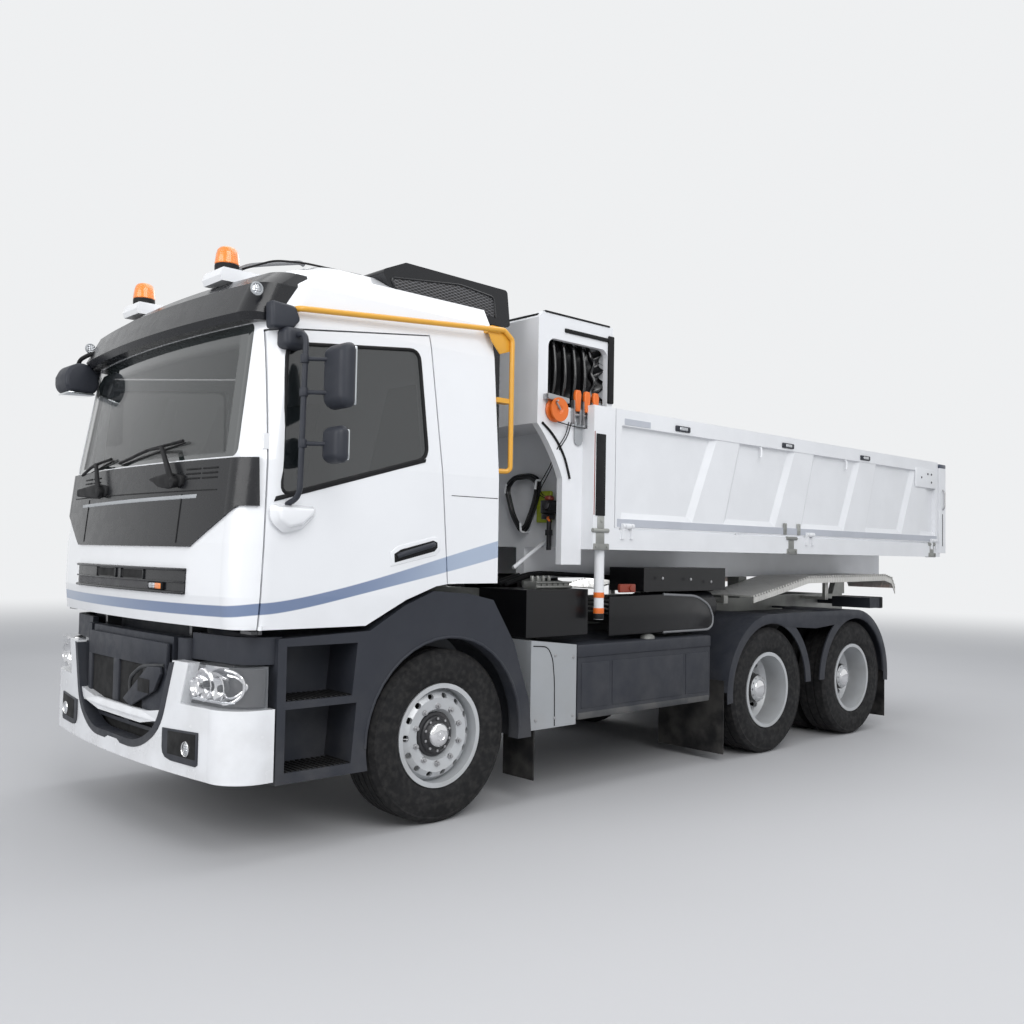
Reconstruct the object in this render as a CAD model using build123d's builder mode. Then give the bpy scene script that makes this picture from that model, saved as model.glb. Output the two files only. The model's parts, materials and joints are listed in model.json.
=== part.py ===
"""Three-axle dump truck: chassis, tilting cab, steered front axle, twin-tyred bogie, and a tipping body
with drop sides, a swinging tailgate and a telescopic hoist.

Millimetres. +X is forward, +Y is the truck's left, +Z is up. The origin is on the ground, under the middle
of the truck. Heights are above the ground, and "ahead" means ahead of the front axle.
"""
import os
from math import sqrt

from build123d import *

os.makedirs("parts", exist_ok=True)

# ---------------------------------------------------------------- driving sizes
OVERALL_LENGTH = 8030.0
FRONT_OVERHANG = 1460.0
WHEELBASE = 3370.0
BOGIE_SPACING = 1370.0

# wheels and tyres
TYRE_RADIUS = 505.0
TYRE_WIDTH = 300.0
TREAD_WIDTH = 250.0
RIM_SEAT_RADIUS = 286.0
RIM_FLANGE_RADIUS = 302.0
RIM_WALL = 12.0
RIM_FLANGE_WIDTH = 16.0
FRONT_WHEEL_OFFSET = 1030.0      # centre plane of a front wheel
TWIN_PITCH = 345.0               # between the two tyres of a twin wheel
REAR_OUTER_OFFSET = 1082.0       # centre plane of an outer twin
SPINDLE_RADIUS = 45.0
REAR_SPINDLE_RADIUS = 60.0
BEARING_CLEARANCE = 0.05
FRONT_VENT_COUNT = 14
REAR_VENT_COUNT = 8

# steering
KINGPIN_OFFSET = 870.0
KINGPIN_RADIUS = 24.0
KNUCKLE_BOSS_RADIUS = 52.0
KNUCKLE_GAP = 5.0
STEERING_ARM_LENGTH = 170.0
ARM_PIN_RADIUS = 12.0
ARM_HALF_WIDTH = 22.0
ARM_THICKNESS = 28.0
TIE_ROD_EYE_RADIUS = 22.0
TIE_ROD_RADIUS = 18.0

# chassis frame
FRAME_WIDTH = 850.0
RAIL_DEPTH = 300.0
RAIL_FLANGE = 80.0
RAIL_WEB = 10.0
FRAME_TOP = 1030.0
FRAME_FRONT_AHEAD = 1180.0
SUBFRAME_WIDTH = 800.0
SUBFRAME_DEPTH = 180.0
SUBFRAME_RAIL = 80.0
SUBFRAME_FRONT_AHEAD = -760.0

# towing lugs
TOW_LUG_OFFSET = 300.0
TOW_LUG_WIDTH = 70.0
TOW_LUG_BOTTOM = 780.0
TOW_LUG_HEIGHT = 60.0
TOW_BORE_RADIUS = 20.0
REAR_TOW_BOTTOM = 850.0
REAR_TOW_HEIGHT = 70.0
REAR_TOW_BORE_RADIUS = 24.0

# tipping body
TIP_HINGE_FROM_REAR = 570.0
TIP_HINGE_HEIGHT = 1450.0
TIP_PIN_RADIUS = 30.0
TIP_LUG_OFFSET = 450.0
TIP_LUG_WIDTH = 40.0
BED_WIDTH = 2510.0
BED_UNDERSIDE = 1400.0
BED_BEAM_OFFSET = 560.0
BED_BEAM_WIDTH = 80.0
FLOOR_UNDERSIDE = 1610.0
FLOOR_TOP = 1745.0
FLOOR_PLATE = 12.0
SIDE_SILL_WIDTH = 120.0
FLAP_BOTTOM = 1760.0
FLAP_TOP = 2575.0
FLAP_THICKNESS = 62.0
FLAP_SKIN = 26.0
FLAP_RAIL_HEIGHT = 110.0
FLAP_BAND_HEIGHT = 62.0
FLAP_GAP = 8.0
FLAP_RIB_COUNT = 4
FLAP_RIB_WIDTH = 300.0
FLAP_RIB_LEAN = 300.0
HEADBOARD_AHEAD = -1190.0        # front face of the headboard wall
HEADBOARD_WALL = 60.0
CORNER_POST_DEPTH = 215.0
HEADBOARD_TOP = 2420.0
LOCKER_FRONT_AHEAD = -760.0
LOCKER_DEPTH = 725.0
LOCKER_BOTTOM = 2420.0
LOCKER_TOP = 3155.0
LOCKER_WIDTH = 2300.0
LOCKER_WALL = 40.0
LOCKER_EDGE = 45.0
REAR_PILLAR_DEPTH = 140.0
REAR_PILLAR_WIDTH = 90.0
REAR_PILLAR_TOP = 2530.0
TAILGATE_GAP = 8.0

# hoist
HOIST_AHEAD_OF_HINGE = 2500.0
HOIST_TRUNNION_HEIGHT = 1115.0
HOIST_TRUNNION_RADIUS = 30.0
HOIST_COLLAR_RADIUS = 55.0
HOIST_BARREL_BOTTOM = 775.0
HOIST_BARREL_TOP = 1335.0
HOIST_RADIUS = 125.0
HOIST_WALL = 16.0
HOIST_STAGES = 4
HOIST_SLIDE_CLEARANCE = 0.08
HOIST_EYE_HEIGHT = 1480.0
HOIST_EYE_RADIUS = 42.0
HOIST_EYE_WIDTH = 60.0
HOIST_EYE_PIN_RADIUS = 18.0
HOIST_SHANK_RADIUS = 30.0
OPEN_PIVOT_GAP = 6.0

# cab
CAB_WALL = 60.0
CAB_REAR_AHEAD = -356.0
CAB_CORNER = 180.0
CAB_BOW = 70.0
CAB_SKIRT = 1170.0
CAB_FLOOR = 1560.0
TUNNEL_HALF_WIDTH = 560.0
DOOR_GAP = 9.0
DOOR_FRONT_BOTTOM_AHEAD = 1235.0
DOOR_FRONT_TOP_AHEAD = 1175.0
DOOR_REAR_BOTTOM_AHEAD = 40.0
DOOR_REAR_TOP_AHEAD = 150.0
DOOR_TOP_FRONT = 2700.0
DOOR_TOP_REAR = 2830.0
GLASS_THICKNESS = 12.0
MASK_THICKNESS = 14.0

# cab body: outer sections from the skirt to the roof
# (height, front centre ahead, half width)
CAB_STATIONS = (
    (1170.0, 1422.0, 1236.0),
    (1330.0, 1437.0, 1240.0),
    (1600.0, 1430.0, 1240.0),
    (2030.0, 1385.0, 1236.0),
    (2770.0, 1275.0, 1176.0),
    (2980.0, 1170.0, 1130.0),
    (3090.0, 1040.0, 1070.0),
    (3160.0, 880.0, 960.0),
    (3200.0, 640.0, 780.0),
)

# front end
BUMPER_BOTTOM = 405.0
BUMPER_TOP = 985.0
BUMPER_HALF_WIDTH = 1225.0
BUMPER_REAR_AHEAD = 1130.0
BUMPER_WALL = 60.0
HEADLAMP_BOTTOM = 770.0
HEADLAMP_INNER = 770.0
CORNER_TRIM_TOP = 1128.0
CORNER_TRIM_SETBACK = 100.0
ARCH_INNER_RADIUS = 570.0
ARCH_LINER_RADIUS = 628.0
ARCH_OUTER = 1225.0
ARCH_LIP_WIDTH = 90.0
ARCH_LINER_INNER = 760.0
STEP_HEIGHTS = (440.0, 800.0)
STEP_THICKNESS = 40.0

# cab tilt pivot
TILT_AHEAD = 1240.0
TILT_HEIGHT = 800.0
TILT_PIN_RADIUS = 25.0
TILT_ARM_INNER = 570.0
TILT_ARM_WIDTH = 30.0
TILT_ARM_RADIUS = 45.0

# engine
ENGINE_LENGTH = 1250.0
ENGINE_WIDTH = 640.0
ENGINE_BOTTOM = 560.0
ENGINE_TOP = 1440.0
ENGINE_FRONT_AHEAD = 860.0

# side equipment
SIDE_OUTER = 1200.0
FAIRING_REAR_AHEAD = -1110.0
BOX_BOTTOM = 505.0
BOX_TOP = 965.0
EQUIPMENT_GAP = 12.0
MUDGUARD_OUTER = 1245.0
MUDGUARD_INNER = 590.0
MUDGUARD_THICKNESS = 12.0
MUDGUARD_CLEARANCE = 95.0
FLAP_MUD_THICKNESS = 10.0

# ---------------------------------------------------------------- places worked out from the sizes
front_axle_x = OVERALL_LENGTH / 2 - FRONT_OVERHANG
drive_axle_x = (front_axle_x - WHEELBASE, front_axle_x - WHEELBASE - BOGIE_SPACING)
bogie_x = sum(drive_axle_x) / 2
axle_z = TYRE_RADIUS
rear_end_x = -OVERALL_LENGTH / 2
tip_hinge_x = rear_end_x + TIP_HINGE_FROM_REAR
hoist_x = tip_hinge_x + HOIST_AHEAD_OF_HINGE
rear_inner_offset = REAR_OUTER_OFFSET - TWIN_PITCH
frame_bottom = FRAME_TOP - RAIL_DEPTH
subframe_top = FRAME_TOP + SUBFRAME_DEPTH
frame_rear_x = tip_hinge_x + 30.0
rail_outer = FRAME_WIDTH / 2


def ahead(distance):
    """X of a place that lies this far ahead of the front axle."""
    return front_axle_x + distance


# ---------------------------------------------------------------- shared shapes
def block(xs, ys, zs, mode=Mode.ADD):
    """Box between two values along each axis."""
    centre = ((xs[0] + xs[1]) / 2, (ys[0] + ys[1]) / 2, (zs[0] + zs[1]) / 2)
    with Locations(centre):
        Box(abs(xs[1] - xs[0]), abs(ys[1] - ys[0]), abs(zs[1] - zs[0]), mode=mode)


def pair(xs, ys, zs, mode=Mode.ADD):
    """A box and its mirror image on the truck's other side."""
    block(xs, ys, zs, mode)
    block(xs, (-ys[0], -ys[1]), zs, mode)


def side_prism(points, y_from, y_to, rounding=0.0, mode=Mode.ADD):
    """Outline of (x, z) points, carried across the truck from y_from to y_to."""
    with BuildSketch(Plane.XZ.offset(-y_from)) as outline:
        with BuildLine():
            Polyline(*points, close=True)
        make_face()
        if rounding:
            fillet(outline.vertices(), rounding)
    extrude(outline.sketch, amount=y_from - y_to, mode=mode)


def end_prism(points, x_from, x_to, rounding=0.0, mode=Mode.ADD):
    """Outline of (y, z) points, carried along the truck from x_from to x_to."""
    with BuildSketch(Plane.YZ.offset(x_from)) as outline:
        with BuildLine():
            Polyline(*points, close=True)
        make_face()
        if rounding:
            fillet(outline.vertices(), rounding)
    extrude(outline.sketch, amount=x_to - x_from, mode=mode)


def plan_prism(points, z_from, z_to, rounding=0.0, mode=Mode.ADD):
    """Outline of (x, y) points, carried up from z_from to z_to."""
    with BuildSketch(Plane.XY.offset(z_from)) as outline:
        with BuildLine():
            Polyline(*points, close=True)
        make_face()
        if rounding:
            fillet(outline.vertices(), rounding)
    extrude(outline.sketch, amount=z_to - z_from, mode=mode)


def across(x, z, radius, y_from, y_to, mode=Mode.ADD):
    """Round bar or bore across the truck."""
    with BuildSketch(Plane.XZ.offset(-y_from)) as outline:
        with Locations((x, z)):
            Circle(radius)
    extrude(outline.sketch, amount=y_from - y_to, mode=mode)


def upright(x, y, radius, z_from, z_to, mode=Mode.ADD):
    """Round bar or bore that stands."""
    with BuildSketch(Plane.XY.offset(z_from)) as outline:
        with Locations((x, y)):
            Circle(radius)
    extrude(outline.sketch, amount=z_to - z_from, mode=mode)


def along(y, z, radius, x_from, x_to, mode=Mode.ADD):
    """Round bar or bore along the truck."""
    with BuildSketch(Plane.YZ.offset(x_from)) as outline:
        with Locations((y, z)):
            Circle(radius)
    extrude(outline.sketch, amount=x_to - x_from, mode=mode)


def tube_along(points, radius, bend):
    """Bent tube through the points, with one bend radius."""
    with BuildLine() as path:
        FilletPolyline(*points, radius=bend)
    with BuildSketch(Plane(origin=path.line @ 0, z_dir=path.line % 0)) as outline:
        Circle(radius)
    sweep(outline.sketch, path=path.line)


def save(piece, name):
    """Label a finished piece and write its file."""
    piece.part.label = name
    export_step(piece.part, f"parts/{name}.step")


SIDES = (("left", 1), ("right", -1))

# ---------------------------------------------------------------- chassis frame
rail_inner_flange = rail_outer - RAIL_FLANGE
web_inner = rail_outer - RAIL_WEB
frame_front_x = ahead(FRAME_FRONT_AHEAD)
# (ahead of the front axle, depth of the member, how far its bottom is above the rail's bottom)
CROSSMEMBERS = (
    (FRAME_FRONT_AHEAD - 60.0, 240.0, 30.0),
    (-1450.0, 150.0, 120.0),
    (-2350.0, 150.0, 120.0),
    (-3020.0, 150.0, 130.0),
    (-4060.0, 180.0, 100.0),
    (-5150.0, 150.0, 120.0),
    (-5850.0, 200.0, 80.0),
)
with BuildPart() as chassis_frame:
    channel = (
        (rail_outer, frame_bottom), (rail_outer, FRAME_TOP), (rail_inner_flange, FRAME_TOP),
        (rail_inner_flange, FRAME_TOP - RAIL_WEB), (web_inner, FRAME_TOP - RAIL_WEB),
        (web_inner, frame_bottom + RAIL_WEB), (rail_inner_flange, frame_bottom + RAIL_WEB),
        (rail_inner_flange, frame_bottom),
    )
    end_prism(channel, frame_rear_x, frame_front_x)
    end_prism([(-y, z) for y, z in channel], frame_rear_x, frame_front_x)
    for place, depth, rise in CROSSMEMBERS:
        bottom = frame_bottom + rise
        block((ahead(place) - 50, ahead(place) + 50), (-web_inner, web_inner), (bottom, bottom + depth))
    # towing lugs: two at the front, one at the rear
    tow_x = frame_front_x + 70.0
    rear_tow_x = frame_rear_x - 65.0
    for side in (1, -1):
        y = side * TOW_LUG_OFFSET
        block((frame_front_x - 20, tow_x + 35), (y - TOW_LUG_WIDTH / 2, y + TOW_LUG_WIDTH / 2),
              (TOW_LUG_BOTTOM, TOW_LUG_BOTTOM + TOW_LUG_HEIGHT))
        upright(tow_x, y, TOW_BORE_RADIUS, TOW_LUG_BOTTOM - 5, TOW_LUG_BOTTOM + TOW_LUG_HEIGHT + 5,
                mode=Mode.SUBTRACT)
    block((rear_tow_x - 45, ahead(CROSSMEMBERS[-1][0])), (-45, 45),
          (REAR_TOW_BOTTOM, REAR_TOW_BOTTOM + REAR_TOW_HEIGHT))
    upright(rear_tow_x, 0, REAR_TOW_BORE_RADIUS, REAR_TOW_BOTTOM - 5, REAR_TOW_BOTTOM + REAR_TOW_HEIGHT + 5,
            mode=Mode.SUBTRACT)
    # horns that carry the cab's tilt pivots
    for side in (1, -1):
        side_prism(((frame_front_x - 300, TILT_HEIGHT - 60), (ahead(TILT_AHEAD) + 45, TILT_HEIGHT - 60),
                    (ahead(TILT_AHEAD) + 45, TILT_HEIGHT + 60), (frame_front_x - 300, TILT_HEIGHT + 60)),
                   side * rail_outer, side * (TILT_ARM_INNER - KNUCKLE_GAP))
        across(ahead(TILT_AHEAD), TILT_HEIGHT, TILT_PIN_RADIUS, side * (TILT_ARM_INNER - KNUCKLE_GAP),
               side * (TILT_ARM_INNER + 40))
    # trunnion brackets that carry the bogie's springs
    pair((bogie_x - 130, bogie_x + 130), (rail_outer, rail_outer + 110), (640.0, 900.0))
save(chassis_frame, "chassis_frame")

# ---------------------------------------------------------------- tipper subframe
subframe_front_x = ahead(SUBFRAME_FRONT_AHEAD)
subframe_outer = SUBFRAME_WIDTH / 2
subframe_inner = subframe_outer - SUBFRAME_RAIL
bearer_front_x = ahead(HEADBOARD_AHEAD) - 140.0
REST_GAP = 0.3
hinge_bracket_outer = TIP_LUG_OFFSET - TIP_LUG_WIDTH / 2 - KNUCKLE_GAP
hinge_bracket_inner = hinge_bracket_outer - 60.0
with BuildPart() as subframe:
    pair((tip_hinge_x - 55, subframe_front_x), (subframe_inner, subframe_outer), (FRAME_TOP, subframe_top))
    # bearers that the lowered body rests on
    for x in (bearer_front_x, bogie_x + 170.0):
        block((x - 60, x + 60), (-subframe_inner, subframe_inner), (FRAME_TOP + 20, subframe_top))
        block((x - 60, x + 60), (-630.0, 630.0), (subframe_top, subframe_top + 90))
        pair((x - 60, x + 60), (BED_BEAM_OFFSET - 60, BED_BEAM_OFFSET + 60),
             (subframe_top + 90, BED_UNDERSIDE - REST_GAP))
    block((tip_hinge_x + 120, tip_hinge_x + 220), (-subframe_inner, subframe_inner),
          (FRAME_TOP + 20, subframe_top))
    for side in (1, -1):
        side_prism(
            ((tip_hinge_x - 55, subframe_top), (tip_hinge_x + 190, subframe_top),
             (tip_hinge_x + 50, TIP_HINGE_HEIGHT + 45), (tip_hinge_x - 50, TIP_HINGE_HEIGHT + 45)),
            side * hinge_bracket_inner, side * hinge_bracket_outer)
        across(tip_hinge_x, TIP_HINGE_HEIGHT, TIP_PIN_RADIUS,
               side * hinge_bracket_outer, side * (TIP_LUG_OFFSET + TIP_LUG_WIDTH / 2 + 12))
    across(hoist_x, HOIST_TRUNNION_HEIGHT, HOIST_TRUNNION_RADIUS + BEARING_CLEARANCE,
           -subframe_outer - 1, subframe_outer + 1, mode=Mode.SUBTRACT)
save(subframe, "subframe")

# ---------------------------------------------------------------- front axle with its springs
BEAM_TOP = 450.0
BEAM_BOTTOM = 350.0
SPRING_OFFSET = 415.0
SPRING_WIDTH = 80.0
knuckle_half = 70.0
with BuildPart() as front_axle:
    for side in (1, -1):
        end_prism(
            ((0, BEAM_BOTTOM), (side * 560, BEAM_BOTTOM), (side * 740, axle_z - knuckle_half),
             (side * KINGPIN_OFFSET, axle_z - knuckle_half), (side * KINGPIN_OFFSET, axle_z + knuckle_half),
             (side * 720, axle_z + knuckle_half), (side * 540, BEAM_TOP), (0, BEAM_TOP)),
            front_axle_x - 45, front_axle_x + 45)
        y = side * KINGPIN_OFFSET
        upright(front_axle_x, y, KNUCKLE_BOSS_RADIUS, axle_z - knuckle_half, axle_z + knuckle_half)
        upright(front_axle_x, y, KINGPIN_RADIUS, axle_z - knuckle_half - 65, axle_z + knuckle_half + 65)
        spring = (
            (ahead(820), 650), (ahead(760), 625), (ahead(120), BEAM_TOP + 40), (ahead(90), BEAM_TOP),
            (ahead(-90), BEAM_TOP), (ahead(-120), BEAM_TOP + 40), (ahead(-860), 625), (ahead(-920), 650),
            (ahead(-920), 680), (ahead(-860), 655), (ahead(-140), BEAM_TOP + 95),
            (ahead(140), BEAM_TOP + 95), (ahead(760), 655), (ahead(820), 680))
        side_prism(spring, side * (SPRING_OFFSET - SPRING_WIDTH / 2),
                   side * (SPRING_OFFSET + SPRING_WIDTH / 2))
        for place in (800.0, -900.0):
            block((ahead(place) - 40, ahead(place) + 40),
                  (side * (SPRING_OFFSET - 50), side * (SPRING_OFFSET + 50)), (640, frame_bottom))
save(front_axle, "front_axle")

# ---------------------------------------------------------------- steering knuckles and tie rod
arm_end_x = front_axle_x - STEERING_ARM_LENGTH
hub_face = FRONT_WHEEL_OFFSET + 70.0
for name, side in SIDES:
    with BuildPart() as knuckle:
        for low, high in ((axle_z - knuckle_half - 60, axle_z - knuckle_half - KNUCKLE_GAP),
                          (axle_z + knuckle_half + KNUCKLE_GAP, axle_z + knuckle_half + 60)):
            upright(front_axle_x, side * KINGPIN_OFFSET, KNUCKLE_BOSS_RADIUS, low, high)
            block((front_axle_x - 45, front_axle_x + 45),
                  (side * KINGPIN_OFFSET, side * (KINGPIN_OFFSET + 92)), (low, high))
        block((front_axle_x - 60, front_axle_x + 60),
              (side * (KINGPIN_OFFSET + 62), side * (KINGPIN_OFFSET + 92)),
              (axle_z - knuckle_half - 60, axle_z + knuckle_half + 60))
        across(front_axle_x, axle_z, SPINDLE_RADIUS, side * (KINGPIN_OFFSET + 80), side * (hub_face + 30))
        # steering arm, back to the tie rod's pin
        arm_low = axle_z - knuckle_half - 60
        plan_prism(
            ((front_axle_x + 20, side * (KINGPIN_OFFSET + ARM_HALF_WIDTH)),
             (front_axle_x + 20, side * (KINGPIN_OFFSET - ARM_HALF_WIDTH)),
             (arm_end_x - ARM_HALF_WIDTH, side * (KINGPIN_OFFSET - ARM_HALF_WIDTH)),
             (arm_end_x - ARM_HALF_WIDTH, side * (KINGPIN_OFFSET + ARM_HALF_WIDTH))),
            arm_low, arm_low + ARM_THICKNESS)
        upright(arm_end_x, side * KINGPIN_OFFSET, ARM_PIN_RADIUS, arm_low - 62, arm_low)
        upright(front_axle_x, side * KINGPIN_OFFSET, KINGPIN_RADIUS + BEARING_CLEARANCE,
                axle_z - 200, axle_z + 200, mode=Mode.SUBTRACT)
    save(knuckle, f"knuckle_{name}")

tie_rod_z = axle_z - knuckle_half - 60 - 34
with BuildPart() as tie_rod:
    across(arm_end_x, tie_rod_z, TIE_ROD_RADIUS, -KINGPIN_OFFSET, KINGPIN_OFFSET)
    for side in (1, -1):
        upright(arm_end_x, side * KINGPIN_OFFSET, TIE_ROD_EYE_RADIUS,
                tie_rod_z - TIE_ROD_EYE_RADIUS, tie_rod_z + TIE_ROD_EYE_RADIUS)
    upright(arm_end_x, KINGPIN_OFFSET, ARM_PIN_RADIUS + BEARING_CLEARANCE, tie_rod_z - 30, tie_rod_z + 30,
            mode=Mode.SUBTRACT)
    # the right-hand eye stays open around its pin
    upright(arm_end_x, -KINGPIN_OFFSET, ARM_PIN_RADIUS + KNUCKLE_GAP, tie_rod_z - 30, tie_rod_z + 30,
            mode=Mode.SUBTRACT)
save(tie_rod, "tie_rod")

# ---------------------------------------------------------------- drive axles with the bogie's springs
AXLE_TUBE_RADIUS = 75.0
BANJO_RADIUS = 185.0
with BuildPart() as drive_axles:
    for x in drive_axle_x:
        across(x, axle_z, AXLE_TUBE_RADIUS, -rear_inner_offset + 160, rear_inner_offset - 160)
        across(x, axle_z, REAR_SPINDLE_RADIUS, -REAR_OUTER_OFFSET - 40, REAR_OUTER_OFFSET + 40)
        across(x, axle_z, BANJO_RADIUS, -130, 130)
        along(0, axle_z, 95.0, x, x + 290)
        along(0, axle_z, 80.0, x - BANJO_RADIUS - 25, x)
        pair((x - 90, x + 90), (rail_outer + 15, rail_outer + 100), (axle_z + 40, axle_z + 110))
    for side in (1, -1):
        low = axle_z + 100
        side_prism(
            ((drive_axle_x[0] + 110, low), (drive_axle_x[0] + 110, low + 30), (bogie_x + 240, 720),
             (bogie_x - 240, 720), (drive_axle_x[1] - 110, low + 30), (drive_axle_x[1] - 110, low),
             (bogie_x - 240, 650), (bogie_x + 240, 650)),
            side * (rail_outer + 112), side * (rail_outer + 20), mode=Mode.ADD)
    # room for the trunnion brackets
    pair((bogie_x - 131, bogie_x + 131), (rail_outer, rail_outer + 111), (635.0, 905.0), mode=Mode.SUBTRACT)
save(drive_axles, "drive_axles")

# ---------------------------------------------------------------- engine, gearbox and propeller shafts
engine_rear = ENGINE_FRONT_AHEAD - ENGINE_LENGTH
with BuildPart() as powertrain:
    block((ahead(engine_rear), ahead(ENGINE_FRONT_AHEAD)), (-ENGINE_WIDTH / 2, ENGINE_WIDTH / 2),
          (ENGINE_BOTTOM, ENGINE_TOP))
    for place in (engine_rear + 150.0, ENGINE_FRONT_AHEAD - 200.0):
        pair((ahead(place) - 60, ahead(place) + 60), (ENGINE_WIDTH / 2, web_inner),
             (frame_bottom + 90, frame_bottom + 170))
    block((ahead(engine_rear - 700), ahead(engine_rear)), (-230, 230), (640, 1010))
    joint_x = ahead(engine_rear - 900)
    along(0, 730.0, 60.0, joint_x - 30, ahead(engine_rear - 690))
    block((joint_x - 60, joint_x), (-72, 72), (430, 805))
    along(0, axle_z, 60.0, drive_axle_x[0] + 290, joint_x - 30)
    along(0, axle_z, 45.0, drive_axle_x[1] + 290, drive_axle_x[0] - BANJO_RADIUS - 25)
save(powertrain, "powertrain")

# ---------------------------------------------------------------- wheels
rim_half = 115.0


def axle_ring(x, points):
    """Ring turned about an axle at x from (y, radius) points."""
    with BuildSketch(Plane(origin=(x, 0, axle_z), x_dir=(0, 1, 0), z_dir=(1, 0, 0))) as outline:
        with BuildLine():
            Polyline(*points, close=True)
        make_face()
    revolve(outline.sketch, axis=Axis((x, 0, axle_z), (0, 1, 0)))


def tyre_ring(x, y):
    """Tyre whose middle plane is at y: crown, shoulders, round walls and beads."""
    crown = TREAD_WIDTH / 2 - 9
    shoulder = TREAD_WIDTH / 2 + 3
    bead = RIM_FLANGE_RADIUS + 2
    wall = TYRE_WIDTH / 2
    with BuildSketch(Plane(origin=(x, y, axle_z), x_dir=(0, 1, 0), z_dir=(1, 0, 0))) as outline:
        with BuildLine():
            Polyline((shoulder, TYRE_RADIUS - 14), (crown, TYRE_RADIUS), (-crown, TYRE_RADIUS),
                     (-shoulder, TYRE_RADIUS - 14))
            ThreePointArc((-shoulder, TYRE_RADIUS - 14), (-wall, TYRE_RADIUS - 105), (-rim_half, bead))
            Polyline((-rim_half, bead), (-rim_half, RIM_SEAT_RADIUS), (rim_half, RIM_SEAT_RADIUS),
                     (rim_half, bead))
            ThreePointArc((rim_half, bead), (wall, TYRE_RADIUS - 105), (shoulder, TYRE_RADIUS - 14))
        make_face()
    revolve(outline.sketch, axis=Axis((x, 0, axle_z), (0, 1, 0)))


def rim_barrel(x, y):
    """Rim seat and its two flanges."""
    inner = RIM_SEAT_RADIUS - RIM_WALL
    edge = rim_half + RIM_FLANGE_WIDTH
    axle_ring(x, [(y - edge, inner), (y - edge, RIM_FLANGE_RADIUS), (y - rim_half, RIM_FLANGE_RADIUS),
                  (y - rim_half, RIM_SEAT_RADIUS), (y + rim_half, RIM_SEAT_RADIUS),
                  (y + rim_half, RIM_FLANGE_RADIUS), (y + edge, RIM_FLANGE_RADIUS), (y + edge, inner)])


def vents(x, y_from, y_to, count, circle_radius, hole_radius):
    """Round vents through a wheel's disc."""
    with BuildSketch(Plane.XZ.offset(-y_from)) as outline:
        with Locations((x, axle_z)):
            with PolarLocations(circle_radius, count):
                SlotOverall(hole_radius * 2.6, hole_radius * 2, rotation=90)
    extrude(outline.sketch, amount=y_from - y_to, mode=Mode.SUBTRACT)


for name, side in SIDES:
    y = side * FRONT_WHEEL_OFFSET
    inner = RIM_SEAT_RADIUS - RIM_WALL
    with BuildPart() as front_tyre:
        tyre_ring(front_axle_x, y)
    save(front_tyre, f"tyre_front_{name}")
    with BuildPart() as front_rim:
        rim_barrel(front_axle_x, y)
        # dished disc, near the wheel's outer face
        axle_ring(front_axle_x, [(y + side * d, r) for d, r in (
            (20, inner + 2), (36, inner + 2), (86, 245), (104, 215), (96, 150), (60, 130),
            (44, 130), (44, 160), (84, 165), (88, 208), (72, 234))])
        # hub
        axle_ring(front_axle_x, [(y + side * d, r) for d, r in (
            (-40, 0), (-40, 105), (30, 105), (50, 140), (66, 140), (66, 75), (112, 65), (112, 0))])
        vents(front_axle_x, y, y + side * 130, FRONT_VENT_COUNT, 228.0, 15.0)
        across(front_axle_x, axle_z, SPINDLE_RADIUS + BEARING_CLEARANCE,
               y - side * 60, side * (hub_face + 31), mode=Mode.SUBTRACT)
    save(front_rim, f"rim_front_{name}")

    for number, x in enumerate(drive_axle_x, 1):
        outer = side * REAR_OUTER_OFFSET
        mate = side * (REAR_OUTER_OFFSET + rear_inner_offset) / 2
        with BuildPart() as twin_tyres:
            tyre_ring(x, outer)
            tyre_ring(x, side * rear_inner_offset)
        save(twin_tyres, f"tyres_rear_{number}_{name}")
        with BuildPart() as twin_rims:
            rim_barrel(x, outer)
            rim_barrel(x, side * rear_inner_offset)
            # each wheel's dish meets the other between the tyres
            for flip in (1, -1):
                rim_centre = TWIN_PITCH / 2
                axle_ring(x, [(mate + flip * side * d, r) for d, r in (
                    (rim_centre - 70, inner + 2), (rim_centre - 54, inner + 2), (rim_centre - 88, 236),
                    (18, 192), (16, 110), (0, 110), (0, 200))])
            axle_ring(x, [(side * d, r) for d, r in (
                (600, 0), (600, 180), (760, 180), (790, 140), (REAR_OUTER_OFFSET - 60, 130),
                (REAR_OUTER_OFFSET - 30, 112), (REAR_OUTER_OFFSET + 42, 104), (REAR_OUTER_OFFSET + 60, 80),
                (REAR_OUTER_OFFSET + 60, 0))])
            vents(x, mate + side * 10, mate + side * 130, REAR_VENT_COUNT, 222.0, 20.0)
            across(x, axle_z, REAR_SPINDLE_RADIUS + BEARING_CLEARANCE, side * 560,
                   side * (REAR_OUTER_OFFSET + 41), mode=Mode.SUBTRACT)
        save(twin_rims, f"rims_rear_{number}_{name}")

# ---------------------------------------------------------------- front bumper, grille and lamps
bumper_front_x = ahead(FRONT_OVERHANG)
bumper_rear_x = ahead(BUMPER_REAR_AHEAD)


def bowed_face(front_x, rear_x, half_width, corner, bow, height):
    """Plan outline of the truck's front: straight sides, round corners and a bowed front."""
    corner_x = front_x - bow - corner
    corner_y = half_width - corner
    reach = corner / sqrt(2)
    with BuildSketch(Plane.XY.offset(height)) as outline:
        with BuildLine():
            Line((rear_x, -half_width), (corner_x, -half_width))
            ThreePointArc((corner_x, -half_width), (corner_x + reach, -corner_y - reach),
                          (corner_x + corner, -corner_y))
            ThreePointArc((corner_x + corner, -corner_y), (front_x, 0), (corner_x + corner, corner_y))
            ThreePointArc((corner_x + corner, corner_y), (corner_x + reach, corner_y + reach),
                          (corner_x, half_width))
            Line((corner_x, half_width), (rear_x, half_width))
            Line((rear_x, half_width), (rear_x, -half_width))
        make_face()
    return outline.sketch


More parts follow.
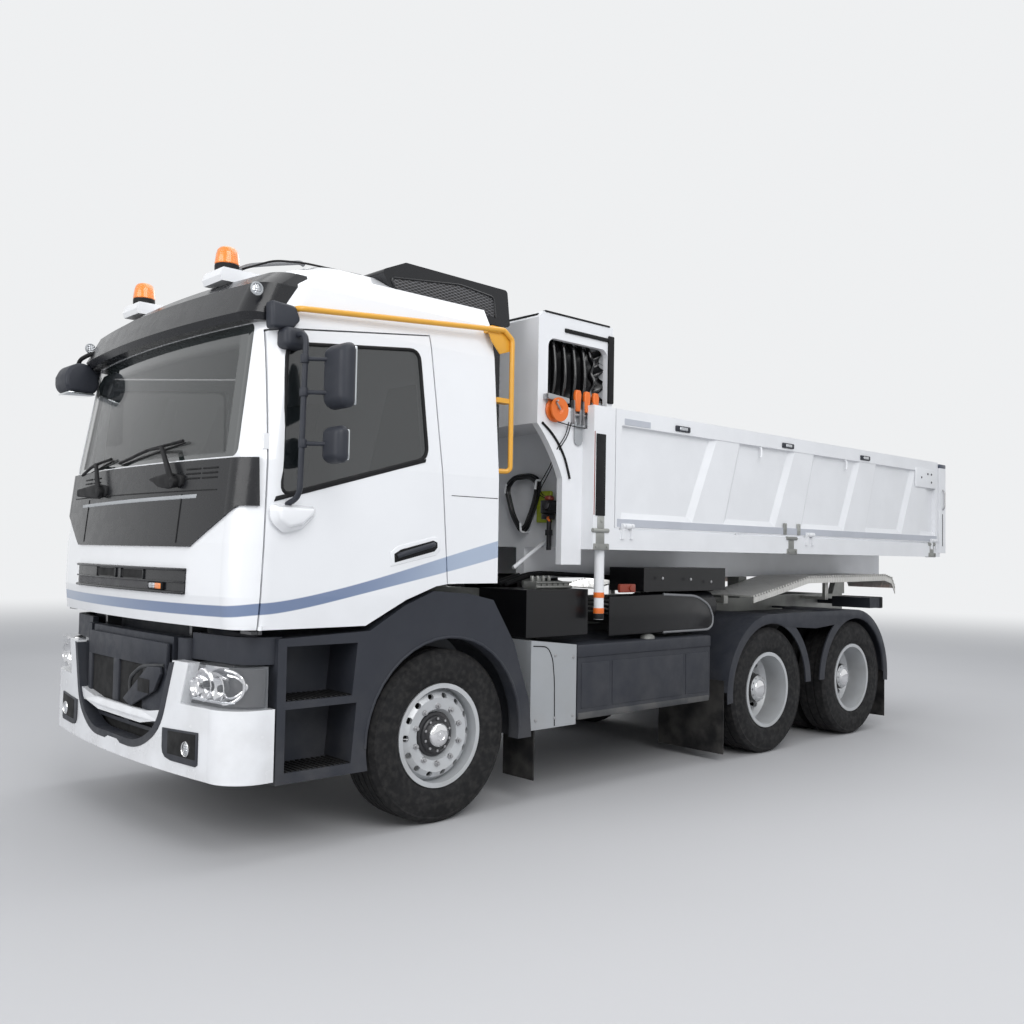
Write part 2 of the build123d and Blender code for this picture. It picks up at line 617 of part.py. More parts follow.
def bowed_prism(front_x, rear_x, half_width, corner, bow, z_from, z_to, mode=Mode.ADD):
    """Bowed outline carried up from z_from to z_to."""
    outline = bowed_face(front_x, rear_x, half_width, corner, bow, z_from)
    extrude(outline, amount=z_to - z_from, mode=mode)


LAMP_RECESS = 4.0
grille_opening = ((-690, BUMPER_TOP + 10), (-560, 610), (-330, 490), (330, 490), (560, 610),
                  (690, BUMPER_TOP + 10))
lamp_window = ((HEADLAMP_INNER, HEADLAMP_BOTTOM), (HEADLAMP_INNER + 70, BUMPER_TOP + 10),
               (BUMPER_HALF_WIDTH + 10, BUMPER_TOP + 10), (BUMPER_HALF_WIDTH + 10, HEADLAMP_BOTTOM))
FOG_LOW = 470.0
FOG_HIGH = 610.0
FOG_INNER = 740.0
FOG_OUTER = 900.0
BUMPER_CORNER = 200.0
BUMPER_BOW = 70.0
CROSS_BAR_HEIGHT = 60.0
CROSS_BAR_BOTTOM = 665.0
with BuildPart() as front_bumper:
    bowed_prism(bumper_front_x, bumper_rear_x, BUMPER_HALF_WIDTH, BUMPER_CORNER, BUMPER_BOW,
                BUMPER_BOTTOM, BUMPER_TOP)
    bowed_prism(bumper_front_x - BUMPER_WALL, bumper_rear_x - 10, BUMPER_HALF_WIDTH - BUMPER_WALL,
                BUMPER_CORNER - BUMPER_WALL / 2, BUMPER_BOW, BUMPER_BOTTOM - 10, BUMPER_TOP + 10,
                mode=Mode.SUBTRACT)
    end_prism(grille_opening, bumper_front_x - 260, bumper_front_x + 10, mode=Mode.SUBTRACT)
    for side in (1, -1):
        end_prism([(side * y, z) for y, z in lamp_window], bumper_rear_x - 10, bumper_front_x + 10,
                  mode=Mode.SUBTRACT)
        block((bumper_front_x - 300, bumper_front_x + 10), (side * FOG_INNER, side * FOG_OUTER),
              (FOG_LOW, FOG_HIGH), mode=Mode.SUBTRACT)
    # bar across the grille
    end_prism(((-620, CROSS_BAR_BOTTOM), (-300, CROSS_BAR_BOTTOM - 55), (300, CROSS_BAR_BOTTOM - 55),
               (620, CROSS_BAR_BOTTOM), (650, CROSS_BAR_BOTTOM + CROSS_BAR_HEIGHT),
               (300, CROSS_BAR_BOTTOM - 55 + CROSS_BAR_HEIGHT),
               (-300, CROSS_BAR_BOTTOM - 55 + CROSS_BAR_HEIGHT),
               (-650, CROSS_BAR_BOTTOM + CROSS_BAR_HEIGHT)), bumper_front_x - 75, bumper_front_x - 30)
    # brackets back to the frame
    pair((frame_front_x, bumper_front_x - 55), (rail_outer - 70, rail_outer - 20),
         (BUMPER_BOTTOM + 20, BUMPER_BOTTOM + 70))
    pair((frame_front_x, frame_front_x + 12), (rail_outer - 70, rail_outer - 20),
         (BUMPER_BOTTOM + 20, frame_bottom + 60))
save(front_bumper, "front_bumper")

GRILLE_TOP = 1095.0
GRILLE_DEPTH = 80.0
grille_front_x = bumper_front_x - 78.0
grille_back_x = grille_front_x - GRILLE_DEPTH
with BuildPart() as lower_grille:
    bowed_prism(grille_front_x, grille_back_x, 700.0, 40.0, 20.0, 560.0, GRILLE_TOP)
    # two large openings over two low ones
    for low, high, half in ((700.0, 930.0, 300.0), (580.0, 640.0, 250.0)):
        pair((grille_back_x - 10, grille_front_x + 10), (35.0, 35.0 + 2 * half), (low, high), Mode.SUBTRACT)
    # slots that the cab's tilt arms pass through
    pair((grille_back_x - 10, grille_front_x + 10),
         (TILT_ARM_INNER - 2 * KNUCKLE_GAP, TILT_ARM_INNER + TILT_ARM_WIDTH + 2 * KNUCKLE_GAP),
         (TILT_HEIGHT - TILT_ARM_RADIUS - 2 * KNUCKLE_GAP, GRILLE_TOP + 10), Mode.SUBTRACT)
    pair((frame_front_x, grille_back_x), (rail_outer - 30, rail_outer), (940, 1000))
save(lower_grille, "lower_grille")

LAMP_DEPTH = 110.0
lamp_gap = 3.0
with BuildPart() as front_lamps:
    bowed_prism(bumper_front_x - LAMP_RECESS, bumper_rear_x + 40, BUMPER_HALF_WIDTH - LAMP_RECESS,
                BUMPER_CORNER, BUMPER_BOW, HEADLAMP_BOTTOM + 0.3, BUMPER_TOP)
    bowed_prism(bumper_front_x - LAMP_DEPTH, bumper_rear_x - 10, BUMPER_HALF_WIDTH - LAMP_DEPTH,
                BUMPER_CORNER - 60, BUMPER_BOW, HEADLAMP_BOTTOM - 10, BUMPER_TOP + 10, mode=Mode.SUBTRACT)
    lamp_inner = HEADLAMP_INNER + lamp_gap
    end_prism(((-lamp_inner, HEADLAMP_BOTTOM), (-lamp_inner - 70, BUMPER_TOP + 20),
               (lamp_inner + 70, BUMPER_TOP + 20), (lamp_inner, HEADLAMP_BOTTOM)),
              bumper_rear_x - 50, bumper_front_x + 10, mode=Mode.SUBTRACT)
    # fog lamps in the bumper's lower corners
    for side in (1, -1):
        block((bumper_front_x - 200, bumper_front_x - 90), (side * FOG_INNER, side * FOG_OUTER),
              (FOG_LOW, FOG_HIGH))
save(front_lamps, "front_lamps")

# ---------------------------------------------------------------- steps and front wheel arches
ARCH_TOP = 1350.0
arch_x = front_axle_x
leg_outer = ARCH_INNER_RADIUS + ARCH_LIP_WIDTH
step_front_x = bumper_rear_x - 10.0
arch_outline = (
    (step_front_x, 385), (step_front_x, 1120), (ahead(560), 1140), (ahead(330), 1270), (ahead(120), ARCH_TOP),
    (ahead(-150), ARCH_TOP - 20), (ahead(-340), 1290), (ahead(-520), 1020), (ahead(-leg_outer), 640),
    (ahead(-leg_outer - 20), 430), (ahead(-ARCH_INNER_RADIUS), 430), (arch_x - 300, 430), (ahead(560), 385))
with BuildPart() as corner_trim:
    trim_front_x = bumper_front_x - CORNER_TRIM_SETBACK
    trim_half = BUMPER_HALF_WIDTH - 35.0
    trim_corner = BUMPER_CORNER - 20.0
    bowed_prism(trim_front_x, step_front_x - 40, trim_half, trim_corner, BUMPER_BOW,
                BUMPER_TOP + KNUCKLE_GAP, CORNER_TRIM_TOP)
    bowed_prism(trim_front_x - 35, step_front_x - 50, trim_half - 35, trim_corner - 20, BUMPER_BOW,
                BUMPER_TOP, CORNER_TRIM_TOP + 10, mode=Mode.SUBTRACT)
    block((step_front_x - 60, bumper_front_x), (-700, 700), (BUMPER_TOP, CORNER_TRIM_TOP + 10),
          mode=Mode.SUBTRACT)
with BuildPart() as step_arches:
    for side in (1, -1):
        side_prism(arch_outline, side * ARCH_LINER_INNER, side * ARCH_OUTER)
        # the arch's top is open inside, over the wheel
        block((ahead(-1000), ahead(470)),
              (side * (ARCH_LINER_INNER - 1), side * (ARCH_OUTER - ARCH_LIP_WIDTH)),
              (axle_z + ARCH_LINER_RADIUS + 30, ARCH_TOP + 60), mode=Mode.SUBTRACT)
        across(arch_x, axle_z, ARCH_LINER_RADIUS, side * (ARCH_LINER_INNER - 10),
               side * (ARCH_OUTER - ARCH_LIP_WIDTH), mode=Mode.SUBTRACT)
        across(arch_x, axle_z, ARCH_INNER_RADIUS, side * (ARCH_OUTER - ARCH_LIP_WIDTH - 10),
               side * (ARCH_OUTER + 10), mode=Mode.SUBTRACT)
        block((ahead(-540), ahead(540)), (side * (ARCH_LINER_INNER - 10), side * (ARCH_OUTER + 10)),
              (380, axle_z), mode=Mode.SUBTRACT)
        # footholds above each step
        foot_front = step_front_x - 50.0
        foot_rear = ahead(ARCH_LINER_RADIUS + 40)
        for low, high in ((STEP_HEIGHTS[0], STEP_HEIGHTS[1] - STEP_THICKNESS),
                          (STEP_HEIGHTS[1], 1080.0)):
            side_prism(((foot_front, low), (foot_front, high), (foot_rear - 30, high), (foot_rear, low)),
                       side * (ARCH_OUTER - 260), side * (ARCH_OUTER + 10), mode=Mode.SUBTRACT)
        # bracket to the frame
        block((ahead(820), ahead(900)), (side * rail_outer, side * ARCH_LINER_INNER), (860, 930))
        block((ahead(-600), ahead(-560)), (side * rail_outer, side * (ARCH_LINER_INNER + 10)), (760, 830))
    add(corner_trim.part)
save(step_arches, "step_arches")

# ---------------------------------------------------------------- side equipment between the axles
fairing_front_x = ahead(-leg_outer - 20) - EQUIPMENT_GAP
fairing_rear_x = ahead(FAIRING_REAR_AHEAD)
mudguard_radius = TYRE_RADIUS + MUDGUARD_CLEARANCE
mudguard_front_x = drive_axle_x[0] + mudguard_radius
box_rear_x = mudguard_front_x + 180.0
with BuildPart() as side_fairing:
    for side in (1, -1):
        side_prism(((fairing_rear_x, BOX_BOTTOM - 45), (fairing_front_x, BOX_BOTTOM - 45),
                    (fairing_front_x, BOX_TOP + 60), (fairing_rear_x, BOX_TOP + 15)),
                   side * (SIDE_OUTER - 320), side * SIDE_OUTER)
        block((fairing_rear_x + 100, fairing_rear_x + 160), (side * rail_outer, side * (SIDE_OUTER - 320)),
              (800, 880))
save(side_fairing, "side_fairings")

with BuildPart() as battery_box:
    block((box_rear_x, fairing_rear_x - EQUIPMENT_GAP), (SIDE_OUTER - 560, SIDE_OUTER), (BOX_BOTTOM, BOX_TOP))
    for x in (box_rear_x + 200, fairing_rear_x - 300):
        block((x - 30, x + 30), (rail_outer, SIDE_OUTER - 560), (780, 900))
save(battery_box, "battery_box")

TANK_RADIUS = 90.0
with BuildPart() as fuel_tank:
    with BuildSketch(Plane.YZ.offset(box_rear_x)) as outline:
        with Locations((-SIDE_OUTER + 290, (BOX_BOTTOM + BOX_TOP) / 2)):
            RectangleRounded(580, BOX_TOP - BOX_BOTTOM, TANK_RADIUS)
    extrude(outline.sketch, amount=fairing_rear_x - EQUIPMENT_GAP - box_rear_x)
    for x in (box_rear_x + 200, fairing_rear_x - 300):
        block((x - 30, x + 30), (-SIDE_OUTER + 570, -rail_outer), (780, 900))
save(fuel_tank, "fuel_tank")

# black air cleaner behind the cab, air tanks and the hydraulic box over the side boxes
AIR_TANK_RADIUS = 115.0
with BuildPart() as air_system:
    for side in (1, -1):
        block((ahead(-1300), ahead(-720)), (side * 660, side * 1120), (1035, 1340))
        block((ahead(-1000), ahead(-900)), (side * subframe_outer, side * 660), (1050, 1110))
        along(side * 1010, 1190, AIR_TANK_RADIUS, ahead(-2780), ahead(-1960))
        block((ahead(-2720), ahead(-2020)), (side * subframe_outer, side * 980), (1055, 1120))
        block((ahead(-2940), ahead(-1930)), (side * 760, side * 1090), (1312, 1485))
        block((ahead(-2500), ahead(-2460)), (side * 800, side * 860), (1100, 1330))
save(air_system, "air_system")

# ---------------------------------------------------------------- mudguards, flaps, deck and rear lamps
mudguard_low = 530.0
guard_inner = mudguard_radius
guard_outer = mudguard_radius + MUDGUARD_THICKNESS
guard_rear_x = drive_axle_x[1] - mudguard_radius
GUARD_LIP = 65.0
with BuildPart() as guard_lips:
    for side in (1, -1):
        y0, y1 = side * (MUDGUARD_OUTER - MUDGUARD_THICKNESS), side * MUDGUARD_OUTER
        for x in drive_axle_x:
            across(x, axle_z, guard_outer, y0, y1)
        for x in drive_axle_x:
            across(x, axle_z, guard_inner - GUARD_LIP, side * MUDGUARD_INNER, side * (MUDGUARD_OUTER + 10),
                   mode=Mode.SUBTRACT)
        block((drive_axle_x[1] - guard_outer - 5, drive_axle_x[0] + guard_outer + 5),
              (side * MUDGUARD_INNER, side * (MUDGUARD_OUTER + 10)), (-200, mudguard_low), mode=Mode.SUBTRACT)
with BuildPart() as mudguards:
    for side in (1, -1):
        y0, y1 = side * MUDGUARD_INNER, side * MUDGUARD_OUTER
        for x in drive_axle_x:
            across(x, axle_z, guard_outer, y0, y1)
        block((drive_axle_x[1], drive_axle_x[0]), (y0, y1), (axle_z + 300, axle_z + guard_outer - 25))
        for x in drive_axle_x:
            across(x, axle_z, guard_inner, y0, y1, mode=Mode.SUBTRACT)
        block((drive_axle_x[1] - guard_outer - 5, drive_axle_x[0] + guard_outer + 5), (y0, y1),
              (-200, mudguard_low), mode=Mode.SUBTRACT)
        block((drive_axle_x[1] + 150, drive_axle_x[0] - 150), (y0, y1), (-200, axle_z + guard_outer - 40),
              mode=Mode.SUBTRACT)
        # brackets to the subframe
        for x in drive_axle_x:
            block((x - 30, x + 30), (side * subframe_outer, side * (MUDGUARD_INNER + 60)),
                  (axle_z + guard_inner - 12, axle_z + guard_inner + 5))
    add(guard_lips.part)
save(mudguards, "mudguards")

with BuildPart() as mudflaps:
    for side in (1, -1):
        # (ahead of the front axle, inner y, outer y, bottom, top)
        for x, inner_y, outer_y, low, high in (
                (fairing_front_x - 60, 900.0, 1180.0, 140.0, BOX_BOTTOM - 45),
                (mudguard_front_x + MUDGUARD_THICKNESS, MUDGUARD_INNER, MUDGUARD_OUTER - 30, 60.0, 620.0),
                (guard_rear_x - MUDGUARD_THICKNESS - FLAP_MUD_THICKNESS, MUDGUARD_INNER,
                 MUDGUARD_OUTER - 30, 100.0, 620.0)):
            block((x, x + FLAP_MUD_THICKNESS), (side * inner_y, side * outer_y), (low, high))
save(mudflaps, "mudflaps")

# bent covers over the frame's rear, (ahead of the front axle, height) of the upper face
DECK_LINE = ((-3300.0, 1262.0), (-3700.0, 1330.0), (-4150.0, 1415.0), (-5560.0, 1430.0), (-5700.0, 1400.0),
             (-5770.0, 1300.0))
DECK_INNER = 632.0
DECK_OUTER = 1120.0
DECK_THICKNESS = 12.0
DECK_BRACKETS = ((-3600.0, 1302.0), (-5300.0, 1421.0))
BRACKET_BOTTOM = 1170.0
with BuildPart() as deck_plates:
    upper = [(ahead(x), z) for x, z in DECK_LINE]
    lower = [(x, z - DECK_THICKNESS) for x, z in upper[:-2]]
    lower += [(ahead(-5690), 1389), (ahead(-5757), 1295)]
    for side in (1, -1):
        side_prism(upper + lower[::-1], side * DECK_INNER, side * DECK_OUTER)
        for place, top in DECK_BRACKETS:
            xs = (ahead(place), ahead(place) + 60)
            block(xs, (side * subframe_outer, side * (DECK_INNER + 30)),
                  (BRACKET_BOTTOM, BRACKET_BOTTOM + 30))
            block(xs, (side * DECK_INNER, side * (DECK_INNER + 30)), (BRACKET_BOTTOM, top))
save(deck_plates, "deck_plates")

UNDERRUN_AHEAD = -5720.0
UNDERRUN_BOTTOM = 480.0
UNDERRUN_DEPTH = 60.0
with BuildPart() as rear_underrun:
    underrun_x = ahead(UNDERRUN_AHEAD)
    block((underrun_x, underrun_x + UNDERRUN_DEPTH), (-1000, 1000), (UNDERRUN_BOTTOM, UNDERRUN_BOTTOM + 110))
    pair((underrun_x, underrun_x + UNDERRUN_DEPTH), (rail_outer, rail_outer + 12),
         (UNDERRUN_BOTTOM, FRAME_TOP - 40))
    block((frame_rear_x - 12, frame_rear_x), (-550, 550), (FRAME_TOP - 80, FRAME_TOP))
save(rear_underrun, "rear_underrun")

LAMP_BOTTOM, LAMP_TOP = 1100.0, 1200.0
with BuildPart() as rear_lamps:
    pair((ahead(-5700), ahead(-5450)), (620, 1020), (LAMP_BOTTOM, LAMP_TOP))
    pair((ahead(-5600), ahead(-5560)), (subframe_outer, 620), (LAMP_BOTTOM + 20, LAMP_TOP - 30))
save(rear_lamps, "rear_lamps")

# ---------------------------------------------------------------- cab
cab_rear_x = ahead(CAB_REAR_AHEAD)
roof_start = CAB_STATIONS[4][0]
roof_height = CAB_STATIONS[-1][0]


def cab_solid(inset, bottom=None):
    """The cab's outer body, with every face moved in by the inset; the roof comes down as much."""
    sections = []
    for height, front, half_width in CAB_STATIONS:
        share = max(0.0, (height - roof_start) / (roof_height - roof_start))
        level = height - inset * share
        if bottom is not None and not sections:
            level = bottom
        sections.append(bowed_face(ahead(front) - inset, cab_rear_x + inset, half_width - inset,
                                   CAB_CORNER - inset / 2, CAB_BOW, level))
    with BuildPart() as body:
        loft(sections, ruled=True)
    return body.part


cab_outer = cab_solid(0.0)
cab_inner = cab_solid(CAB_WALL, CAB_SKIRT - 1)

# lower edge of the cab's side, over the wheel arch: (ahead of the front axle, height)
SKIRT_LINE = ((600.0, CAB_SKIRT), (330.0, 1305.0), (120.0, 1378.0), (40.0, 1390.0))
SKIRT_REAR = 1392.0
CAB_FLOOR_LOW = 1398.0
CAB_FLOOR_THICKNESS = 40.0
WINDOW = ((1135.0, 1845.0), (190.0, 2110.0), (230.0, 2735.0), (1090.0, 2640.0))
WINDSCREEN = ((-1095.0, 2045.0), (1095.0, 2045.0), (1045.0, 2750.0), (-1045.0, 2750.0))

door_points = [(ahead(DOOR_FRONT_BOTTOM_AHEAD), CAB_SKIRT)]
door_points += [(ahead(x), z) for x, z in SKIRT_LINE]
door_points += [(ahead(DOOR_REAR_TOP_AHEAD), DOOR_TOP_REAR), (ahead(DOOR_FRONT_TOP_AHEAD), DOOR_TOP_FRONT)]
aperture_points = [
    (ahead(DOOR_FRONT_BOTTOM_AHEAD) + DOOR_GAP + 4, CAB_SKIRT - 100),
    (ahead(DOOR_REAR_BOTTOM_AHEAD) - DOOR_GAP - 22, CAB_SKIRT - 100),
    (ahead(DOOR_REAR_BOTTOM_AHEAD) - DOOR_GAP, SKIRT_LINE[-1][1]),
    (ahead(DOOR_REAR_TOP_AHEAD) - DOOR_GAP, DOOR_TOP_REAR + DOOR_GAP),
    (ahead(DOOR_FRONT_TOP_AHEAD) + DOOR_GAP, DOOR_TOP_FRONT + DOOR_GAP)]
window_points = [(ahead(x), z) for x, z in WINDOW]
floor_half = CAB_STATIONS[0][2] - CAB_WALL - DOOR_GAP - 32


def door_front_edge(height):
    """X of the door's front edge at a height."""
    slope = (DOOR_FRONT_TOP_AHEAD - DOOR_FRONT_BOTTOM_AHEAD) / (DOOR_TOP_FRONT - CAB_SKIRT)
    return ahead(DOOR_FRONT_BOTTOM_AHEAD + slope * (height - CAB_SKIRT))


def door_rear_edge(height):
    """X of the door's rear edge at a height."""
    slope = (DOOR_REAR_TOP_AHEAD - DOOR_REAR_BOTTOM_AHEAD) / (DOOR_TOP_REAR - SKIRT_LINE[-1][1])
    return ahead(DOOR_REAR_BOTTOM_AHEAD + slope * (height - SKIRT_LINE[-1][1]))


HINGE_LEAVES = ((1450.0, 1530.0), (2080.0, 2160.0))
STRIKER = (1480.0, 1560.0)
BEACON_AHEAD = 1125.0
BEACON_OFFSET = 560.0
BEACON_RADIUS = 68.0
BEACON_TOP = 3270.0
POD_TOP = 3120.0
pod_outline = ((ahead(940), 3045), (ahead(1205), 3045), (ahead(1218), 3075), (ahead(1200), POD_TOP),
               (ahead(940), POD_TOP))

# lowest hinge of each door: a pin that leans as the door's front edge does
HINGE_OFFSET = 1240.0
HINGE_PIN_RADIUS = 6.0
HINGE_RING_RADIUS = 12.0
HINGE_BOTTOM = 1149.0
HINGE_PLATE_TOP = CAB_SKIRT - KNUCKLE_GAP


def on_hinge(side, radius, z_from, z_to, mode=Mode.ADD):
    """Round bar or bore on a door's hinge line."""
    lean = (DOOR_FRONT_TOP_AHEAD - DOOR_FRONT_BOTTOM_AHEAD) / (DOOR_TOP_FRONT - CAB_SKIRT)
    foot = (ahead(DOOR_FRONT_BOTTOM_AHEAD + lean * (z_from - CAB_SKIRT)), side * HINGE_OFFSET, z_from)
    with BuildSketch(Plane(origin=foot, x_dir=(0, 1, 0), z_dir=(lean, 0, 1))) as outline:
        Circle(radius)
    extrude(outline.sketch, amount=(z_to - z_from) * sqrt(1 + lean ** 2), mode=mode)


with BuildPart() as cab_shell:
    add(cab_outer)
    # pods under the beacons
    for side in (1, -1):
        side_prism(pod_outline, side * (BEACON_OFFSET - 110), side * (BEACON_OFFSET + 110))
    add(cab_inner, mode=Mode.SUBTRACT)
    for side in (1, -1):
        side_prism(aperture_points, side * 900, side * 1300, mode=Mode.SUBTRACT)
    # the skirt rises behind the doors, over the wheels
    side_prism(((ahead(60), CAB_SKIRT - 10), (ahead(60), SKIRT_REAR), (cab_rear_x - 10, SKIRT_REAR),
                (cab_rear_x - 10, CAB_SKIRT - 10)), -1300, 1300, mode=Mode.SUBTRACT)
    end_prism(WINDSCREEN, ahead(1000), ahead(1500), rounding=40.0, mode=Mode.SUBTRACT)
    # hinge leaves in the front gap of each door and a striker in the rear gap
    for side in (1, -1):
        for low, high in HINGE_LEAVES:
            side_prism([(door_front_edge(low) + REST_GAP, low), (door_front_edge(high) + REST_GAP, high),
                        (door_front_edge(high) + DOOR_GAP + 20, high),
                        (door_front_edge(low) + DOOR_GAP + 20, low)], side * 1185, side * 1215)
        low_x, high_x = door_rear_edge(STRIKER[0]), door_rear_edge(STRIKER[1])
        side_prism([(low_x - REST_GAP, STRIKER[0]), (high_x - REST_GAP, STRIKER[1]),
                    (high_x - DOOR_GAP - 20, STRIKER[1]), (low_x - DOOR_GAP - 20, STRIKER[0])],
                   side * 1215, side * 1230)
    # floor, stepped up over the engine
    floor_front = ahead(CAB_STATIONS[1][1]) - CAB_BOW - CAB_WALL / 2
    for side in (1, -1):
        block((cab_rear_x + 10, floor_front), (side * TUNNEL_HALF_WIDTH, side * floor_half),
              (CAB_FLOOR_LOW, CAB_FLOOR_LOW + CAB_FLOOR_THICKNESS))
        block((cab_rear_x + 10, floor_front), (side * TUNNEL_HALF_WIDTH, side * (TUNNEL_HALF_WIDTH + 40)),
              (CAB_FLOOR_LOW, CAB_FLOOR + 40))
    block((cab_rear_x + 10, floor_front), (-TUNNEL_HALF_WIDTH, TUNNEL_HALF_WIDTH),
          (CAB_FLOOR, CAB_FLOOR + 40))
    block((cab_rear_x - 10, cab_rear_x + CAB_WALL + 10), (-TUNNEL_HALF_WIDTH, TUNNEL_HALF_WIDTH),
          (CAB_SKIRT, CAB_FLOOR), mode=Mode.SUBTRACT)
    # arms down to the tilt pivot
    for side in (1, -1):
        front, rear = ahead(TILT_AHEAD) + TILT_ARM_RADIUS, ahead(TILT_AHEAD) - TILT_ARM_RADIUS
        side_prism(((rear, TILT_HEIGHT), (front, TILT_HEIGHT), (front, CAB_FLOOR_LOW), (rear, CAB_FLOOR_LOW)),
                   side * TILT_ARM_INNER, side * (TILT_ARM_INNER + TILT_ARM_WIDTH))
        across(ahead(TILT_AHEAD), TILT_HEIGHT, TILT_ARM_RADIUS,
               side * TILT_ARM_INNER, side * (TILT_ARM_INNER + TILT_ARM_WIDTH))
    across(ahead(TILT_AHEAD), TILT_HEIGHT, TILT_PIN_RADIUS + BEARING_CLEARANCE, -900, 900, mode=Mode.SUBTRACT)
    # plates and pins of the doors' lowest hinges
    for side in (1, -1):
        block((ahead(1222), ahead(1282)), (side * 1130, side * HINGE_OFFSET),
              (HINGE_BOTTOM + 1, HINGE_PLATE_TOP))
        block((ahead(1254), ahead(1282)), (side * 1130, side * 1168), (HINGE_BOTTOM + 1, CAB_SKIRT + 20))
        on_hinge(side, HINGE_RING_RADIUS, HINGE_BOTTOM, HINGE_PLATE_TOP)
        on_hinge(side, HINGE_PIN_RADIUS, HINGE_BOTTOM, CAB_SKIRT + 22)
save(cab_shell, "cab_shell")

with BuildPart() as windscreen:
    add(cab_solid(GLASS_THICKNESS / 3))
    add(cab_solid(GLASS_THICKNESS * 4 / 3, CAB_SKIRT - 1), mode=Mode.SUBTRACT)
    end_prism(WINDSCREEN, ahead(1000), ahead(1500), rounding=40.0, mode=Mode.INTERSECT)
save(windscreen, "windscreen")

mask_outline = ((-775, 1580), (775, 1580), (1150, 1790), (1300, 1790), (1300, 2036), (-1300, 2036),
                (-1300, 1790), (-1150, 1790))
with BuildPart() as front_mask:
    add(cab_solid(-MASK_THICKNESS))
    add(cab_solid(0.0, CAB_SKIRT - 1), mode=Mode.SUBTRACT)
    end_prism(mask_outline, ahead(1250), ahead(1600), mode=Mode.INTERSECT)
save(front_mask, "front_mask")

with BuildPart() as upper_grille:
    add(cab_solid(-MASK_THICKNESS - 8))
    add(cab_solid(0.0, CAB_SKIRT - 1), mode=Mode.SUBTRACT)
    end_prism(((-760, 1330), (760, 1330), (760, 1465), (-760, 1465)), ahead(1250), ahead(1600),
              rounding=30.0, mode=Mode.INTERSECT)
save(upper_grille, "upper_grille")

# (height, front ahead, half width)
VISOR_STATIONS = ((2752.0, 1350.0, 1130.0), (2790.0, 1372.0, 1140.0), (2960.0, 1290.0, 1120.0),
                  (3040.0, 1180.0, 1090.0))
with BuildPart() as sun_visor:
    loft([bowed_face(ahead(front), ahead(930), half, 120, CAB_BOW, z) for z, front, half in VISOR_STATIONS],
         ruled=True)
    add(cab_outer, mode=Mode.SUBTRACT)
save(sun_visor, "sun_visor")

with BuildPart() as beacons:
    for side in (1, -1):
        upright(ahead(BEACON_AHEAD), side * BEACON_OFFSET, BEACON_RADIUS, POD_TOP, BEACON_TOP)
save(beacons, "beacons")

INTAKE_OUTER = 1060.0
INTAKE_INNER = 480.0
with BuildPart() as roof_intake:
    side_prism(((ahead(300), 3000), (ahead(420), 3190), (ahead(250), 3265), (ahead(-560), 3255),
                (ahead(-590), 3020)), INTAKE_INNER, INTAKE_OUTER, rounding=25.0)
    block((ahead(-560), cab_rear_x), (INTAKE_INNER + 100, INTAKE_OUTER - 60), (1700, 3040))
    add(cab_outer, mode=Mode.SUBTRACT)
save(roof_intake, "roof_intake")

RAIL_OFFSET = 1212.0
RAIL_TUBE = 16.0
with BuildPart() as guard_rail:
    tube_along(((ahead(1045), 1130, 2825), (ahead(1045), RAIL_OFFSET, 2825), (ahead(-400), RAIL_OFFSET, 2950),
                (ahead(-470), RAIL_OFFSET, 2900), (ahead(-470), RAIL_OFFSET, 2080), (cab_rear_x, 1150, 2080)),
               RAIL_TUBE, 30.0)
    block((ahead(-470), cab_rear_x), (1150, RAIL_OFFSET), (2500, 2530))
    block((cab_rear_x - 12, cab_rear_x + 60), (1100, RAIL_OFFSET), (2925, 2965))
    add(cab_outer, mode=Mode.SUBTRACT)
save(guard_rail, "guard_rail")

SEAT_OFFSET = 640.0
with BuildPart() as cab_interior:
    floor_z = CAB_FLOOR_LOW + CAB_FLOOR_THICKNESS
    for side in (1, -1):
        y = side * SEAT_OFFSET
        block((ahead(80), ahead(480)), (side * (TUNNEL_HALF_WIDTH + 50), side * 940), (floor_z, 1780))
        block((ahead(-20), ahead(560)), (side * (TUNNEL_HALF_WIDTH - 100), side * 960), (1780, 1930))
        side_prism(((ahead(-30), 1930), (ahead(110), 1930), (ahead(-60), 2620), (ahead(-160), 2620)),
                   side * (TUNNEL_HALF_WIDTH - 80), side * 940)
    # dashboard
    side_prism(((ahead(960), 1800), (ahead(1215), 1700), (ahead(1215), 1990), (ahead(1050), 2010)),
               -1090, 1090)
    block((ahead(1130), ahead(1210)), (-1080, 1080), (CAB_FLOOR + 40, 1760))
    # steering wheel on its column
    hub = (ahead(870), SEAT_OFFSET, 2020)
    with BuildSketch(Plane(origin=hub, x_dir=(0, 1, 0), z_dir=(-0.55, 0, 0.83))) as wheel:
        Circle(225)
        Circle(195, mode=Mode.SUBTRACT)
        Rectangle(400, 40)
        Circle(60)
    extrude(wheel.sketch, amount=26)
    with BuildSketch(Plane(origin=hub, x_dir=(0, 1, 0), z_dir=(0.55, 0, -0.83))) as column:
        Circle(45)
    extrude(column.sketch, amount=260)
save(cab_interior, "cab_interior")

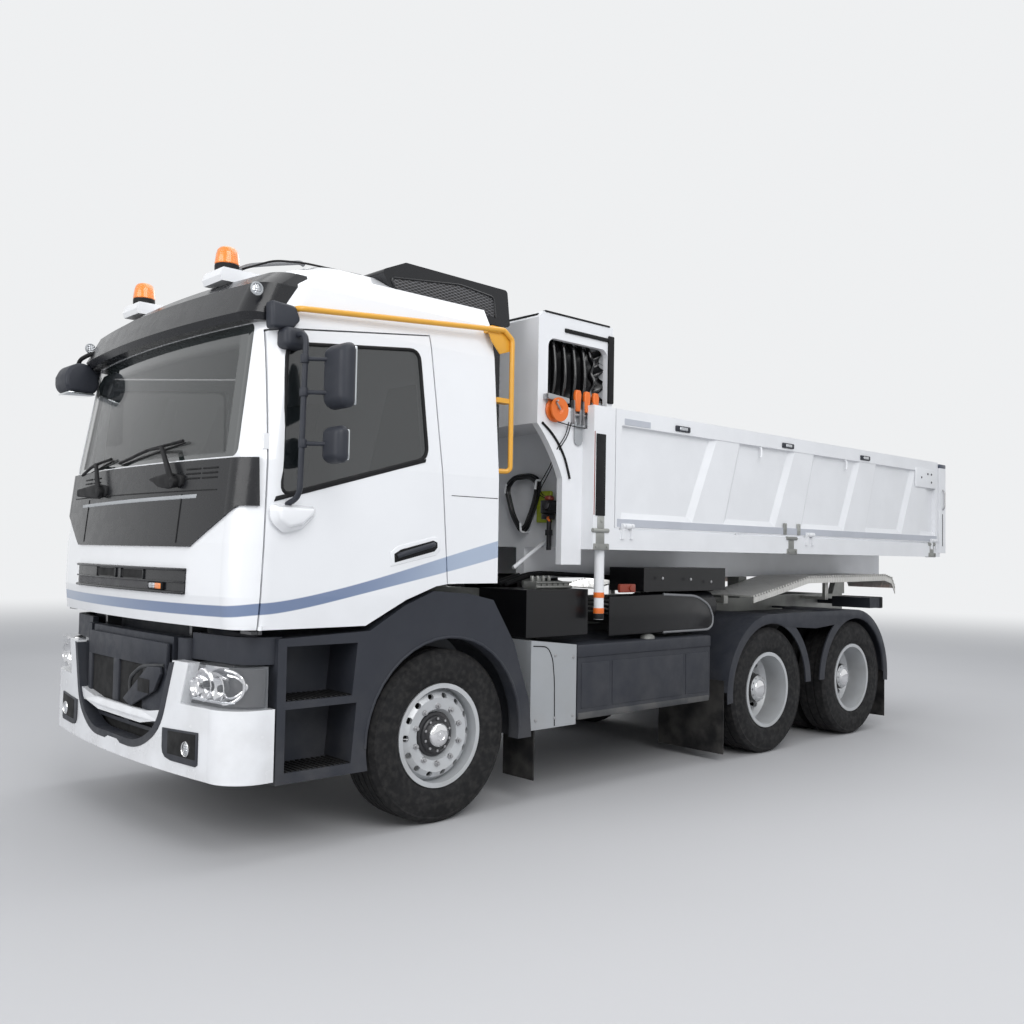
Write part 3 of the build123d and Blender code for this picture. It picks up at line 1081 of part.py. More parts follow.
# (bottom, top, depth, inner y, outer y)
MIRROR_HEADS = ((2290.0, 2620.0, 95.0, 1365.0, 1565.0), (2010.0, 2200.0, 85.0, 1370.0, 1530.0))
for name, side in SIDES:
    with BuildPart() as door:
        add(cab_outer)
        add(cab_inner, mode=Mode.SUBTRACT)
        side_prism(door_points, side * 900, side * 1300, mode=Mode.INTERSECT)
        side_prism(window_points, side * 900, side * 1300, rounding=35.0, mode=Mode.SUBTRACT)
        # lowest hinge's ring, round the shell's pin
        block((ahead(1196), ahead(1232)), (side * 1190, side * (HINGE_OFFSET - 3)),
              (CAB_SKIRT, CAB_SKIRT + 20))
        on_hinge(side, HINGE_RING_RADIUS, CAB_SKIRT, CAB_SKIRT + 20)
        on_hinge(side, HINGE_PIN_RADIUS + BEARING_CLEARANCE, CAB_SKIRT - 10, CAB_SKIRT + 30,
                 mode=Mode.SUBTRACT)
    save(door, f"door_{name}")
    with BuildPart() as glass:
        add(cab_solid(GLASS_THICKNESS / 3))
        add(cab_solid(GLASS_THICKNESS * 4 / 3, CAB_SKIRT - 1), mode=Mode.SUBTRACT)
        side_prism(window_points, side * 900, side * 1300, rounding=35.0, mode=Mode.INTERSECT)
    save(glass, f"door_glass_{name}")
    with BuildPart() as mirror:
        tube_along(((ahead(1075), side * 1100, 2675), (ahead(1075), side * 1340, 2675),
                    (ahead(1090), side * 1340, 1840), (ahead(1110), side * 1100, 1760)), 15.0, 60.0)
        add(cab_outer, mode=Mode.SUBTRACT)
        block((ahead(1065), ahead(1155)), (side * 1215, side * 1275), (1690, 1800))
        for low, high, depth, inner_y, outer_y in MIRROR_HEADS:
            block((ahead(1000) - depth, ahead(1000)), (side * inner_y, side * outer_y), (low, high))
            for z in (low + 50, high - 50):
                block((ahead(990), ahead(1095)), (side * 1330, side * 1390), (z - 15, z + 15))
        add(cab_outer, mode=Mode.SUBTRACT)
    save(mirror, f"mirror_{name}")

# ---------------------------------------------------------------- tipping body
wall_x = ahead(HEADBOARD_AHEAD)
post_rear_x = wall_x - CORNER_POST_DEPTH
bed_half = BED_WIDTH / 2
flap_front_x = post_rear_x - FLAP_GAP
flap_rear_x = rear_end_x + REAR_PILLAR_DEPTH + FLAP_GAP
floor_rear_x = rear_end_x + 100.0
flap_hinge_y = bed_half + 7.0
flap_hinge_z = FLAP_BOTTOM + 12.0
flap_length = flap_front_x - flap_rear_x
FLAP_LUG_RADIUS = 20.0
FLAP_PIN_RADIUS = 10.0
FLAP_LUG_WIDTH = 60.0
flap_hinges = (flap_front_x - 120.0, (flap_front_x + flap_rear_x) / 2, flap_rear_x + 120.0)
ear_inner = HOIST_EYE_WIDTH / 2 + OPEN_PIVOT_GAP + 14
PILLAR_OUT = 15.0
tailgate_half = bed_half + PILLAR_OUT - REAR_PILLAR_WIDTH - TAILGATE_GAP
tailgate_x = rear_end_x + 60.0
TAILGATE_HINGE_HEIGHT = 2470.0
TAILGATE_PIN_RADIUS = 15.0
CROSS_BEARERS = 7
with BuildPart() as bed_floor:
    block((floor_rear_x, wall_x), (-bed_half, bed_half), (FLOOR_TOP - FLOOR_PLATE, FLOOR_TOP))
    pair((floor_rear_x, wall_x), (bed_half - SIDE_SILL_WIDTH, bed_half), (FLOOR_UNDERSIDE, FLOOR_TOP))
    pair((floor_rear_x, wall_x), (BED_BEAM_OFFSET - BED_BEAM_WIDTH / 2, BED_BEAM_OFFSET + BED_BEAM_WIDTH / 2),
         (BED_UNDERSIDE, FLOOR_TOP))
    spacing = (wall_x - floor_rear_x - 90) / (CROSS_BEARERS - 1)
    for place in range(CROSS_BEARERS):
        x = floor_rear_x + 45 + place * spacing
        block((x - 45, x + 45), (-bed_half, bed_half), (FLOOR_UNDERSIDE + 10, FLOOR_TOP))
    # bearer and ears for the hoist
    block((hoist_x - 60, hoist_x + 60), (-BED_BEAM_OFFSET, BED_BEAM_OFFSET), (FLOOR_UNDERSIDE, FLOOR_TOP))
    for side in (1, -1):
        side_prism(((hoist_x - 55, FLOOR_UNDERSIDE), (hoist_x + 55, FLOOR_UNDERSIDE),
                    (hoist_x + 32, HOIST_EYE_HEIGHT - 35), (hoist_x - 32, HOIST_EYE_HEIGHT - 35)),
                   side * ear_inner, side * (ear_inner + 25))
        across(hoist_x, HOIST_EYE_HEIGHT, HOIST_EYE_PIN_RADIUS,
               side * (HOIST_EYE_WIDTH / 2 + OPEN_PIVOT_GAP), side * ear_inner)
        # lugs round the tipping pins
        side_prism(((tip_hinge_x - 70, FLOOR_UNDERSIDE + 10), (tip_hinge_x + 70, FLOOR_UNDERSIDE + 10),
                    (tip_hinge_x + 50, TIP_HINGE_HEIGHT - 50), (tip_hinge_x - 50, TIP_HINGE_HEIGHT - 50)),
                   side * (TIP_LUG_OFFSET - TIP_LUG_WIDTH / 2), side * (TIP_LUG_OFFSET + TIP_LUG_WIDTH / 2))
    block((tip_hinge_x - 80, tip_hinge_x + 80), (-BED_BEAM_OFFSET, BED_BEAM_OFFSET),
          (FLOOR_UNDERSIDE, FLOOR_TOP))
    across(tip_hinge_x, TIP_HINGE_HEIGHT, TIP_PIN_RADIUS + BEARING_CLEARANCE, -520, 520, mode=Mode.SUBTRACT)
    # rear pillars, with the tailgate's pin holes
    pair((rear_end_x, rear_end_x + REAR_PILLAR_DEPTH),
         (bed_half + PILLAR_OUT - REAR_PILLAR_WIDTH, bed_half + PILLAR_OUT),
         (FLOOR_UNDERSIDE + 40, REAR_PILLAR_TOP))
    for side in (1, -1):
        across(tailgate_x, TAILGATE_HINGE_HEIGHT, TAILGATE_PIN_RADIUS + BEARING_CLEARANCE,
               side * (tailgate_half - 10), side * (tailgate_half + TAILGATE_GAP + 50), mode=Mode.SUBTRACT)
        # drop side hinges: a pin between two lugs
        for x in flap_hinges:
            along(side * flap_hinge_y, flap_hinge_z, FLAP_PIN_RADIUS, x - FLAP_LUG_WIDTH, x + FLAP_LUG_WIDTH)
            for end in (-1, 1):
                inner, outer = x + end * (FLAP_LUG_WIDTH / 2 + 5), x + end * FLAP_LUG_WIDTH
                along(side * flap_hinge_y, flap_hinge_z, FLAP_LUG_RADIUS, inner, outer)
                block((inner, outer), (side * (bed_half - 15), side * (flap_hinge_y + FLAP_LUG_RADIUS - 8)),
                      (FLOOR_TOP - 60, flap_hinge_z))
        upright(wall_x - 130, side * (bed_half - 55), 34.0, 1140, FLOOR_UNDERSIDE)
save(bed_floor, "bed_floor")

locker_front_x = ahead(LOCKER_FRONT_AHEAD)
locker_rear_x = locker_front_x - LOCKER_DEPTH
locker_half = LOCKER_WIDTH / 2
SIDE_PLATE = 50.0
with BuildPart() as headboard:
    block((wall_x - HEADBOARD_WALL, wall_x), (-bed_half, bed_half), (FLOOR_TOP, HEADBOARD_TOP))
    pair((post_rear_x, wall_x), (bed_half - FLAP_THICKNESS, bed_half), (FLOOR_TOP, FLAP_TOP))
    # locker over the front of the load space, open at both ends
    side_prism(((locker_rear_x, LOCKER_BOTTOM), (locker_front_x, LOCKER_BOTTOM),
                (locker_front_x, LOCKER_TOP - LOCKER_EDGE), (locker_front_x - LOCKER_EDGE, LOCKER_TOP),
                (locker_rear_x, LOCKER_TOP)), -locker_half, locker_half)
    block((locker_rear_x + LOCKER_WALL, locker_front_x - LOCKER_WALL),
          (-locker_half + LOCKER_WALL, locker_half - LOCKER_WALL),
          (LOCKER_BOTTOM + LOCKER_WALL, LOCKER_TOP - LOCKER_WALL), mode=Mode.SUBTRACT)
    side_prism(((ahead(-1430), 2550), (ahead(-850), 2550), (ahead(-850), 2990), (ahead(-1430), 2990)),
               -locker_half - 10, locker_half + 10, rounding=60.0, mode=Mode.SUBTRACT)
    # side plates that carry the locker, cut back in a hollow curve
    for side in (1, -1):
        with BuildSketch(Plane.XZ.offset(-side * locker_half)) as plate:
            with BuildLine():
                Polyline((wall_x, 1506), (ahead(-1000), 1506), (ahead(-1000), 2075))
                ThreePointArc((ahead(-1000), 2075), (ahead(-925), 2215), (locker_front_x, LOCKER_BOTTOM))
                Polyline((locker_front_x, LOCKER_BOTTOM), (wall_x, LOCKER_BOTTOM), (wall_x, 1506))
            make_face()
        extrude(plate.sketch, amount=side * SIDE_PLATE)
save(headboard, "headboard")

# straps that hang in the locker, on a rail
STRAP_COUNT = 6
strap_low, strap_high = 2640.0, LOCKER_TOP - LOCKER_WALL
with BuildPart() as load_straps:
    for side in (1, -1):
        y = side * (locker_half - 110)
        block((ahead(-1420), ahead(-870)), (y - 20, y + 20), (strap_high - 40, strap_high))
        for place in range(STRAP_COUNT):
            x = ahead(-1400 + 90 * place)
            block((x, x + 60), (y - 30, y + 30), (strap_low, strap_high - 20))
save(load_straps, "load_straps")

rail_low = FLAP_TOP - FLAP_RAIL_HEIGHT
for name, side in SIDES:
    skin_y = side * (bed_half - FLAP_THICKNESS)
    face_y = side * bed_half
    with BuildPart() as flap:
        block((flap_rear_x, flap_front_x), (skin_y, skin_y + side * FLAP_SKIN), (FLAP_BOTTOM, FLAP_TOP))
        block((flap_rear_x, flap_front_x), (skin_y, face_y), (rail_low, FLAP_TOP))
        block((flap_rear_x, flap_front_x), (skin_y, face_y), (FLAP_BOTTOM, FLAP_BOTTOM + FLAP_BAND_HEIGHT))
        for x in (flap_front_x, flap_rear_x + 60):
            block((x - 60, x), (skin_y, face_y), (FLAP_BOTTOM, FLAP_TOP))
        # leaning ribs pressed into the panel
        pitch = flap_length / (FLAP_RIB_COUNT + 0.5)
        for place in range(FLAP_RIB_COUNT):
            top_x = flap_front_x - pitch * (place + 1) - 60
            low_x = top_x + FLAP_RIB_LEAN
            side_prism(((low_x, FLAP_BOTTOM + FLAP_BAND_HEIGHT), (top_x, rail_low),
                        (top_x - FLAP_RIB_WIDTH, rail_low),
                        (low_x - FLAP_RIB_WIDTH - 90, FLAP_BOTTOM + FLAP_BAND_HEIGHT)),
                       skin_y, face_y - side * 6)
        for x in flap_hinges:
            block((x - FLAP_LUG_WIDTH - 5, x + FLAP_LUG_WIDTH + 5),
                  (side * (bed_half - 40), side * (bed_half + 5)),
                  (FLAP_BOTTOM - 5, flap_hinge_z + FLAP_LUG_RADIUS + 10), mode=Mode.SUBTRACT)
            half = FLAP_LUG_WIDTH / 2
            along(side * flap_hinge_y, flap_hinge_z, FLAP_LUG_RADIUS, x - half, x + half)
            block((x - half, x + half), (side * (bed_half - 42), side * flap_hinge_y),
                  (flap_hinge_z, flap_hinge_z + FLAP_LUG_RADIUS))
            along(side * flap_hinge_y, flap_hinge_z, FLAP_PIN_RADIUS + BEARING_CLEARANCE, x - half, x + half,
                  mode=Mode.SUBTRACT)
    save(flap, f"drop_side_{name}")

TAILGATE_BOTTOM = 1670.0
TAILGATE_TOP = 2500.0
TAILGATE_RAIL = 90.0
with BuildPart() as tailgate:
    block((tailgate_x + 5, tailgate_x + 30), (-tailgate_half, tailgate_half), (TAILGATE_BOTTOM, TAILGATE_TOP))
    highest = TAILGATE_TOP - TAILGATE_RAIL
    for low in (TAILGATE_BOTTOM, (TAILGATE_BOTTOM + highest) / 2, highest):
        block((tailgate_x - 30, tailgate_x + 30), (-tailgate_half, tailgate_half), (low, low + TAILGATE_RAIL))
    for y in (-tailgate_half + 40, -420, 420, tailgate_half - 40):
        block((tailgate_x - 30, tailgate_x + 30), (y - 40, y + 40), (TAILGATE_BOTTOM, TAILGATE_TOP))
    across(tailgate_x, TAILGATE_HINGE_HEIGHT, TAILGATE_PIN_RADIUS, -tailgate_half - TAILGATE_GAP - 45,
           tailgate_half + TAILGATE_GAP + 45)
save(tailgate, "tailgate")

# ---------------------------------------------------------------- telescopic hoist
with BuildPart() as hoist_barrel:
    upright(hoist_x, 0, HOIST_RADIUS, HOIST_BARREL_BOTTOM, HOIST_BARREL_TOP)
    upright(hoist_x, 0, HOIST_RADIUS - HOIST_WALL, HOIST_BARREL_BOTTOM + HOIST_WALL, HOIST_BARREL_TOP + 1,
            mode=Mode.SUBTRACT)
    for side in (1, -1):
        across(hoist_x, HOIST_TRUNNION_HEIGHT, HOIST_COLLAR_RADIUS, side * (HOIST_RADIUS - 12),
               side * (subframe_inner - KNUCKLE_GAP))
        across(hoist_x, HOIST_TRUNNION_HEIGHT, HOIST_TRUNNION_RADIUS, side * (HOIST_RADIUS - 12),
               side * subframe_outer)
save(hoist_barrel, "hoist_barrel")

for stage in range(1, HOIST_STAGES + 1):
    radius = HOIST_RADIUS - stage * (HOIST_WALL + HOIST_SLIDE_CLEARANCE)
    stage_bottom = HOIST_BARREL_BOTTOM + HOIST_WALL + 1 + (stage - 1) * 13
    stage_top = HOIST_BARREL_TOP + 10 * stage
    with BuildPart() as hoist_stage:
        upright(hoist_x, 0, radius, stage_bottom, stage_top)
        if stage < HOIST_STAGES:
            upright(hoist_x, 0, radius - HOIST_WALL, stage_bottom + 12, stage_top + 1, mode=Mode.SUBTRACT)
        else:
            upright(hoist_x, 0, HOIST_SHANK_RADIUS, stage_top, HOIST_EYE_HEIGHT)
            across(hoist_x, HOIST_EYE_HEIGHT, HOIST_EYE_RADIUS, -HOIST_EYE_WIDTH / 2, HOIST_EYE_WIDTH / 2)
            across(hoist_x, HOIST_EYE_HEIGHT, HOIST_EYE_PIN_RADIUS + OPEN_PIVOT_GAP,
                   -HOIST_EYE_WIDTH, HOIST_EYE_WIDTH, mode=Mode.SUBTRACT)
    save(hoist_stage, f"hoist_stage_{stage}")
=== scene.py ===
import json
import logging
import math
from dataclasses import dataclass, field
from enum import Enum
from typing import Iterable, Sequence, Union

import bpy
from mathutils import Matrix, Vector

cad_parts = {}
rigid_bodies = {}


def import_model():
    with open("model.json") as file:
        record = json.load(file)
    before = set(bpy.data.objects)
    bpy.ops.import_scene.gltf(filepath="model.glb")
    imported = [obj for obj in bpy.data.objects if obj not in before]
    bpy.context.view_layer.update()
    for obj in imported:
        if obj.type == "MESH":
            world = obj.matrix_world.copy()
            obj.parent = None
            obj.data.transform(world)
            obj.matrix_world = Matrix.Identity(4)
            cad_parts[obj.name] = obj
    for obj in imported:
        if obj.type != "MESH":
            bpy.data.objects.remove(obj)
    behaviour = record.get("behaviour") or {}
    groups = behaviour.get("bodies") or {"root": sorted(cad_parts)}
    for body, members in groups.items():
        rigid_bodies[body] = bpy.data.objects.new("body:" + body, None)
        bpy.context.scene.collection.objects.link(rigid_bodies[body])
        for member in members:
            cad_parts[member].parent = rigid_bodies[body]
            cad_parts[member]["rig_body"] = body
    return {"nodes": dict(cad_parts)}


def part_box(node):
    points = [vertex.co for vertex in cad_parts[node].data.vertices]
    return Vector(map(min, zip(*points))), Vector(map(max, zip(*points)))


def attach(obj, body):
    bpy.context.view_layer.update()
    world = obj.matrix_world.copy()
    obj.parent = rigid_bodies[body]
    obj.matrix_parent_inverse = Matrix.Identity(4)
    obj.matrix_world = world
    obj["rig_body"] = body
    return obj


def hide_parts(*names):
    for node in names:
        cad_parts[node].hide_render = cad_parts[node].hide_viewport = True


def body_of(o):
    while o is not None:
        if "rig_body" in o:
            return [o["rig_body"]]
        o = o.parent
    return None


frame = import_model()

log = logging.getLogger("truck")
Point = tuple[float, float, float]
Colour = tuple[float, float, float]
Profile = tuple[tuple[float, float], ...]
FRONT_AXLE_X = 2.555
AXLE_Z = 0.505
DRIVE_AXLES = (-0.815, -2.185)
SIDES = (1, -1)
SIDE_NAMES = {1: "left", -1: "right"}
MERGE_DISTANCE = 0.00005
THINNEST_SHARE = 0.45


def ahead(distance: float) -> float:
    """Place along the truck of a point that far ahead of the front axle."""
    return FRONT_AXLE_X + distance


def sided(side: int, rows: Iterable[tuple[float, float]]) -> list[tuple[float, float]]:
    """Profile of (distance outwards, radius) rows, turned to the truck's left or right."""
    return [(side * out, radius) for out, radius in rows]


def spots(side: int, rows: Iterable[Point]) -> list[Point]:
    """Points from (metres ahead of the front axle, metres outwards, height) rows.

    Args:
        side: 1 for the left, -1 for the right.
        rows: the points of the left side.

    Returns:
        The points in the truck's frame.
    """
    return [(ahead(along), side * out, height) for along, out, height in rows]


class Axis(Enum):
    """Direction along which a piece is turned or pushed."""

    ALONG = (1.0, 0.0, 0.0)
    ACROSS = (0.0, 1.0, 0.0)
    UP = (0.0, 0.0, 1.0)


class Bench:
    """The modelling bench: hand operators, called on a cleared selection."""

    @staticmethod
    def clear() -> None:
        """Leave edit mode and deselect everything."""
        if bpy.context.object and bpy.context.object.mode != "OBJECT":
            bpy.ops.object.mode_set(mode="OBJECT")
        for item in bpy.context.selected_objects:
            item.select_set(False)

    @staticmethod
    def take(piece: bpy.types.Object) -> None:
        """Select one piece alone and make it active."""
        Bench.clear()
        piece.select_set(True)
        bpy.context.view_layer.objects.active = piece

    @staticmethod
    def settle(piece: bpy.types.Object) -> None:
        """Put the piece's place into its mesh, so that its object is at the origin."""
        Bench.take(piece)
        bpy.ops.object.transform_apply(location=True, rotation=True, scale=True)

    @staticmethod
    def outward(piece: bpy.types.Object) -> None:
        """Merge doubles and turn all faces outwards."""
        Bench.take(piece)
        bpy.ops.object.mode_set(mode="EDIT")
        bpy.ops.mesh.select_all(action="SELECT")
        bpy.ops.mesh.remove_doubles(threshold=MERGE_DISTANCE)
        bpy.ops.mesh.select_all(action="SELECT")
        bpy.ops.mesh.normals_make_consistent(inside=False)
        bpy.ops.object.mode_set(mode="OBJECT")

    @staticmethod
    def modify(piece: bpy.types.Object, kind: str, settings: dict) -> None:
        """Give the piece a modifier and apply it.

        Args:
            piece: mesh object.
            kind: type of the modifier.
            settings: its properties.
        """
        Bench.take(piece)
        added = piece.modifiers.new(kind, kind)
        for key, value in settings.items():
            setattr(added, key, value)
        bpy.ops.object.modifier_apply(modifier=added.name)

    @staticmethod
    def named(name: str) -> bpy.types.Object:
        """The object that an operator has just added, under a new name."""
        piece = bpy.context.object
        piece.name = name
        return piece

    @staticmethod
    def push(piece: bpy.types.Object, move: Point, width: float, steps: int = 2) -> bpy.types.Object:
        """Extrude a surface into a solid and round its edges.

        Args:
            piece: the surface, which is the active object.
            move: how far and where it is extruded.
            width: radius of its edges.
            steps: faces across each edge.

        Returns:
            The solid.
        """
        bpy.ops.object.mode_set(mode="EDIT")
        bpy.ops.mesh.select_all(action="SELECT")
        bpy.ops.mesh.extrude_region_move(TRANSFORM_OT_translate={"value": move})
        bpy.ops.object.mode_set(mode="OBJECT")
        Bench.outward(piece)
        if width > 0:
            Bench.soften(piece, width, steps)
        return piece

    @staticmethod
    def soften(piece: bpy.types.Object, width: float, steps: int = 2, angle: float = 35.0) -> None:
        """Round the piece's sharp edges.

        Args:
            piece: mesh object.
            width: radius of the rounding in metres.
            steps: faces across each rounded edge.
            angle: edges sharper than this, in degrees, are rounded.
        """
        limits = {"limit_method": "ANGLE", "angle_limit": math.radians(angle), "use_clamp_overlap": True}
        Bench.modify(piece, "BEVEL", {"width": width, "segments": steps, **limits})

    @staticmethod
    def block(name: str, low: Point, high: Point, width: float = 0.004, steps: int = 2) -> bpy.types.Object:
        """Box with rounded edges between two corners.

        Args:
            name: name of the object.
            low: one corner.
            high: the opposite corner.
            width: radius of its edges.
            steps: faces across each edge.

        Returns:
            The new object.
        """
        Bench.clear()
        middle = [(a + b) / 2 for a, b in zip(low, high)]
        bpy.ops.mesh.primitive_cube_add(size=1.0, location=middle)
        piece = Bench.named(name)
        piece.scale = [abs(b - a) for a, b in zip(low, high)]
        Bench.settle(piece)
        least = min(abs(b - a) for a, b in zip(low, high))
        if width > 0:
            Bench.soften(piece, min(width, least * THINNEST_SHARE), steps)
        return piece

    @staticmethod
    def slab(name: str, outline: Sequence[Point], push: Point, width: float = 0.0, steps: int = 2) -> bpy.types.Object:
        """Flat outline pushed into a plate.

        Args:
            name: name of the object.
            outline: corners of the outline, in order.
            push: how far and where it is extruded.
            width: radius of its edges.
            steps: faces across each edge.

        Returns:
            The new object.
        """
        Bench.clear()
        bpy.ops.mesh.primitive_circle_add(vertices=len(outline), radius=1.0, fill_type="NGON")
        piece = Bench.named(name)
        for vertex, place in zip(piece.data.vertices, outline):
            vertex.co = place
        return Bench.push(piece, push, width, steps)

    @staticmethod
    def turned(
        name: str,
        profile: Sequence[tuple[float, float]],
        centre: Point,
        axis: Axis = Axis.ACROSS,
        steps: int = 64,
    ) -> bpy.types.Object:
        """Closed profile spun about an axis.

        Args:
            name: name of the object.
            profile: (place along the axis, radius) points, in order.
            centre: point on the axis that the places count from.
            axis: direction of the axis.
            steps: faces round the turn.

        Returns:
            The new object.
        """
        Bench.clear()
        along = Vector(axis.value)
        out = Vector((0, 0, 1)) if axis is not Axis.UP else Vector((1, 0, 0))
        middle = Vector(centre)
        bpy.ops.mesh.primitive_circle_add(vertices=len(profile), radius=1.0, fill_type="NOTHING")
        piece = Bench.named(name)
        for vertex, (place, radius) in zip(piece.data.vertices, profile):
            vertex.co = middle + along * place + out * radius
        bpy.ops.object.mode_set(mode="EDIT")
        bpy.ops.mesh.select_all(action="SELECT")
        bpy.ops.mesh.spin(steps=steps, angle=math.tau, center=centre, axis=axis.value, use_normal_flip=False)
        bpy.ops.mesh.select_all(action="SELECT")
        bpy.ops.mesh.remove_doubles(threshold=MERGE_DISTANCE)
        bpy.ops.mesh.delete_loose()
        bpy.ops.object.mode_set(mode="OBJECT")
        Bench.outward(piece)
        return piece

    @staticmethod
    def rod(
        name: str,
        start: Point,
        end: Point,
        radius: float,
        width: float = 0.0,
        sides: int = 24,
    ) -> bpy.types.Object:
        """Round bar between two points, with its end edges rounded.

        Args:
            name: name of the object.
            start: centre of one end.
            end: centre of the other end.
            radius: radius of the bar.
            width: radius of the end edges.
            sides: faces round the bar.

        Returns:
            The new object.
        """
        Bench.clear()
        a, b = Vector(start), Vector(end)
        bpy.ops.mesh.primitive_cylinder_add(vertices=sides, radius=radius, depth=(b - a).length, location=(a + b) / 2)
        piece = Bench.named(name)
        piece.rotation_mode = "QUATERNION"
        piece.rotation_quaternion = (b - a).to_track_quat("Z", "Y")
        Bench.settle(piece)
        if width > 0:
            Bench.soften(piece, width, 2, 60.0)
        return piece

    @staticmethod
    def eased(points: Sequence[Point], bend: float, steps: int = 5) -> list[Vector]:
        """Line with its corners rounded.

        Args:
            points: corners of the line.
            bend: distance from each corner at which the curve starts.
            steps: points on each curve.

        Returns:
            The points of the rounded line.
        """
        corners = [Vector(p) for p in points]
        line = [corners[0]]
        for before, corner, after in zip(corners, corners[1:], corners[2:]):
            reach = min(bend, (before - corner).length * 0.45, (after - corner).length * 0.45)
            first = corner + (before - corner).normalized() * reach
            last = corner + (after - corner).normalized() * reach
            for i in range(steps + 1):
                t = i / steps
                line.append(first * (1 - t) ** 2 + corner * 2 * t * (1 - t) + last * t * t)
        line.append(corners[-1])
        return line

    @staticmethod
    def tube(
        name: str,
        points: Sequence[Point],
        radius: float,
        bend: float = 0.0,
        sides: int = 3,
        closed: bool = False,
    ) -> bpy.types.Object:
        """Pipe or hose along a line.

        Args:
            name: name of the object.
            points: corners of its centreline.
            radius: radius of the pipe.
            bend: how far from each corner it bends.
            sides: fineness of its roundness.
            closed: whether the line closes on itself.

        Returns:
            The new mesh object.
        """
        Bench.clear()
        line = Bench.eased(points, bend) if bend > 0 else [Vector(p) for p in points]
        bpy.ops.curve.primitive_bezier_curve_add(location=(0, 0, 0))
        piece = Bench.named(name)
        piece.data.splines.clear()
        spline = piece.data.splines.new("POLY")
        spline.points.add(len(line) - 1)
        for knot, place in zip(spline.points, line):
            knot.co = (*place, 1.0)
        spline.use_cyclic_u = closed
        piece.data.dimensions = "3D"
        piece.data.bevel_depth = radius
        piece.data.bevel_resolution = sides
        piece.data.use_fill_caps = not closed
        Bench.take(piece)
        bpy.ops.object.convert(target="MESH")
        piece = bpy.context.object
        Bench.settle(piece)
        return piece

    @staticmethod
    def copy(piece: bpy.types.Object, move: Matrix) -> bpy.types.Object:
        """Copy a piece with its own mesh, moved by a matrix."""
        twin = piece.copy()
        twin.data = piece.data.copy()
        twin.data.transform(move)
        bpy.context.scene.collection.objects.link(twin)
        return twin

    @staticmethod
    def join(name: str, parts: Sequence[bpy.types.Object]) -> bpy.types.Object:
        """Join pieces into one object.

        Args:
            name: name of the joined object.
            parts: the pieces, of which the first keeps its place.

        Returns:
            The joined object.
        """
        Bench.take(parts[0])
        for part in parts[1:]:
            part.select_set(True)
        if len(parts) > 1:
            bpy.ops.object.join()
        parts[0].name = name
        return parts[0]

    @staticmethod
    def repeat(name: str, piece: bpy.types.Object, moves: Iterable[Point]) -> bpy.types.Object:
        """Copy a piece to several offsets and join the copies with it.

        Args:
            name: name of the joined object.
            piece: the piece, which stays at its own place.
            moves: offsets of the copies.

        Returns:
            The joined object.
        """
        copies = [Bench.copy(piece, Matrix.Translation(move)) for move in moves]
        return Bench.join(name, [piece, *copies])

    @staticmethod
    def ring_copies(name: str, piece: bpy.types.Object, count: int, centre: Point) -> bpy.types.Object:
        """Copy a piece evenly round an axle and join the copies.

        Args:
            name: name of the joined object.
            piece: the piece at its first place.
            count: how many there are in all.
            centre: point on the axle.

        Returns:
            The joined object.
        """
        there, back = Matrix.Translation(centre), Matrix.Translation(-Vector(centre))
        copies = [
            Bench.copy(piece, there @ Matrix.Rotation(math.tau * i / count, 4, Vector(Axis.ACROSS.value)) @ back)
            for i in range(1, count)
        ]
        return Bench.join(name, [piece, *copies])

    @staticmethod
    def smooth(piece: bpy.types.Object, angle: float = 32.0) -> None:
        """Shade the piece smooth across edges flatter than the angle."""
        Bench.take(piece)
        bpy.ops.object.shade_smooth_by_angle(angle=math.radians(angle), keep_sharp_edges=False)


class Value:
    """A number inside a shader, with the maths that Python writes."""

    def __init__(self, shader: "Shader", socket: bpy.types.NodeSocket) -> None:
        """Wrap one output socket."""
        self.shader = shader
        self.socket = socket

    def maths(self, operation: str, *others: Union["Value", float], first: bool = True) -> "Value":
        """Add one Math node.

        Args:
            operation: the node's operation.
            others: its other values.
            first: whether this value comes first.

        Returns:
            The node's result.
        """
        row = [self, *others] if first else [*others, self]
        made = self.shader.node("ShaderNodeMath", {"operation": operation}, dict(enumerate(row)))
        return Value(self.shader, made.outputs[0])

    def __add__(self, other: Union["Value", float]) -> "Value":
        """Sum."""
        return self.maths("ADD", other)

    def __radd__(self, other: float) -> "Value":
        """Sum with a number first."""
        return self.maths("ADD", other)

    def __sub__(self, other: Union["Value", float]) -> "Value":
        """Difference."""
        return self.maths("SUBTRACT", other)

    def __rsub__(self, other: float) -> "Value":
        """Difference with a number first."""
        return self.maths("SUBTRACT", other, first=False)

    def __mul__(self, other: Union["Value", float]) -> "Value":
        """Product."""
        return self.maths("MULTIPLY", other)

    def __truediv__(self, other: Union["Value", float]) -> "Value":
        """Quotient."""
        return self.maths("DIVIDE", other)

    def absolute(self) -> "Value":
        """Size without the sign."""
        return self.maths("ABSOLUTE")

    def least(self, other: Union["Value", float]) -> "Value":
        """The lesser of two."""
        return self.maths("MINIMUM", other)

    def wave(self) -> "Value":
        """Sine."""
        return self.maths("SINE")

    def at_least(self, low: float) -> "Value":
        """Held above a number."""
        return self.maths("MAXIMUM", low)

    def ramp(self, low: float, high: float, to_low: float = 0.0, to_high: float = 1.0) -> "Value":
        """Smooth step from one range to another, held at its ends.

        Args:
            low: where the step starts.
            high: where it ends.
            to_low: result at its start.
            to_high: result at its end.

        Returns:
            The stepped value.
        """
        made = self.shader.node(
            "ShaderNodeMapRange",
            {"interpolation_type": "SMOOTHSTEP", "clamp": True},
            {0: self, 1: low, 2: high, 3: to_low, 4: to_high},
        )
        return Value(self.shader, made.outputs[0])


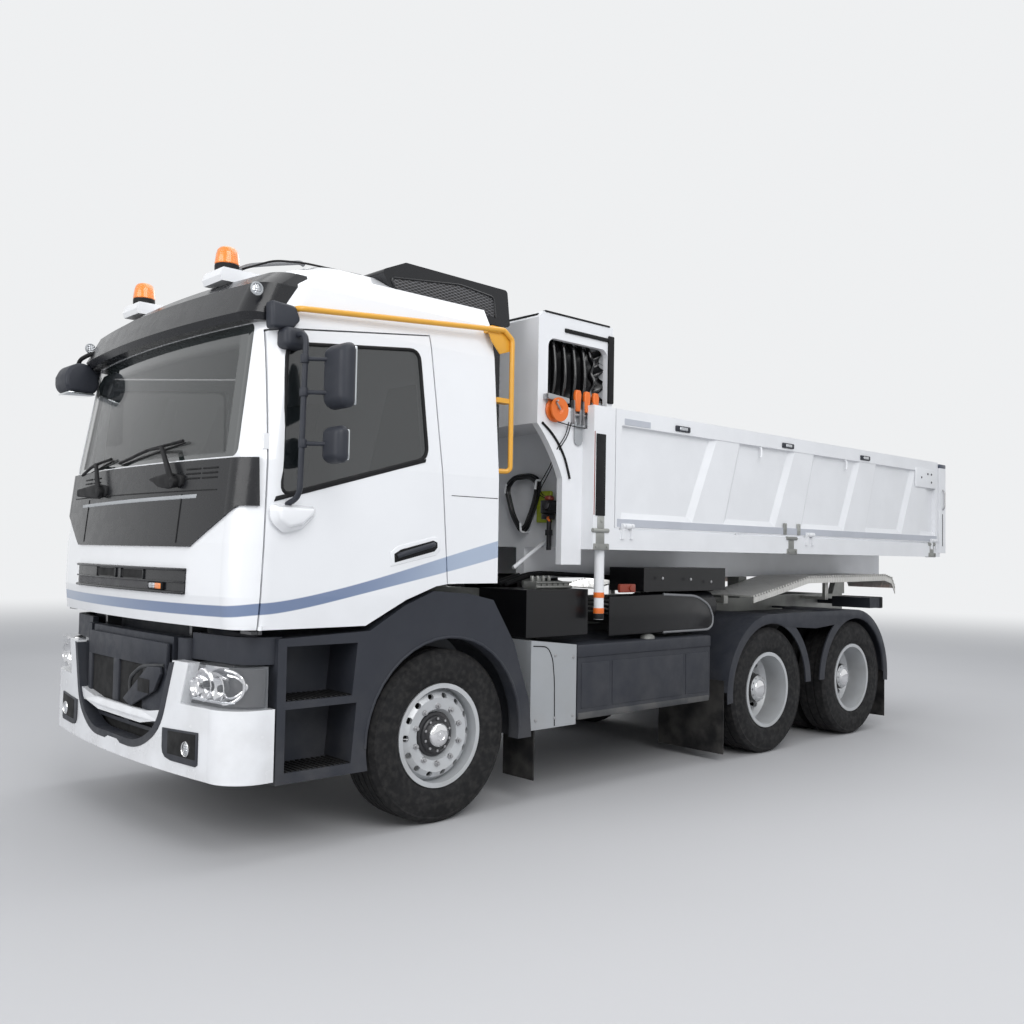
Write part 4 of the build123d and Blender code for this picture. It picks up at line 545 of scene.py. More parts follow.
class Shader:
    """One material's node tree."""

    def __init__(self, name: str) -> None:
        """Start an empty material of that name."""
        self.material = bpy.data.materials.new(name)
        self.material.use_nodes = True
        self.tree = self.material.node_tree
        self.tree.nodes.clear()
        self.coordinates: Union[bpy.types.Node, None] = None

    def node(self, kind: str, settings: dict, inputs: dict) -> bpy.types.Node:
        """Add a node.

        Args:
            kind: type of the node.
            settings: its properties, set first.
            inputs: values or links of its sockets, by name or number.

        Returns:
            The node.
        """
        made = self.tree.nodes.new(kind)
        for key, setting in settings.items():
            setattr(made, key, setting)
        for key, value in inputs.items():
            self.feed(made.inputs[key], value)
        return made

    def feed(self, socket: bpy.types.NodeSocket, value: object) -> None:
        """Link a socket to a value, or set it to a number, a point or a colour."""
        if isinstance(value, Value):
            value = value.socket
        if isinstance(value, bpy.types.NodeSocket):
            self.tree.links.new(value, socket)
            return
        if isinstance(value, tuple) and len(value) == 3 and len(socket.default_value) == 4:
            value = (*value, 1.0)
        socket.default_value = value

    def place(self) -> bpy.types.NodeSocket:
        """Point of the surface in the truck's frame."""
        if self.coordinates is None:
            self.coordinates = self.node("ShaderNodeTexCoord", {}, {})
        return self.coordinates.outputs["Object"]

    def split(self) -> tuple[Value, Value, Value]:
        """The place's three parts: along, across, up."""
        parts = self.node("ShaderNodeSeparateXYZ", {}, {0: self.place()})
        return tuple(Value(self, parts.outputs[i]) for i in range(3))

    def stretched(self, scale: Point, turn: Point = (0.0, 0.0, 0.0)) -> bpy.types.NodeSocket:
        """Place scaled and turned by a Mapping node."""
        made = self.node("ShaderNodeMapping", {}, {"Vector": self.place(), "Scale": scale, "Rotation": turn})
        return made.outputs[0]

    def noise(self, scale: float, detail: float = 3.0, where: Union[bpy.types.NodeSocket, None] = None) -> Value:
        """Cloudy pattern.

        Args:
            scale: how fine it is, per metre.
            detail: octaves.
            where: coordinates, else the place.

        Returns:
            Its value, from 0 to 1.
        """
        spot = where or self.place()
        made = self.node("ShaderNodeTexNoise", {}, {"Vector": spot, "Scale": scale, "Detail": detail})
        return Value(self, made.outputs[0])

    def mix(self, factor: Union[Value, float], first: object, second: object) -> bpy.types.NodeSocket:
        """Mix two colours by a factor."""
        return self.node("ShaderNodeMix", {"data_type": "RGBA"}, {0: factor, 6: first, 7: second}).outputs[2]

    def bump(self, height: Value, strength: float, depth: float) -> bpy.types.NodeSocket:
        """Relief from a height."""
        made = self.node(
            "ShaderNodeBump", {}, {"Strength": strength, "Distance": depth, "Height": height}
        )
        return made.outputs[0]

    def surface(self, fixed: dict, linked: dict) -> bpy.types.Material:
        """Close the tree with its shader.

        Args:
            fixed: values of the shader's sockets.
            linked: sockets that a pattern feeds.

        Returns:
            The material.
        """
        shader = self.node("ShaderNodeBsdfPrincipled", {}, {**fixed, **linked})
        self.node("ShaderNodeOutputMaterial", {}, {"Surface": shader.outputs[0]})
        return self.material

DUST: Colour = (0.30, 0.285, 0.26)


@dataclass(frozen=True)
class Finish:
    """A surface finish: its colour, gloss, grain and road dust."""

    name: str
    colour: Colour
    roughness: float = 0.5
    metallic: float = 0.0
    coat: float = 0.0
    mottle: float = 0.05
    grain: float = 250.0
    relief: float = 0.0
    dust: float = 0.0
    dust_height: float = 1.3
    specular: float = 0.5

    def tint(self, shader: Shader) -> object:
        """Colour over the surface, before the dust."""
        dark = tuple(part * (1 - self.mottle) for part in self.colour)
        return shader.mix(shader.noise(3.0).ramp(0.35, 0.65), dark, self.colour)

    def height(self, shader: Shader) -> Value:
        """Height of the fine relief."""
        return shader.noise(self.grain, 2.0)

    def gloss(self, shader: Shader) -> Value:
        """Roughness over the surface."""
        return shader.noise(14.0).ramp(0.3, 0.7, self.roughness * 0.88, min(1.0, self.roughness * 1.14))

    def soiled(self, shader: Shader) -> Value:
        """Share of dust, more towards the road."""
        up = shader.split()[2]
        low = up.ramp(0.0, self.dust_height, 1.0, 0.0)
        return low * shader.noise(5.0, 5.0).ramp(0.32, 0.7) * self.dust

    def build(self) -> bpy.types.Material:
        """Make the material."""
        shader = Shader(self.name)
        colour = self.tint(shader)
        rough: object = self.gloss(shader)
        if self.dust > 0:
            share = self.soiled(shader)
            colour = shader.mix(share, colour, DUST)
            rough = rough + share * (0.8 - self.roughness)
        linked = {"Base Color": colour, "Roughness": rough}
        if self.relief > 0:
            linked["Normal"] = shader.bump(self.height(shader), 0.6, self.relief)
        fixed = {
            "Metallic": self.metallic,
            "Coat Weight": self.coat,
            "Coat Roughness": 0.06,
            "Specular IOR Level": self.specular,
        }
        return shader.surface(fixed, linked)


@dataclass(frozen=True)
class CabPaint(Finish):
    """White cab paint with the blue-grey stripe that runs round the cab."""

    stripe: Colour = (0.155, 0.21, 0.34)
    stripe_pale: Colour = (0.36, 0.43, 0.55)
    middle_height: float = 1.253
    corner_height: float = 1.275
    underside: float = 0.0
    under_colour: Colour = (0.02, 0.021, 0.024)

    def tint(self, shader: Shader) -> object:
        """White, with the stripe along the lower cab, rising towards the rear."""
        white = Finish.tint(self, shader)
        along, across, up = shader.split()
        level = along.ramp(ahead(1.22), ahead(1.43), self.corner_height, self.middle_height)
        back = (ahead(1.25) - along).at_least(0.0)
        middle = level + back * back * 0.245 / (back + 0.35)
        half = along.ramp(ahead(-0.35), ahead(0.8), 0.050, 0.029)
        band = 1 - ((up - middle).absolute() - half).ramp(-0.003, 0.003)
        outside = across.absolute().ramp(1.0, 1.02) + along.ramp(ahead(1.30), ahead(1.32))
        tone = along.ramp(ahead(-0.2), ahead(0.8)) * across.ramp(-0.9, 0.9, 0.25, 1.0)
        painted = shader.mix(band * outside.least(1.0), white, shader.mix(tone, self.stripe_pale, self.stripe))
        if self.underside <= 0:
            return painted
        return shader.mix(up.ramp(self.underside - 0.001, self.underside), self.under_colour, painted)


@dataclass(frozen=True)
class Wires(Finish):
    """Expanded mesh: pale wires in lozenges over near-black holes, which are painted shade for the dark seen through
    the mesh.
    """

    wire: Colour = (0.16, 0.16, 0.17)
    # The hole colour is painted shade, standing for the dark seen through the mesh.
    hole: Colour = (0.004, 0.004, 0.005)
    pitch: float = 0.028

    def lattice(self, shader: Shader) -> Value:
        """One on a wire, nothing in a hole."""
        along, across, up = shader.split()
        turn = math.tau / self.pitch / 2
        first = ((along * 0.6 + across) * turn + up * turn * 1.5).wave().absolute()
        second = ((along * 0.6 + across) * turn - up * turn * 1.5).wave().absolute()
        return 1 - first.ramp(0.16, 0.30) * second.ramp(0.16, 0.30)

    def tint(self, shader: Shader) -> object:
        """Wires over holes painted with shade."""
        return shader.mix(self.lattice(shader), self.hole, self.wire)

    def height(self, shader: Shader) -> Value:
        """Wires stand proud."""
        return self.lattice(shader)


@dataclass(frozen=True)
class CheckerPlate(Finish):
    """Aluminium tread plate with crossed bars."""

    pitch: float = 0.045

    def height(self, shader: Shader) -> Value:
        """Short raised bars, turned one way and the other."""
        along, across, _ = shader.split()
        turn = math.tau / self.pitch
        one = ((along + across) * turn).wave() * ((along - across) * turn * 0.5).wave().ramp(0.4, 0.9)
        other = ((along - across) * turn).wave() * (1 - ((along - across) * turn * 0.5).wave().ramp(-0.2, 0.3))
        return one.at_least(0.0) + other.at_least(0.0)


@dataclass(frozen=True)
class Brushed(Finish):
    """Metal with fine lines along the truck."""

    def height(self, shader: Shader) -> Value:
        """Long fine scratches."""
        return shader.noise(1.0, 2.0, shader.stretched((8.0, 300.0, 300.0)))


@dataclass(frozen=True)
class RoadRubber(Finish):
    """Tyre rubber, with pale dust held in its tread and on its walls."""

    def soiled(self, shader: Shader) -> Value:
        """Thin dust all round."""
        return shader.noise(30.0, 4.0).ramp(0.35, 0.75) * self.dust


@dataclass(frozen=True)
class Glass(Finish):
    """Tinted glass that lets the inside show."""

    see: float = 0.45
    index: float = 1.7

    def cover(self, shader: Shader) -> Union[Value, float]:
        """How much of the surface the glass itself hides."""
        return self.see

    def build(self) -> bpy.types.Material:
        """Make the material."""
        shader = Shader(self.name)
        film = shader.noise(2.5, 4.0).ramp(0.35, 0.7, self.roughness, self.roughness + 0.03)
        linked = {"Base Color": self.tint(shader), "Roughness": film}
        fixed = {"IOR": self.index, "Coat Weight": 1.0, "Coat Roughness": 0.02, "Specular IOR Level": 0.6}
        cover = self.cover(shader)
        (linked if isinstance(cover, Value) else fixed)["Alpha"] = cover
        return shader.surface(fixed, linked)


@dataclass(frozen=True)
class Windscreen(Glass):
    """Bonded windscreen: black printed bands round a clear middle, darker at its top."""

    band_low: float = 0.985
    band_high: float = 0.93
    low: float = 2.045
    high: float = 2.75
    top_band: float = 2.63

    def cover(self, shader: Shader) -> Value:
        """Solid over the printed bands, with a soft inner edge."""
        _, across, up = shader.split()
        share = (up - self.low) / (self.high - self.low)
        edge = self.band_low + share * (self.band_high - self.band_low)
        side = (across.absolute() - edge).ramp(-0.006, 0.006)
        top = up.ramp(self.top_band - 0.02, self.top_band + 0.04)
        foot = up.ramp(self.low + 0.015, self.low + 0.03, 1.0, 0.0)
        haze = up.ramp(self.low, self.top_band, 0.0, 0.12)
        return ((side + top * 0.75 + foot).least(1.0) * (1 - self.see - haze) + self.see + haze).least(1.0)


@dataclass(frozen=True)
class Lens(Finish):
    """Lamp lens, with fine prisms under a smooth skin."""

    pitch: float = 0.012
    glow: float = 0.0

    def height(self, shader: Shader) -> Value:
        """Upright prisms crossed by level ones."""
        along, across, up = shader.split()
        turn = math.tau / self.pitch
        return ((along + across) * turn).wave() + (up * turn).wave()

    def build(self) -> bpy.types.Material:
        """Make the material."""
        shader = Shader(self.name)
        linked = {
            "Base Color": self.tint(shader),
            "Roughness": self.gloss(shader),
            "Normal": shader.bump(self.height(shader), 0.5, self.relief),
        }
        fixed = {"Metallic": self.metallic, "Coat Weight": 1.0, "Coat Roughness": 0.03}
        if self.glow > 0:
            fixed["Emission Strength"] = self.glow
            fixed["Emission Color"] = self.colour
        return shader.surface(fixed, linked)


class Finishes:
    """All finishes of the truck, made once when first asked for."""

    RECIPES: dict[str, Finish] = {
        recipe.name: recipe
        for recipe in (
            CabPaint("cab_white", (0.80, 0.81, 0.83), 0.16, coat=0.6, mottle=0.02, grain=60.0, relief=0.00006,
                     dust=0.25, dust_height=1.7),
            CabPaint("shell_white", (0.80, 0.81, 0.83), 0.16, coat=0.6, mottle=0.02, grain=60.0, relief=0.00006,
                     dust=0.25, dust_height=1.7, underside=1.169),
            Finish("bed_white", (0.79, 0.80, 0.82), 0.34, coat=0.2, mottle=0.04, grain=90.0, relief=0.0002,
                   dust=0.22, dust_height=2.4),
            Finish("frame_grey", (0.045, 0.048, 0.053), 0.5, mottle=0.2, relief=0.0004, dust=0.3, specular=0.3),
            Finish("axle_black", (0.010, 0.010, 0.011), 0.5, mottle=0.2, relief=0.0005, dust=0.2, specular=0.25),
            Finish("engine_grey", (0.05, 0.052, 0.056), 0.55, metallic=0.3, mottle=0.2, relief=0.0006, dust=0.2),
            Finish("dark_plastic", (0.027, 0.030, 0.039), 0.5, mottle=0.08, grain=700.0, relief=0.0004, dust=0.12,
                   specular=0.3),
            Finish("gloss_black", (0.009, 0.0095, 0.0115), 0.27, coat=0.12, mottle=0.05, grain=500.0, relief=0.0001,
                   dust=0.04, specular=0.35),
            Finish("box_black", (0.005, 0.005, 0.006), 0.32, coat=0.12, mottle=0.1, relief=0.0003, dust=0.06,
                   specular=0.3),
            Finish("silver_grey", (0.36, 0.375, 0.39), 0.42, metallic=0.1, mottle=0.04, grain=600.0,
                   relief=0.0002, dust=0.25),
            Brushed("tank_aluminium", (0.62, 0.63, 0.64), 0.3, metallic=0.9, relief=0.0004, dust=0.2),
            CheckerPlate("checker_aluminium", (0.66, 0.65, 0.62), 0.36, metallic=0.6, mottle=0.10, relief=0.004,
                         dust=0.15),
            Finish("galvanised", (0.36, 0.365, 0.345), 0.45, metallic=0.5, mottle=0.35, grain=40.0, relief=0.0004,
                   dust=0.25),
            Finish("cap_blue", (0.035, 0.045, 0.075), 0.35, coat=0.2, mottle=0.08, relief=0.0002, dust=0.1),
            # This near-black finish is painted shade: it stands for the shade inside grille openings, slots and
            # recesses.
            Finish("hollow_shade_black", (0.004, 0.004, 0.0045), 0.85, grain=500.0, relief=0.0003),
            Finish("cable_grey", (0.20, 0.205, 0.215), 0.5, mottle=0.08, relief=0.0003, dust=0.1),
            Finish("chrome", (0.80, 0.80, 0.81), 0.08, metallic=1.0, mottle=0.03, dust=0.02),
            Finish("steel", (0.45, 0.45, 0.46), 0.35, metallic=0.9, mottle=0.15, relief=0.0002, dust=0.15),
            Finish("rim_silver", (0.56, 0.575, 0.59), 0.34, metallic=0.35, mottle=0.08, relief=0.0003, dust=0.28),
            Finish("hub_black", (0.03, 0.03, 0.033), 0.35, metallic=0.3, mottle=0.2, relief=0.0004, dust=0.2),
            RoadRubber("tyre", (0.013, 0.013, 0.014), 0.72, mottle=0.15, grain=300.0, relief=0.0006, dust=0.06,
                       specular=0.2),
            Finish("rubber", (0.008, 0.008, 0.009), 0.6, mottle=0.12, grain=300.0, relief=0.0004, dust=0.06,
                   specular=0.22),
            Finish("flap_rubber", (0.010, 0.010, 0.011), 0.62, mottle=0.15, grain=200.0, relief=0.0008, dust=0.18,
                   specular=0.2),
            Finish("hoist_black", (0.02, 0.02, 0.022), 0.35, coat=0.3, relief=0.0003, dust=0.15),
            Finish("hoist_chrome", (0.72, 0.72, 0.74), 0.12, metallic=1.0, mottle=0.03, dust=0.02),
            Finish("rail_yellow", (0.72, 0.36, 0.035), 0.38, coat=0.2, mottle=0.06, relief=0.0002, dust=0.1),
            Finish("orange", (0.75, 0.16, 0.02), 0.4, mottle=0.08, relief=0.0002, dust=0.1),
            Finish("cover_black", (0.006, 0.006, 0.007), 0.24, coat=0.5, mottle=0.1, grain=120.0, relief=0.0004,
                   dust=0.02),
            Finish("band_grey", (0.47, 0.49, 0.54), 0.4, mottle=0.06, relief=0.0002, dust=0.15),
            Finish("valve_green", (0.42, 0.50, 0.04), 0.4, mottle=0.08, relief=0.0002, dust=0.1),
            Finish("red_brown", (0.25, 0.04, 0.02), 0.45, mottle=0.12, relief=0.0003, dust=0.25),
            Finish("plate_white", (0.74, 0.75, 0.76), 0.35, coat=0.3, mottle=0.03, relief=0.0001, dust=0.15),
            Finish("reflector_red", (0.55, 0.02, 0.015), 0.25, coat=0.6, mottle=0.05, relief=0.0003),
            Finish("reflector_orange", (0.85, 0.20, 0.02), 0.25, coat=0.6, mottle=0.05, relief=0.0003),
            Finish("interior", (0.035, 0.035, 0.039), 0.8, mottle=0.12, grain=1500.0, relief=0.0003),
            Wires("mesh_black", (0.02, 0.02, 0.02), 0.5, relief=0.003),
            Glass("tinted_glass", (0.010, 0.013, 0.014), 0.02, see=0.70),
            Windscreen("windscreen_glass", (0.016, 0.021, 0.021), 0.02, see=0.34),
            Glass("lens_glass", (0.60, 0.62, 0.65), 0.03, see=0.16, index=1.45),
            Lens("lamp_clear", (0.62, 0.64, 0.67), 0.12, metallic=0.7, mottle=0.3, relief=0.0015),
            Lens("lamp_red", (0.50, 0.012, 0.01), 0.2, mottle=0.1, relief=0.0012, glow=0.05),
            Lens("lamp_amber", (0.85, 0.22, 0.015), 0.2, mottle=0.1, relief=0.0012, glow=0.12),
            Lens("mirror_glass", (0.55, 0.58, 0.6), 0.04, metallic=1.0, mottle=0.02, relief=0.00001),
        )
    }
    SLOTS: dict[str, str] = {
        "cab_white": "body_white", "shell_white": "body_white", "windscreen_glass": "tinted_glass",
        "mesh_black": "gloss_black",
        "lamp_amber": "beacon_amber", "interior": "interior_grey", "rubber": "flap_rubber",
        "cover_black": "strap_rubber", "lens_glass": "lamp_clear", "galvanised": "checker_aluminium",
        "box_black": "gloss_black", "hollow_shade_black": "dark_plastic", "plate_white": "bed_white",
    }
    made: dict[str, bpy.types.Material] = {}

    @classmethod
    def get(cls, name: str) -> bpy.types.Material:
        """The material of that name."""
        if name not in cls.made:
            cls.made[name] = cls.RECIPES[name].build()
        return cls.made[name]

    @classmethod
    def paint(cls, piece: bpy.types.Object, name: str) -> None:
        """Give the whole piece one finish."""
        piece.data.materials.clear()
        piece.data.materials.append(cls.get(name))


def fit(
    piece: bpy.types.Object,
    finish: str,
    body: str,
    stands_for: Sequence[str] = (),
    angle: float = 32.0,
) -> bpy.types.Object:
    """Finish a piece and hang it on its body.

    Args:
        piece: the finished mesh.
        finish: name of its finish.
        body: CAD body that it rides on.
        stands_for: CAD nodes that it replaces.
        angle: edges flatter than this are shaded smooth.

    Returns:
        The piece.
    """
    if angle > 0:
        Bench.smooth(piece, angle)
    Finishes.paint(piece, finish)
    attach(piece, body)
    slot = Finishes.SLOTS.get(finish, finish)
    if stands_for:
        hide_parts(*stands_for)
    log.info("%s rides on %s", piece.name, body)
    return piece


@dataclass
class Studio:
    """Pale floor, soft light and the camera."""

    camera_place: Point = (6.287, 5.722, 1.582)
    turn: float = 43.13
    rise: float = 2.30
    lean: float = 1.02
    focal_pixels: float = 998.0
    frame_pixels: float = 1024.0
    sensor: float = 36.0
    floor_reach: float = 60.0
    floor_colour: Colour = (0.50, 0.50, 0.51)
    floor_pale: Colour = (0.60, 0.60, 0.61)
    fade: tuple[float, float] = (9.0, 26.0)
    sky: Colour = (0.86, 0.87, 0.88)
    soft_light: Colour = (0.86, 0.90, 0.96)
    soft_strength: float = 0.55
    lamp_target: Point = (0.0, 0.0, 1.2)
    lamps: tuple[tuple[str, Point, float, float], ...] = (
        ("key", (5.0, 9.0, 7.5), 7.0, 620.0),
        ("front", (11.0, 1.0, 4.5), 6.0, 330.0),
        ("top", (-1.0, 0.0, 9.5), 9.0, 420.0),
        ("back", (-8.0, -8.0, 6.0), 6.0, 260.0),
    )

    def camera(self) -> None:
        """Place the camera."""
        lens = bpy.data.cameras.new("camera")
        lens.lens = self.sensor * self.focal_pixels / self.frame_pixels
        lens.sensor_width = self.sensor
        lens.clip_end = 300.0
        eye = bpy.data.objects.new("camera", lens)
        bpy.context.scene.collection.objects.link(eye)
        turn, rise, lean = (math.radians(v) for v in (self.turn, self.rise, self.lean))
        look = Vector((-math.sin(turn) * math.cos(rise), -math.cos(turn) * math.cos(rise), math.sin(rise)))
        right = Vector((-math.cos(turn), math.sin(turn), 0.0))
        up = right.cross(look)
        right_leaned = right * math.cos(lean) + up * math.sin(lean)
        up_leaned = up * math.cos(lean) - right * math.sin(lean)
        eye.matrix_world = Matrix.Translation(self.camera_place) @ Matrix(
            (right_leaned, up_leaned, -look)
        ).transposed().to_4x4()
        bpy.context.scene.camera = eye

    def floor(self) -> None:
        """Lay the pale floor, which fades into the backdrop far away."""
        Bench.clear()
        bpy.ops.mesh.primitive_plane_add(size=self.floor_reach * 2)
        ground = Bench.named("floor")
        shader = Shader("floor")
        place = shader.node("ShaderNodeVectorMath", {"operation": "LENGTH"}, {0: shader.place()})
        far = Value(shader, place.outputs[1]).ramp(*self.fade)
        cloud = shader.noise(0.25, 2.0).ramp(0.3, 0.7, 0.0, 0.2)
        near = shader.mix(cloud, self.floor_colour, self.floor_pale)
        lit = shader.node("ShaderNodeBsdfPrincipled", {}, {"Base Color": near, "Roughness": 0.7})
        back = shader.node("ShaderNodeEmission", {}, {"Color": self.sky, "Strength": 1.0})
        blend = shader.node("ShaderNodeMixShader", {}, {0: far, 1: lit.outputs[0], 2: back.outputs[0]})
        shader.node("ShaderNodeOutputMaterial", {}, {"Surface": blend.outputs[0]})
        ground.data.materials.append(shader.material)

    def light(self) -> None:
        """Hang the soft lamps and set the pale world."""
        for name, place, size, power in self.lamps:
            lamp = bpy.data.lights.new(name, "AREA")
            lamp.size = size
            lamp.energy = power
            hung = bpy.data.objects.new(name, lamp)
            hung.location = place
            hung.rotation_mode = "QUATERNION"
            hung.rotation_quaternion = (Vector(self.lamp_target) - Vector(place)).to_track_quat("-Z", "Y")
            bpy.context.scene.collection.objects.link(hung)
        world = bpy.data.worlds.new("world")
        bpy.context.scene.world = world
        world.use_nodes = True
        tree = world.node_tree
        tree.nodes.clear()
        path = tree.nodes.new("ShaderNodeLightPath")
        rays = [path.outputs[name] for name in ("Is Camera Ray", "Is Glossy Ray", "Is Transmission Ray")]
        shown = rays[0]
        for ray in rays[1:]:
            either = tree.nodes.new("ShaderNodeMath")
            either.operation = "MAXIMUM"
            tree.links.new(shown, either.inputs[0])
            tree.links.new(ray, either.inputs[1])
            shown = either.outputs[0]
        seen = tree.nodes.new("ShaderNodeBackground")
        seen.inputs[0].default_value = (*self.sky, 1.0)
        dim = tree.nodes.new("ShaderNodeBackground")
        dim.inputs[0].default_value = (*self.soft_light, 1.0)
        dim.inputs[1].default_value = self.soft_strength
        mix = tree.nodes.new("ShaderNodeMixShader")
        out = tree.nodes.new("ShaderNodeOutputWorld")
        tree.links.new(shown, mix.inputs[0])
        tree.links.new(dim.outputs[0], mix.inputs[1])
        tree.links.new(seen.outputs[0], mix.inputs[2])
        tree.links.new(mix.outputs[0], out.inputs[0])
        bpy.context.scene.view_settings.view_transform = "Standard"

    def build(self) -> None:
        """Set up the whole studio."""
        self.camera()
        self.floor()
        self.light()


@dataclass
class Dressing:
    """Finishes of the plain solids that stay visible."""

    finish_of: dict[str, str] = field(
        default_factory=lambda: {
            "chassis_frame": "frame_grey",
            "subframe": "galvanised",
            "front_axle": "axle_black",
            "drive_axles": "axle_black",
            "powertrain": "engine_grey",
            "front_bumper": "cab_white",
            "lower_grille": "dark_plastic",
            "front_lamps": "lens_glass",
            "step_arches": "dark_plastic",
            "side_fairings": "silver_grey",
            "battery_box": "dark_plastic",
            "fuel_tank": "tank_aluminium",
            "air_system": "box_black",
            "mudguards": "dark_plastic",
            "mudflaps": "flap_rubber",
            "deck_plates": "checker_aluminium",
            "rear_underrun": "frame_grey",
            "rear_lamps": "dark_plastic",
            "cab_shell": "shell_white",
            "windscreen": "windscreen_glass",
            "front_mask": "gloss_black",
            "upper_grille": "gloss_black",
            "sun_visor": "gloss_black",
            "beacons": "lamp_amber",
            "roof_intake": "gloss_black",
            "guard_rail": "rail_yellow",
            "cab_interior": "interior",
            "bed_floor": "bed_white",
            "headboard": "bed_white",
            "load_straps": "rubber",
            "tailgate": "bed_white",
            "hoist_barrel": "hoist_black",
        }
    )
    starts: tuple[tuple[str, str], ...] = (
        ("door_glass", "tinted_glass"),
        ("door", "cab_white"),
        ("mirror", "gloss_black"),
        ("knuckle", "axle_black"),
        ("tie_rod", "axle_black"),
        ("tyre", "tyre"),
        ("rim", "rim_silver"),
        ("drop_side", "bed_white"),
        ("hoist_stage", "hoist_chrome"),
    )

    def name_for(self, node: str) -> str:
        """Finish of a node, by its own name or by how it starts."""
        if node in self.finish_of:
            return self.finish_of[node]
        return next(finish for start, finish in self.starts if node.startswith(start))

    def build(self) -> None:
        """Dress every solid."""
        for name, piece in frame["nodes"].items():
            Finishes.paint(piece, self.name_for(name))
            log.info("%s is dressed", name)


@dataclass
class Wheels:
    """Tyres with their tread, and the nuts, hubs and caps on the rims."""

    radius: float = 0.505
    half_tread: float = 0.125
    seat: float = 0.286
    half_rim: float = 0.115
    groove_depth: float = 0.014
    groove_half: float = 0.0055
    front_grooves: tuple[float, ...] = (-0.078, -0.027, 0.027, 0.078)
    rear_grooves: tuple[float, ...] = (-0.040, 0.040)
    front_offset: float = 1.03
    rear_offsets: tuple[float, float] = (1.082, 0.737)
    front_lugs: int = 56
    rear_lugs: int = 48
    middle_blocks: tuple[Point, ...] = ((0.0, 0.008, 0.026), (-0.064, -0.004, 0.016), (0.064, 0.004, 0.016))
    nut_count: int = 10
    nut_circle: float = 0.1675
    steps: int = 72
    wall: Profile = (
        (0.1285, 0.4905), (0.1360, 0.4790), (0.1400, 0.4760), (0.1405, 0.4700), (0.1385, 0.4660), (0.1452, 0.4380),
        (0.1482, 0.4100), (0.1490, 0.4000), (0.1478, 0.3940), (0.1480, 0.3760), (0.1455, 0.3560), (0.1440, 0.3520),
        (0.1448, 0.3470), (0.1400, 0.3310), (0.1335, 0.3180), (0.1280, 0.3120), (0.1265, 0.3060), (0.1150, 0.3040),
    )
    front_hub: Profile = (
        (0.060, 0.0), (0.060, 0.128), (0.070, 0.132), (0.078, 0.126), (0.082, 0.112), (0.094, 0.108),
        (0.100, 0.100), (0.100, 0.086), (0.108, 0.080), (0.114, 0.074), (0.114, 0.0),
    )
    front_cap: Profile = (
        (0.111, 0.0), (0.111, 0.070), (0.116, 0.0695), (0.124, 0.066), (0.131, 0.057), (0.135, 0.044),
        (0.1365, 0.030), (0.134, 0.027), (0.134, 0.012), (0.1365, 0.010), (0.1370, 0.0),
    )
    valve_stem: Profile = ((0.262, 0.075), (0.252, 0.10), (0.230, 0.118))
    rear_hub: Profile = (
        (-0.035, 0.128), (-0.025, 0.122), (-0.010, 0.116), (0.020, 0.112), (0.036, 0.108), (0.044, 0.100), (0.046, 0.0)
    )
    rear_cap: Profile = (
        (0.03, 0.0), (0.03, 0.077), (0.052, 0.0765), (0.060, 0.072), (0.068, 0.060), (0.073, 0.042), (0.075, 0.020),
        (0.0755, 0.0),
    )

    def tyre_profile(self, grooves: Sequence[float]) -> list[tuple[float, float]]:
        """Closed outline of a tyre with grooves round its crown."""
        line = [(-self.half_tread + 0.009, self.radius - 0.003)]
        for groove in grooves:
            crown = self.radius - 0.0045 * (groove / self.half_tread) ** 2
            bottom = self.radius - self.groove_depth
            line += [
                (groove - self.groove_half, crown),
                (groove - self.groove_half * 0.55, bottom),
                (groove + self.groove_half * 0.55, bottom),
                (groove + self.groove_half, crown),
            ]
        line.append((self.half_tread - 0.009, self.radius - 0.003))
        outer = sided(1, self.wall)
        inner = sided(-1, reversed(self.wall))
        return line + outer + [(self.half_rim, self.seat), (-self.half_rim, self.seat)] + inner

    def shoulder_lug(self, name: str, centre: Point, side: int, deep: float) -> bpy.types.Object:
        """One tread lug at the shoulder, with its edges rounded."""
        x, y, z = centre
        inner = side * (self.half_tread - deep)
        outline = [
            (x - 0.010, y + inner, z + self.radius - 0.006),
            (x - 0.012, y + side * 0.1200, z + self.radius - 0.007),
            (x - 0.011, y + side * 0.1345, z + self.radius - 0.024),
            (x - 0.008, y + side * 0.1400, z + self.radius - 0.040),
            (x - 0.008, y + side * 0.1300, z + self.radius - 0.040),
            (x - 0.010, y + inner, z + self.radius - 0.016),
        ]
        lug = Bench.slab(name, outline, (0.021, 0.0, 0.0), 0.0015, 1)
        for vertex in lug.data.vertices:
            reach = math.hypot(vertex.co.x - x, vertex.co.z - z)
            if reach > self.radius - 0.0005:
                scale = (self.radius - 0.0005) / reach
                vertex.co.x = x + (vertex.co.x - x) * scale
                vertex.co.z = z + (vertex.co.z - z) * scale
        return lug

    def tread_block(self, name: str, centre: Point, across: float, lean: float, width: float) -> bpy.types.Object:
        """Raised drive block in the middle of a rear tyre's crown."""
        x, y, z = centre
        low, high = z + self.radius - 0.012, z + self.radius - 0.0012
        outline = [
            (x - 0.014, y + across - width, low),
            (x + 0.014 + lean, y + across - width, low),
            (x + 0.014, y + across + width, low),
            (x - 0.014 - lean, y + across + width, low),
        ]
        return Bench.slab(name, outline, (0.0, 0.0, high - low), 0.0015, 1)

